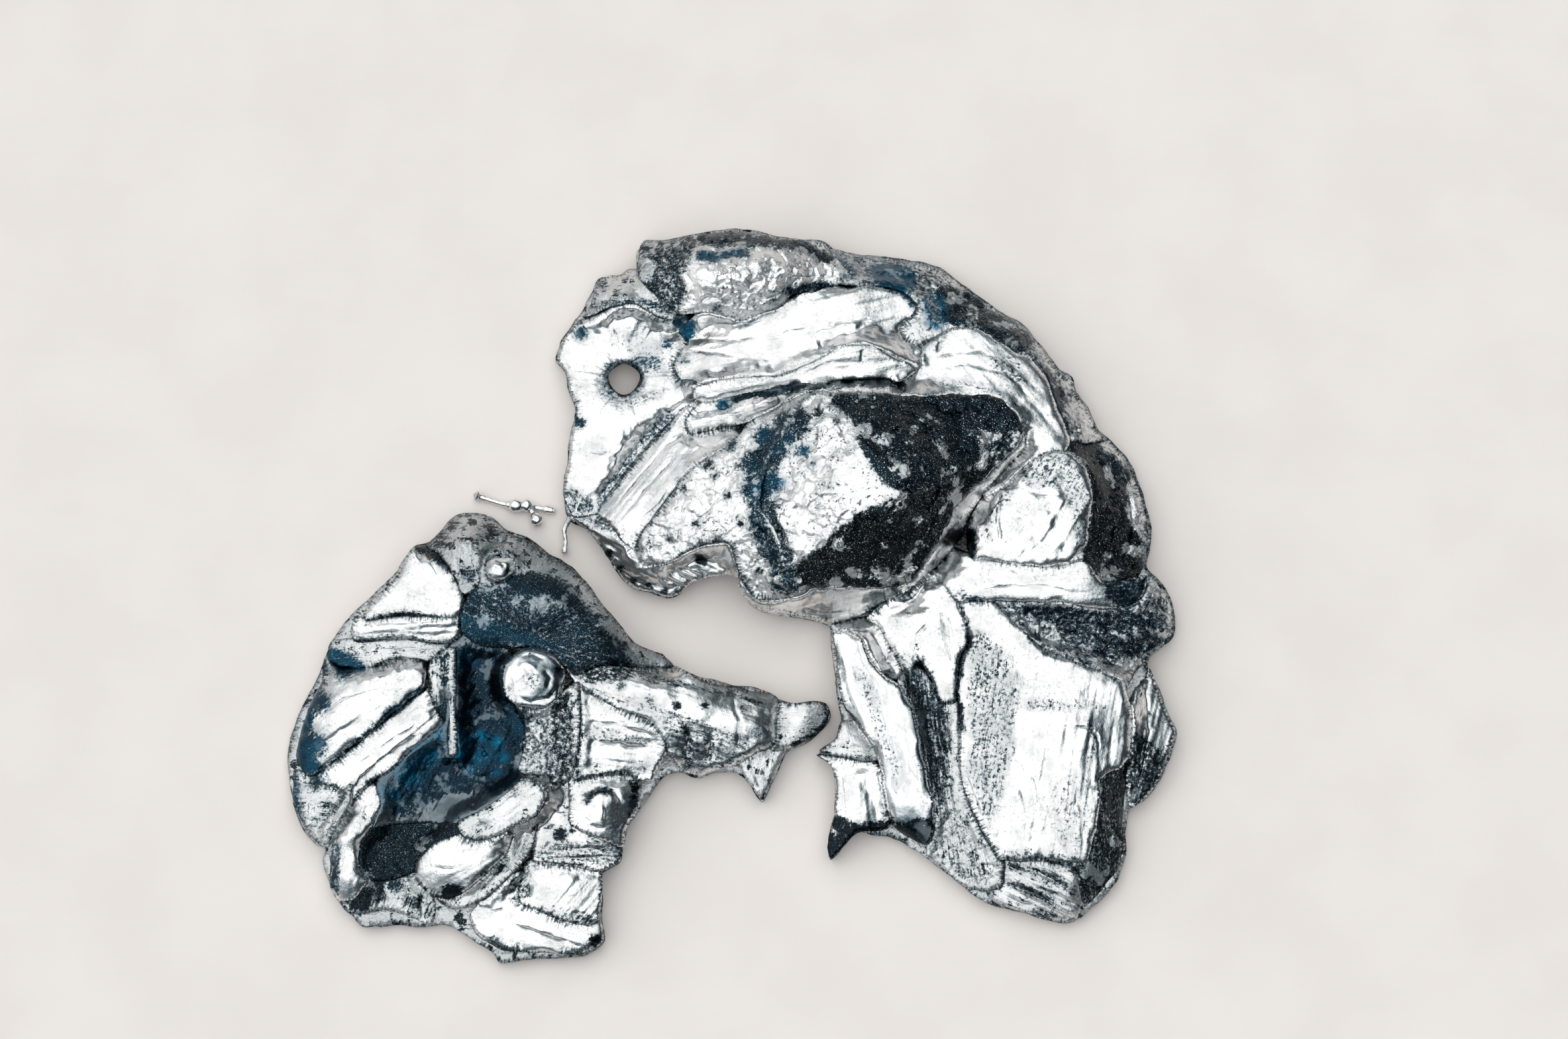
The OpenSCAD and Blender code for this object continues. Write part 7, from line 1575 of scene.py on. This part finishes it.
# Arm pad: the grey pad at the end of the arm.
# Cast tin, with a dark crescent along its edge.
ARM_PAD = [(3.6, -10.4), (5.5, -10.6), (7.1, -10.4), (8, -10.6), (8.5, -11.6), (8, -12.8), (6.7, -13.9),
    (5.2, -14.6), (3.4, -14.9), (3, -12.6)]
ARM_PAD_HEIGHTS = [(4.4, -11, 3), (6.4, -11.6, 3.4), (8.2, -11.4, 2.4), (6.4, -13.8, 2.2),
    (4.2, -14.2, 2.6)]
ARM_PAD_LINES = (
    ([(4.4, -11.4), (6, -11.6), (7.4, -11.4)], 0.12, 0.2),)
ARM_PAD_STAINS = (
    ([(8.4, -11.4), (7.6, -12.6), (6.2, -13.8), (5, -14.3), (5.4, -15), (7.4, -13.8), (9, -12.2)], 0.9,
     0),)
arm_pad = flow("arm_pad", ARM_PAD, ARM_PAD_HEIGHTS, seed=308, under=("arm",), ripple=0.06, radius=0.5,
    marks=ARM_PAD_LINES, stains=ARM_PAD_STAINS)
settle(arm_pad, "left_casting", "arm_pad", satin_tin)


# Arm fang: a pointed drip under the arm.
# Cast tin, pale, darker at its tip.
ARM_FANG = [(0.4, -15.6), (2, -14), (3.8, -14.2), (4.6, -14.9), (4.1, -16.3), (3.3, -18), (2.6, -19.4),
    (1.9, -18.6), (0.9, -17.1)]
ARM_FANG_HEIGHTS = [(1.6, -15.6, 2.8), (3.8, -15, 2.6), (2.6, -17, 2.2), (2.6, -19.2, 1.7)]
ARM_FANG_LINES = (
    ([(1.6, -16), (2.4, -18.6)], 0.12, 0.14),)
ARM_FANG_STAINS = (
    ((2.6, -19.2, 0.7), 0.7, 0),)
arm_fang = flow("arm_fang", ARM_FANG, ARM_FANG_HEIGHTS, seed=315, under=("arm", "arm_pad"),
    ripple=0.05, radius=0.6, grain=(80, 0.4, 4, 0.05), fringe=0.05, marks=ARM_FANG_LINES,
    stains=ARM_FANG_STAINS)
settle(arm_fang, "left_casting", "arm_fang", satin_tin)


# Ledge: the bright ledge under the arm.
# Cast tin with long dark laps across it.
LEDGE = [(-13.8, -8.6), (-11, -10), (-8, -11.6), (-5.6, -12), (-5.2, -14), (-6, -15.4), (-7.2, -17.6),
    (-8.2, -17.6), (-9.2, -17.1), (-11.5, -17.2), (-14.2, -17.6), (-14, -14)]
LEDGE_HEIGHTS = [(-13.4, -10.4, 5), (-9, -12, 4.9), (-6, -13.4, 4.4), (-13.4, -14, 4.4),
    (-7.4, -14.8, 3.8), (-10.6, -16, 4), (-13.6, -17, 4.2), (-8, -17.2, 3)]
LEDGE_LINES = (
    ([(-13.4, -12.2), (-10, -12.6), (-7, -13.5)], 0.3, 0.16),
    ([(-13, -14), (-10, -14.2), (-7.4, -14.9)], 0.3, 0.16),
    ([(-13.7, -12), (-13.6, -14.6), (-13.7, -17)], 0.35, 0.2), ([(-12.6, -15.8), (-9.6, -16)], 0.15, 0.14))
LEDGE_STAINS = (
    ([(-14, -11.6), (-13.4, -12), (-13.3, -17), (-14, -17.4)], 0.8, 0), ((-8, -16.4, 0.8), 0.5, 0),
    ([(-13.4, -12.6), (-9, -12.9), (-6.6, -13.8), (-7, -14.8), (-10, -14.4), (-13.2, -14.2)], 0.36, 0),
    ((-12, -16.6, 0.9), 0.5, 0))
ledge = flow("ledge", LEDGE, LEDGE_HEIGHTS, seed=322, under=("arm", "saddle", "dome_ridge"),
    ripple=0.10, grain=(-8, 0.5, 7, 0.07), radius=0.5, marks=LEDGE_LINES, stains=LEDGE_STAINS)
settle(ledge, "left_casting", "ledge", bright_tin)


# Ring cell: a round cell with a ringed bump in the middle.
# Cast tin, bright, with black laps round it and a mottled strip at its right.
RING_CELL = [(-14.4, -17.2), (-11.5, -16.8), (-9.2, -16.9), (-8.2, -17.2), (-8, -18.4), (-8.4, -20.3),
    (-9.3, -22), (-9.7, -23.6), (-11.5, -23), (-13, -22.4), (-14.4, -21.4), (-14.4, -19.5)]
RING_CELL_HEIGHTS = [(-13.8, -17.8, 4.2), (-9, -17.6, 3.6), (-11.7, -20.2, 4.8), (-8.8, -20.4, 3),
    (-10, -23.2, 2.8), (-13.8, -21.4, 4)]
RING_CELL_LINES = (
    ([(-13.2, -19.2), (-12, -18.5), (-10.6, -18.7), (-9.8, -19.8)], 0.3, 0.2),
    ([(-11, -17.4), (-9, -17.3)], 0.3, 0.14), ([(-13.4, -20.6), (-12.6, -21.8), (-11.2, -22)], 0.25, 0.16),
    ([(-11.8, -20.3), (-11.3, -20.3)], -0.25, 0.8))
RING_CELL_STAINS = (
    ([(-13.2, -18.9), (-12, -18.2), (-10.6, -18.4), (-10.6, -19), (-12, -18.9), (-13, -19.6)], 0.85, 0),
    ([(-9.2, -17), (-8.2, -17.2), (-8.4, -20), (-9.2, -21)], 0.7, 0))
ring_cell = flow("ring_cell", RING_CELL, RING_CELL_HEIGHTS, seed=329, under=("ledge", "saddle"),
    ripple=0.10, radius=0.5, marks=RING_CELL_LINES, stains=RING_CELL_STAINS)
settle(ring_cell, "left_casting", "ring_cell", bright_tin)


# Middle ledge: the lower ledge of the left casting.
# Cast tin with a cluster of black pits and a double lap line.
MID_LEDGE = [(-16.8, -17.6), (-13.6, -17.2), (-13.6, -21), (-12, -22.2), (-9.8, -23.2), (-9.8, -24.7),
    (-11.7, -25.7), (-14, -25.3), (-17.5, -24.9), (-17.6, -22)]
MID_LEDGE_HEIGHTS = [(-16, -18.4, 3.8), (-15, -20.6, 4), (-16.8, -24.6, 3.2), (-13.4, -24, 3.2),
    (-10, -24.4, 2.4), (-17.2, -22, 3.4)]
MID_LEDGE_LINES = (
    ([(-16.6, -23.7), (-13.6, -23.8), (-10.4, -23.6)], 0.28, 0.14),
    ([(-16.8, -24.5), (-13.6, -24.6), (-10.6, -24.4)], 0.28, 0.14),
    ([(-16.4, -19.6), (-14.8, -20.8), (-13.8, -21.4)], 0.2, 0.16))
MID_LEDGE_STAINS = (
    ((-15.2, -22.5, 0.8), 1, 0), ((-14.2, -22.1, 0.4), 0.8, 0), ((-16.2, -21.6, 0.9), 0.5, 0),
    ((-12.4, -22.4, 0.8), 0.5, 0), ((-10.6, -22, 0.8), 0.6, 0),
    ([(-17, -23), (-13, -23), (-10, -23), (-10, -25.2), (-13, -25.4), (-17, -25.2)], 0.45, 0),
    ([(-15.4, -19), (-13.6, -20), (-13.6, -22), (-15, -21.6)], 0.4, 0))
mid_ledge = flow("mid_ledge", MID_LEDGE, MID_LEDGE_HEIGHTS, seed=336, under=("ring_cell", "saddle",
    "pod_crest", "ledge"), ripple=0.12, grain=(-6, 0.5, 6, 0.06), radius=0.5, marks=MID_LEDGE_LINES,
    stains=MID_LEDGE_STAINS)
settle(mid_ledge, "left_casting", "mid_ledge", bright_tin)


# Lower cell: a square cell near the front, framed in grey.
# Cast tin, bright, with fine slanting lines and dark frayed edges.
LOWER_CELL = [(-18, -24.6), (-14.2, -25), (-11.7, -25.4), (-11.5, -28), (-11.7, -30), (-12.6, -30.6),
    (-15, -30), (-17, -29.2), (-18.6, -28.5), (-18.7, -26.6)]
LOWER_CELL_HEIGHTS = [(-18, -26, 3), (-14.6, -26, 3.4), (-12, -27.2, 2.6), (-12.2, -30, 2.4),
    (-15.6, -29, 3.2), (-18, -28.4, 2.8)]
LOWER_CELL_LINES = (
    ([(-17.6, -26), (-17.8, -28.2)], 0.25, 0.16),
    ([(-17.4, -28.6), (-14.6, -29.4), (-12.2, -29.6)], 0.25, 0.16))
LOWER_CELL_STAINS = (
    ([(-18.8, -25), (-17.6, -25), (-17.7, -28), (-18.8, -28.6)], 0.5, 0),
    ([(-18.4, -28.6), (-15, -29.4), (-12, -29.6), (-12, -30.6), (-15, -30.2)], 0.55, 0))
lower_cell = flow("lower_cell", LOWER_CELL, LOWER_CELL_HEIGHTS, seed=343, under=("mid_ledge",),
    ripple=0.06, grain=(50, 0.35, 6, 0.10), radius=0.45, ragged=0.12, marks=LOWER_CELL_LINES,
    stains=LOWER_CELL_STAINS)
settle(lower_cell, "left_casting", "lower_cell", bright_tin)


# Pod flap: the bright flap that closes the pod.
# Cast tin, smooth and rounded.
POD_FLAP = [(-27.6, -24.4), (-26, -23), (-24, -22.4), (-21, -22), (-19.4, -22.4), (-20, -24.4),
    (-21.6, -26), (-23.4, -27.5), (-25, -28.3), (-26.7, -27.7), (-28.1, -26)]
POD_FLAP_HEIGHTS = [(-27.4, -25, 2.8), (-25.4, -25.6, 4), (-22.4, -24.4, 4.8), (-20.4, -23.4, 4.4),
    (-25, -28, 2.4)]
POD_FLAP_LINES = (
    ([(-26.9, -25.4), (-24.6, -25.6), (-22, -24.2)], 0.1, 0.16),)
POD_FLAP_STAINS = (
    ([(-25.3, -26.8), (-23.9, -26.9), (-23.8, -28), (-24.6, -28.8), (-25.6, -28.4)], 1, 0),
    ([(-22.6, -26.4), (-20.4, -24.6), (-19.8, -24.6), (-21.6, -26.6)], 0.6, 0))
pod_flap = flow("pod_flap", POD_FLAP, POD_FLAP_HEIGHTS, seed=350, under=("pod_crest",), ripple=0.06,
    radius=0.8, grain=(30, 0.5, 6, 0.05), marks=POD_FLAP_LINES, stains=POD_FLAP_STAINS)
settle(pod_flap, "left_casting", "pod_flap", bright_tin)


# Pod lip: the grey strand that runs down the right side of the pod.
# Cast tin.
POD_LIP = [(-18, -20.4), (-17, -20.4), (-17.2, -22.2), (-18, -24.4), (-19.6, -26.2), (-21.6, -28),
    (-23.6, -29), (-25, -29), (-26, -28), (-23, -26), (-20.4, -22)]
POD_LIP_HEIGHTS = [(-17.6, -21, 4), (-18.6, -23.6, 3.8), (-20.8, -26.4, 3.4), (-24.4, -28.6, 2.2)]
POD_LIP_LINES = (
    ([(-18, -21.6), (-19, -24.4), (-21.4, -27), (-24.4, -28.6)], 0.2, 0.16),)
POD_LIP_STAINS = (
    ((-24.6, -28, 0.9), 0.7, 0), ((-18.4, -24.6, 0.8), 0.3, 0))
pod_lip = flow("pod_lip", POD_LIP, POD_LIP_HEIGHTS, seed=357, under=("pod_crest", "pod_flap"),
    ripple=0.06, radius=0.5, grain=(50, 0.35, 7, 0.08), marks=POD_LIP_LINES, stains=POD_LIP_STAINS)
settle(pod_lip, "left_casting", "pod_lip", satin_tin)


# Rim fold: the bright fold at the front edge of the left casting.
# Cast tin with one lap line and black corners.
RIM_FOLD = [(-19.6, -25.6), (-18, -26), (-18, -28), (-15, -29.6), (-12.6, -30), (-11.5, -30.2),
    (-11.3, -32), (-12, -32.7), (-13.5, -33.2), (-16.5, -33), (-20, -32.8), (-22.4, -31.4), (-23, -29.6),
    (-21.6, -28)]
RIM_FOLD_HEIGHTS = [(-19.2, -27, 2.6), (-18, -30.4, 2.8), (-13, -31.6, 2.6), (-12, -32.4, 1.8),
    (-20.4, -32.6, 1.8), (-22.4, -30, 2), (-16.4, -32.8, 1.8)]
RIM_FOLD_LINES = (
    ([(-19.5, -30.3), (-16.4, -31.4), (-13, -32.5)], 0.25, 0.14), ([(-22, -29.6), (-19.6, -29)], 0.2, 0.14))
RIM_FOLD_STAINS = (
    ((-12, -32, 0.8), 0.9, 0), ((-20.8, -32.3, 0.8), 0.9, 0),
    ([(-19.6, -26), (-18.4, -26), (-18.2, -28.6), (-19.6, -28.6)], 0.5, 0))
rim_fold = flow("rim_fold", RIM_FOLD, RIM_FOLD_HEIGHTS, seed=364, under=("lower_cell", "mid_ledge",
    "pod_lip"), ripple=0.12, radius=0.8, grain=(-18, 0.5, 7, 0.08), fringe=0.9, marks=RIM_FOLD_LINES,
    stains=RIM_FOLD_STAINS)
settle(rim_fold, "left_casting", "rim_fold", bright_tin)


# Blue pool: the low pool in the middle of the left casting, the last place to stay liquid.
# Cast tin with a ringed dimple; its blue and black are a painted reflection of the dark camera and room above
# it.
BLUE_POOL = [(-26.6, -5.6), (-24.4, -4.2), (-20.4, -5), (-19, -8), (-17, -11), (-17.8, -17.4), (-20, -19),
    (-23, -21), (-24.8, -21.8), (-27, -21.4), (-30, -21.6), (-32.2, -21.8), (-31.8, -19), (-31, -16.6),
    (-27, -13), (-25, -9)]
BLUE_POOL_HEIGHTS = [(-25.6, -6.4, 4.4), (-22.4, -6.4, 4.2), (-22.6, -10, 3.4), (-22.4, -15.2, 2.8),
    (-26, -17.6, 2.8), (-18, -12, 4), (-18.4, -17, 4), (-21, -19, 3.8), (-26.6, -14, 4), (-31, -18.6, 4),
    (-30, -21, 3)]
DIMPLE_X, DIMPLE_Y, DIMPLE_REACH = -22.2, -15.4, 1.9
DIMPLE_RING = [(round(DIMPLE_X + DIMPLE_REACH * math.cos(turn), 4),
                round(DIMPLE_Y + DIMPLE_REACH * math.sin(turn), 4))
               for turn in np.linspace(0, 2 * math.pi, 17)]
BLUE_POOL_LINES = (
    (DIMPLE_RING, -0.3, 0.25),
    ([(-22.3, -15.3), (-21.9, -15.1)], -0.4, 0.35), ([(-30.4, -19), (-28, -15.6), (-26.2, -13)], -0.2, 0.4),
    ([(-30, -21), (-27, -20.2), (-24, -18.9), (-20, -17.6)], -0.25, 0.4))
BLUE_POOL_STAINS = (
    ([(-25, -5.4), (-20.6, -5.4), (-19.6, -8), (-19, -11), (-18, -14), (-20, -16.6), (-24.4, -16.6),
     (-25, -12.8), (-25, -9)], 0.9, 0.12),
    ([(-28, -14.8), (-25, -15), (-24, -16.8), (-19, -16), (-18, -17.6), (-21, -18.8), (-24.4, -18.8),
     (-27.6, -20.4), (-30, -21), (-30.6, -20)], 0.93, 0.12),
    ((-26.2, -13.6, 1.3), 0.5, 0.8), ((-27.4, -15, 1.5), 0.3, 1), ((-28.8, -16.8, 1.5), 0.3, 1),
    ((-30.4, -18.8, 1.3), 0.5, 0.75), ((-22.2, -15.4, 1.2), 0.6, 0.75), ((-24.1, -15.2, 0.7), 0.2, 1),
    ((-23.5, -14, 0.7), 0.2, 1), ((-22.2, -13.6, 0.7), 0.2, 1), ((-20.9, -14.1, 0.7), 0.2, 1),
    ((-20.4, -15.4, 0.7), 0.2, 0.9), ((-21, -16.8, 0.6), 0.3, 0.7), ((-23.3, -16.6, 0.6), 0.3, 0.8),
    ((-23.6, -6.6, 1), 0.6, 0.5), ((-24, -13.8, 1), 0.4, 0.6), ((-19.4, -12.8, 1.4), 0.6, 0.35))
blue_pool = flow("blue_pool", BLUE_POOL, BLUE_POOL_HEIGHTS, seed=371, under=("bead", "dome_ridge",
    "pool_fin", "fan_rib_upper", "fan_rib_grey", "fan_rib_long", "rim_rib", "saddle", "pod_crest"),
    ripple=0.12, grain=(62, 0.4, 6, 0.10), radius=0.4, crystal=(0.05, 0.4), marks=BLUE_POOL_LINES,
    stains=BLUE_POOL_STAINS)
settle(blue_pool, "left_casting", "blue_pool", blue_tin)


# Hollow: the dark hollow behind the pod.
# Cast tin under black oxide, with a few bright flecks.
HOLLOW = [(-33, -21), (-30, -20.8), (-27, -20.4), (-24, -20.8), (-23, -23), (-25, -24), (-27, -25.6),
    (-28.6, -26.2), (-31.4, -26.6), (-33, -25.6)]
HOLLOW_HEIGHTS = [(-32.4, -22.6, 2.6), (-28, -23, 2), (-25, -22.4, 2.4), (-31, -25.8, 2.4)]
HOLLOW_STAINS = (
    ([(-33, -21), (-30, -20.6), (-24, -20.8), (-23, -23), (-26, -25), (-28.6, -26.4), (-31.4, -26.8),
     (-33, -25.6)], 0.93, 0.05),)
hollow = flow("hollow", HOLLOW, HOLLOW_HEIGHTS, seed=378, under=("blue_pool", "rim_rib", "pod_crest",
    "pod_flap"), ripple=0.2, crystal=(0.12, 0.5), radius=0.3, stains=HOLLOW_STAINS)
settle(hollow, "left_casting", "hollow", dark_tin)


# Skirt shell: the thin shells at the front left edge.
# Cast tin in striped sheets, one of them black.
SKIRT_SHELL = [(-32.8, -26), (-30.4, -25.6), (-28, -25.6), (-26.6, -27), (-26, -29.2), (-26.4, -30.5),
    (-28, -29.9), (-30.2, -29.2), (-31.8, -29.4), (-33.6, -29.5), (-34.3, -28.6), (-34, -27)]
SKIRT_SHELL_HEIGHTS = [(-32.4, -26.6, 2.8), (-31, -28, 2.2), (-33.4, -29.2, 1.7), (-29, -27, 2.8),
    (-27, -30, 1.7)]
SKIRT_SHELL_LINES = (
    ([(-30.6, -26), (-30.2, -29)], 0.25, 0.16), ([(-28.8, -26), (-28.6, -29.8)], 0.22, 0.14),
    ([(-27.4, -27), (-27, -30.2)], 0.22, 0.14))
SKIRT_SHELL_STAINS = (
    ([(-33.8, -26.2), (-30.6, -26), (-30.6, -28.4), (-33.6, -29.6)], 0.9, 0), ((-29.6, -27, 1), 0.8, 0.1),
    ((-28, -28.4, 1), 0.75, 0), ((-26.6, -29.4, 0.8), 0.6, 0))
skirt_shell = flow("skirt_shell", SKIRT_SHELL, SKIRT_SHELL_HEIGHTS, seed=385, under=("hollow",
    "rim_rib", "pod_flap", "pod_lip"), ripple=0.10, grain=(70, 0.35, 4, 0.14), radius=0.35,
    marks=SKIRT_SHELL_LINES, stains=SKIRT_SHELL_STAINS)
settle(skirt_shell, "left_casting", "skirt_shell", satin_tin)


# ---- Threads ----
# Fine threads of metal that flicked off the pour: a hair on the right casting, and the loose dribble
# of little beads that lies behind the left one. Cast tin, drawn to a thread between the beads.


def thread(name, runs, around=20, step=0.08):
    """Round threads through (x, y, z, radius) points, with smooth swellings."""
    verts, polys = [], []
    for run in runs:
        p = np.array(run, float)
        padded = np.vstack([2 * p[0] - p[1], p, 2 * p[-1] - p[-2]])
        line = []
        for i in range(1, len(padded) - 2):
            a, b, c, d = padded[i - 1:i + 3]
            for t in np.linspace(0, 1, max(3, int(np.linalg.norm((c - b)[:3]) / step)), endpoint=False):
                line.append(0.5 * (2 * b + (c - a) * t + (2 * a - 5 * b + 4 * c - d) * t**2
                                   + (3 * b - a - 3 * c + d) * t**3))
        line = np.array(line + [p[-1]])
        heading = np.gradient(line[:, :3], axis=0)
        heading /= np.linalg.norm(heading, axis=1)[:, None]
        start = len(verts)
        for i, (spot, ahead) in enumerate(zip(line, heading)):
            side = np.cross(ahead, (0, 0, 1))
            side /= np.linalg.norm(side)
            up = np.cross(side, ahead)
            reach = spot[3] * (1 + 0.06 * math.sin(i * 0.9))
            for k in range(around):
                turn = 2 * math.pi * k / around
                verts.append(spot[:3] + reach * (math.cos(turn) * side + math.sin(turn) * up))
        for i in range(len(line) - 1):
            for k in range(around):
                a, b = start + i * around + k, start + i * around + (k + 1) % around
                polys.append((a, a + around, b + around, b))
        for i, way in ((0, -1), (len(line) - 1, 1)):
            tip = line[i, :3] + way * 0.7 * line[i, 3] * heading[i]
            verts.append(tip)
            ring = [start + i * around + k for k in range(around)]
            for k in range(around):
                a, b = ring[k], ring[(k + 1) % around]
                polys.append((b, a, len(verts) - 1)[::-way])
    mesh = bpy.data.meshes.new(name)
    mesh.from_pydata([tuple(v * MM) for v in verts], [], polys)
    mesh.update()
    mesh.polygons.foreach_set("use_smooth", [True] * len(mesh.polygons))
    crease = mesh.attributes.new("crease", "FLOAT", "POINT")
    crease.data.foreach_set("value", np.full(len(verts), 2, np.float32))
    clear = mesh.attributes.new("rim", "FLOAT_VECTOR", "POINT")
    clear.data.foreach_set("vector", np.tile(np.array([0, 5, 0], np.float32), len(verts)))
    piece = bpy.data.objects.new(name, mesh)
    bpy.context.collection.objects.link(piece)
    return piece


HAIR = [(-14.7, 6.5, 0.9, 0.28), (-15.2, 5.4, 0.9, 0.24), (-15.1, 4.4, 0.7, 0.2), (-15.2, 3.4, 0.5, 0.3)]
hair_thread = thread("hair_thread", [HAIR])
settle(hair_thread, "right_casting", "hair_thread", satin_tin)
DRIBBLE_LINE = [(-23.2, 8.7, 0.5, 0.46), (-22.6, 8.5, 0.4, 0.26), (-21, 8, 0.35, 0.22),
    (-20.3, 7.85, 0.45, 0.36), (-19.6, 7.7, 0.66, 0.6), (-19.1, 7.7, 0.5, 0.44), (-18.6, 7.7, 0.66, 0.58),
    (-18.1, 7.65, 0.4, 0.3), (-17.4, 7.55, 0.35, 0.22), (-16.8, 7.4, 0.4, 0.36), (-16.2, 7.3, 0.35, 0.24)]
DROP_LINE = [(-18.3, 7.4, 0.4, 0.3), (-18, 6.9, 0.45, 0.36), (-17.75, 6.4, 0.66, 0.58),
             (-17.6, 6.05, 0.5, 0.4)]
dribble = thread("dribble", [DRIBBLE_LINE, DROP_LINE])
settle(dribble, "loose_dribble", "dribble", mirror_tin)
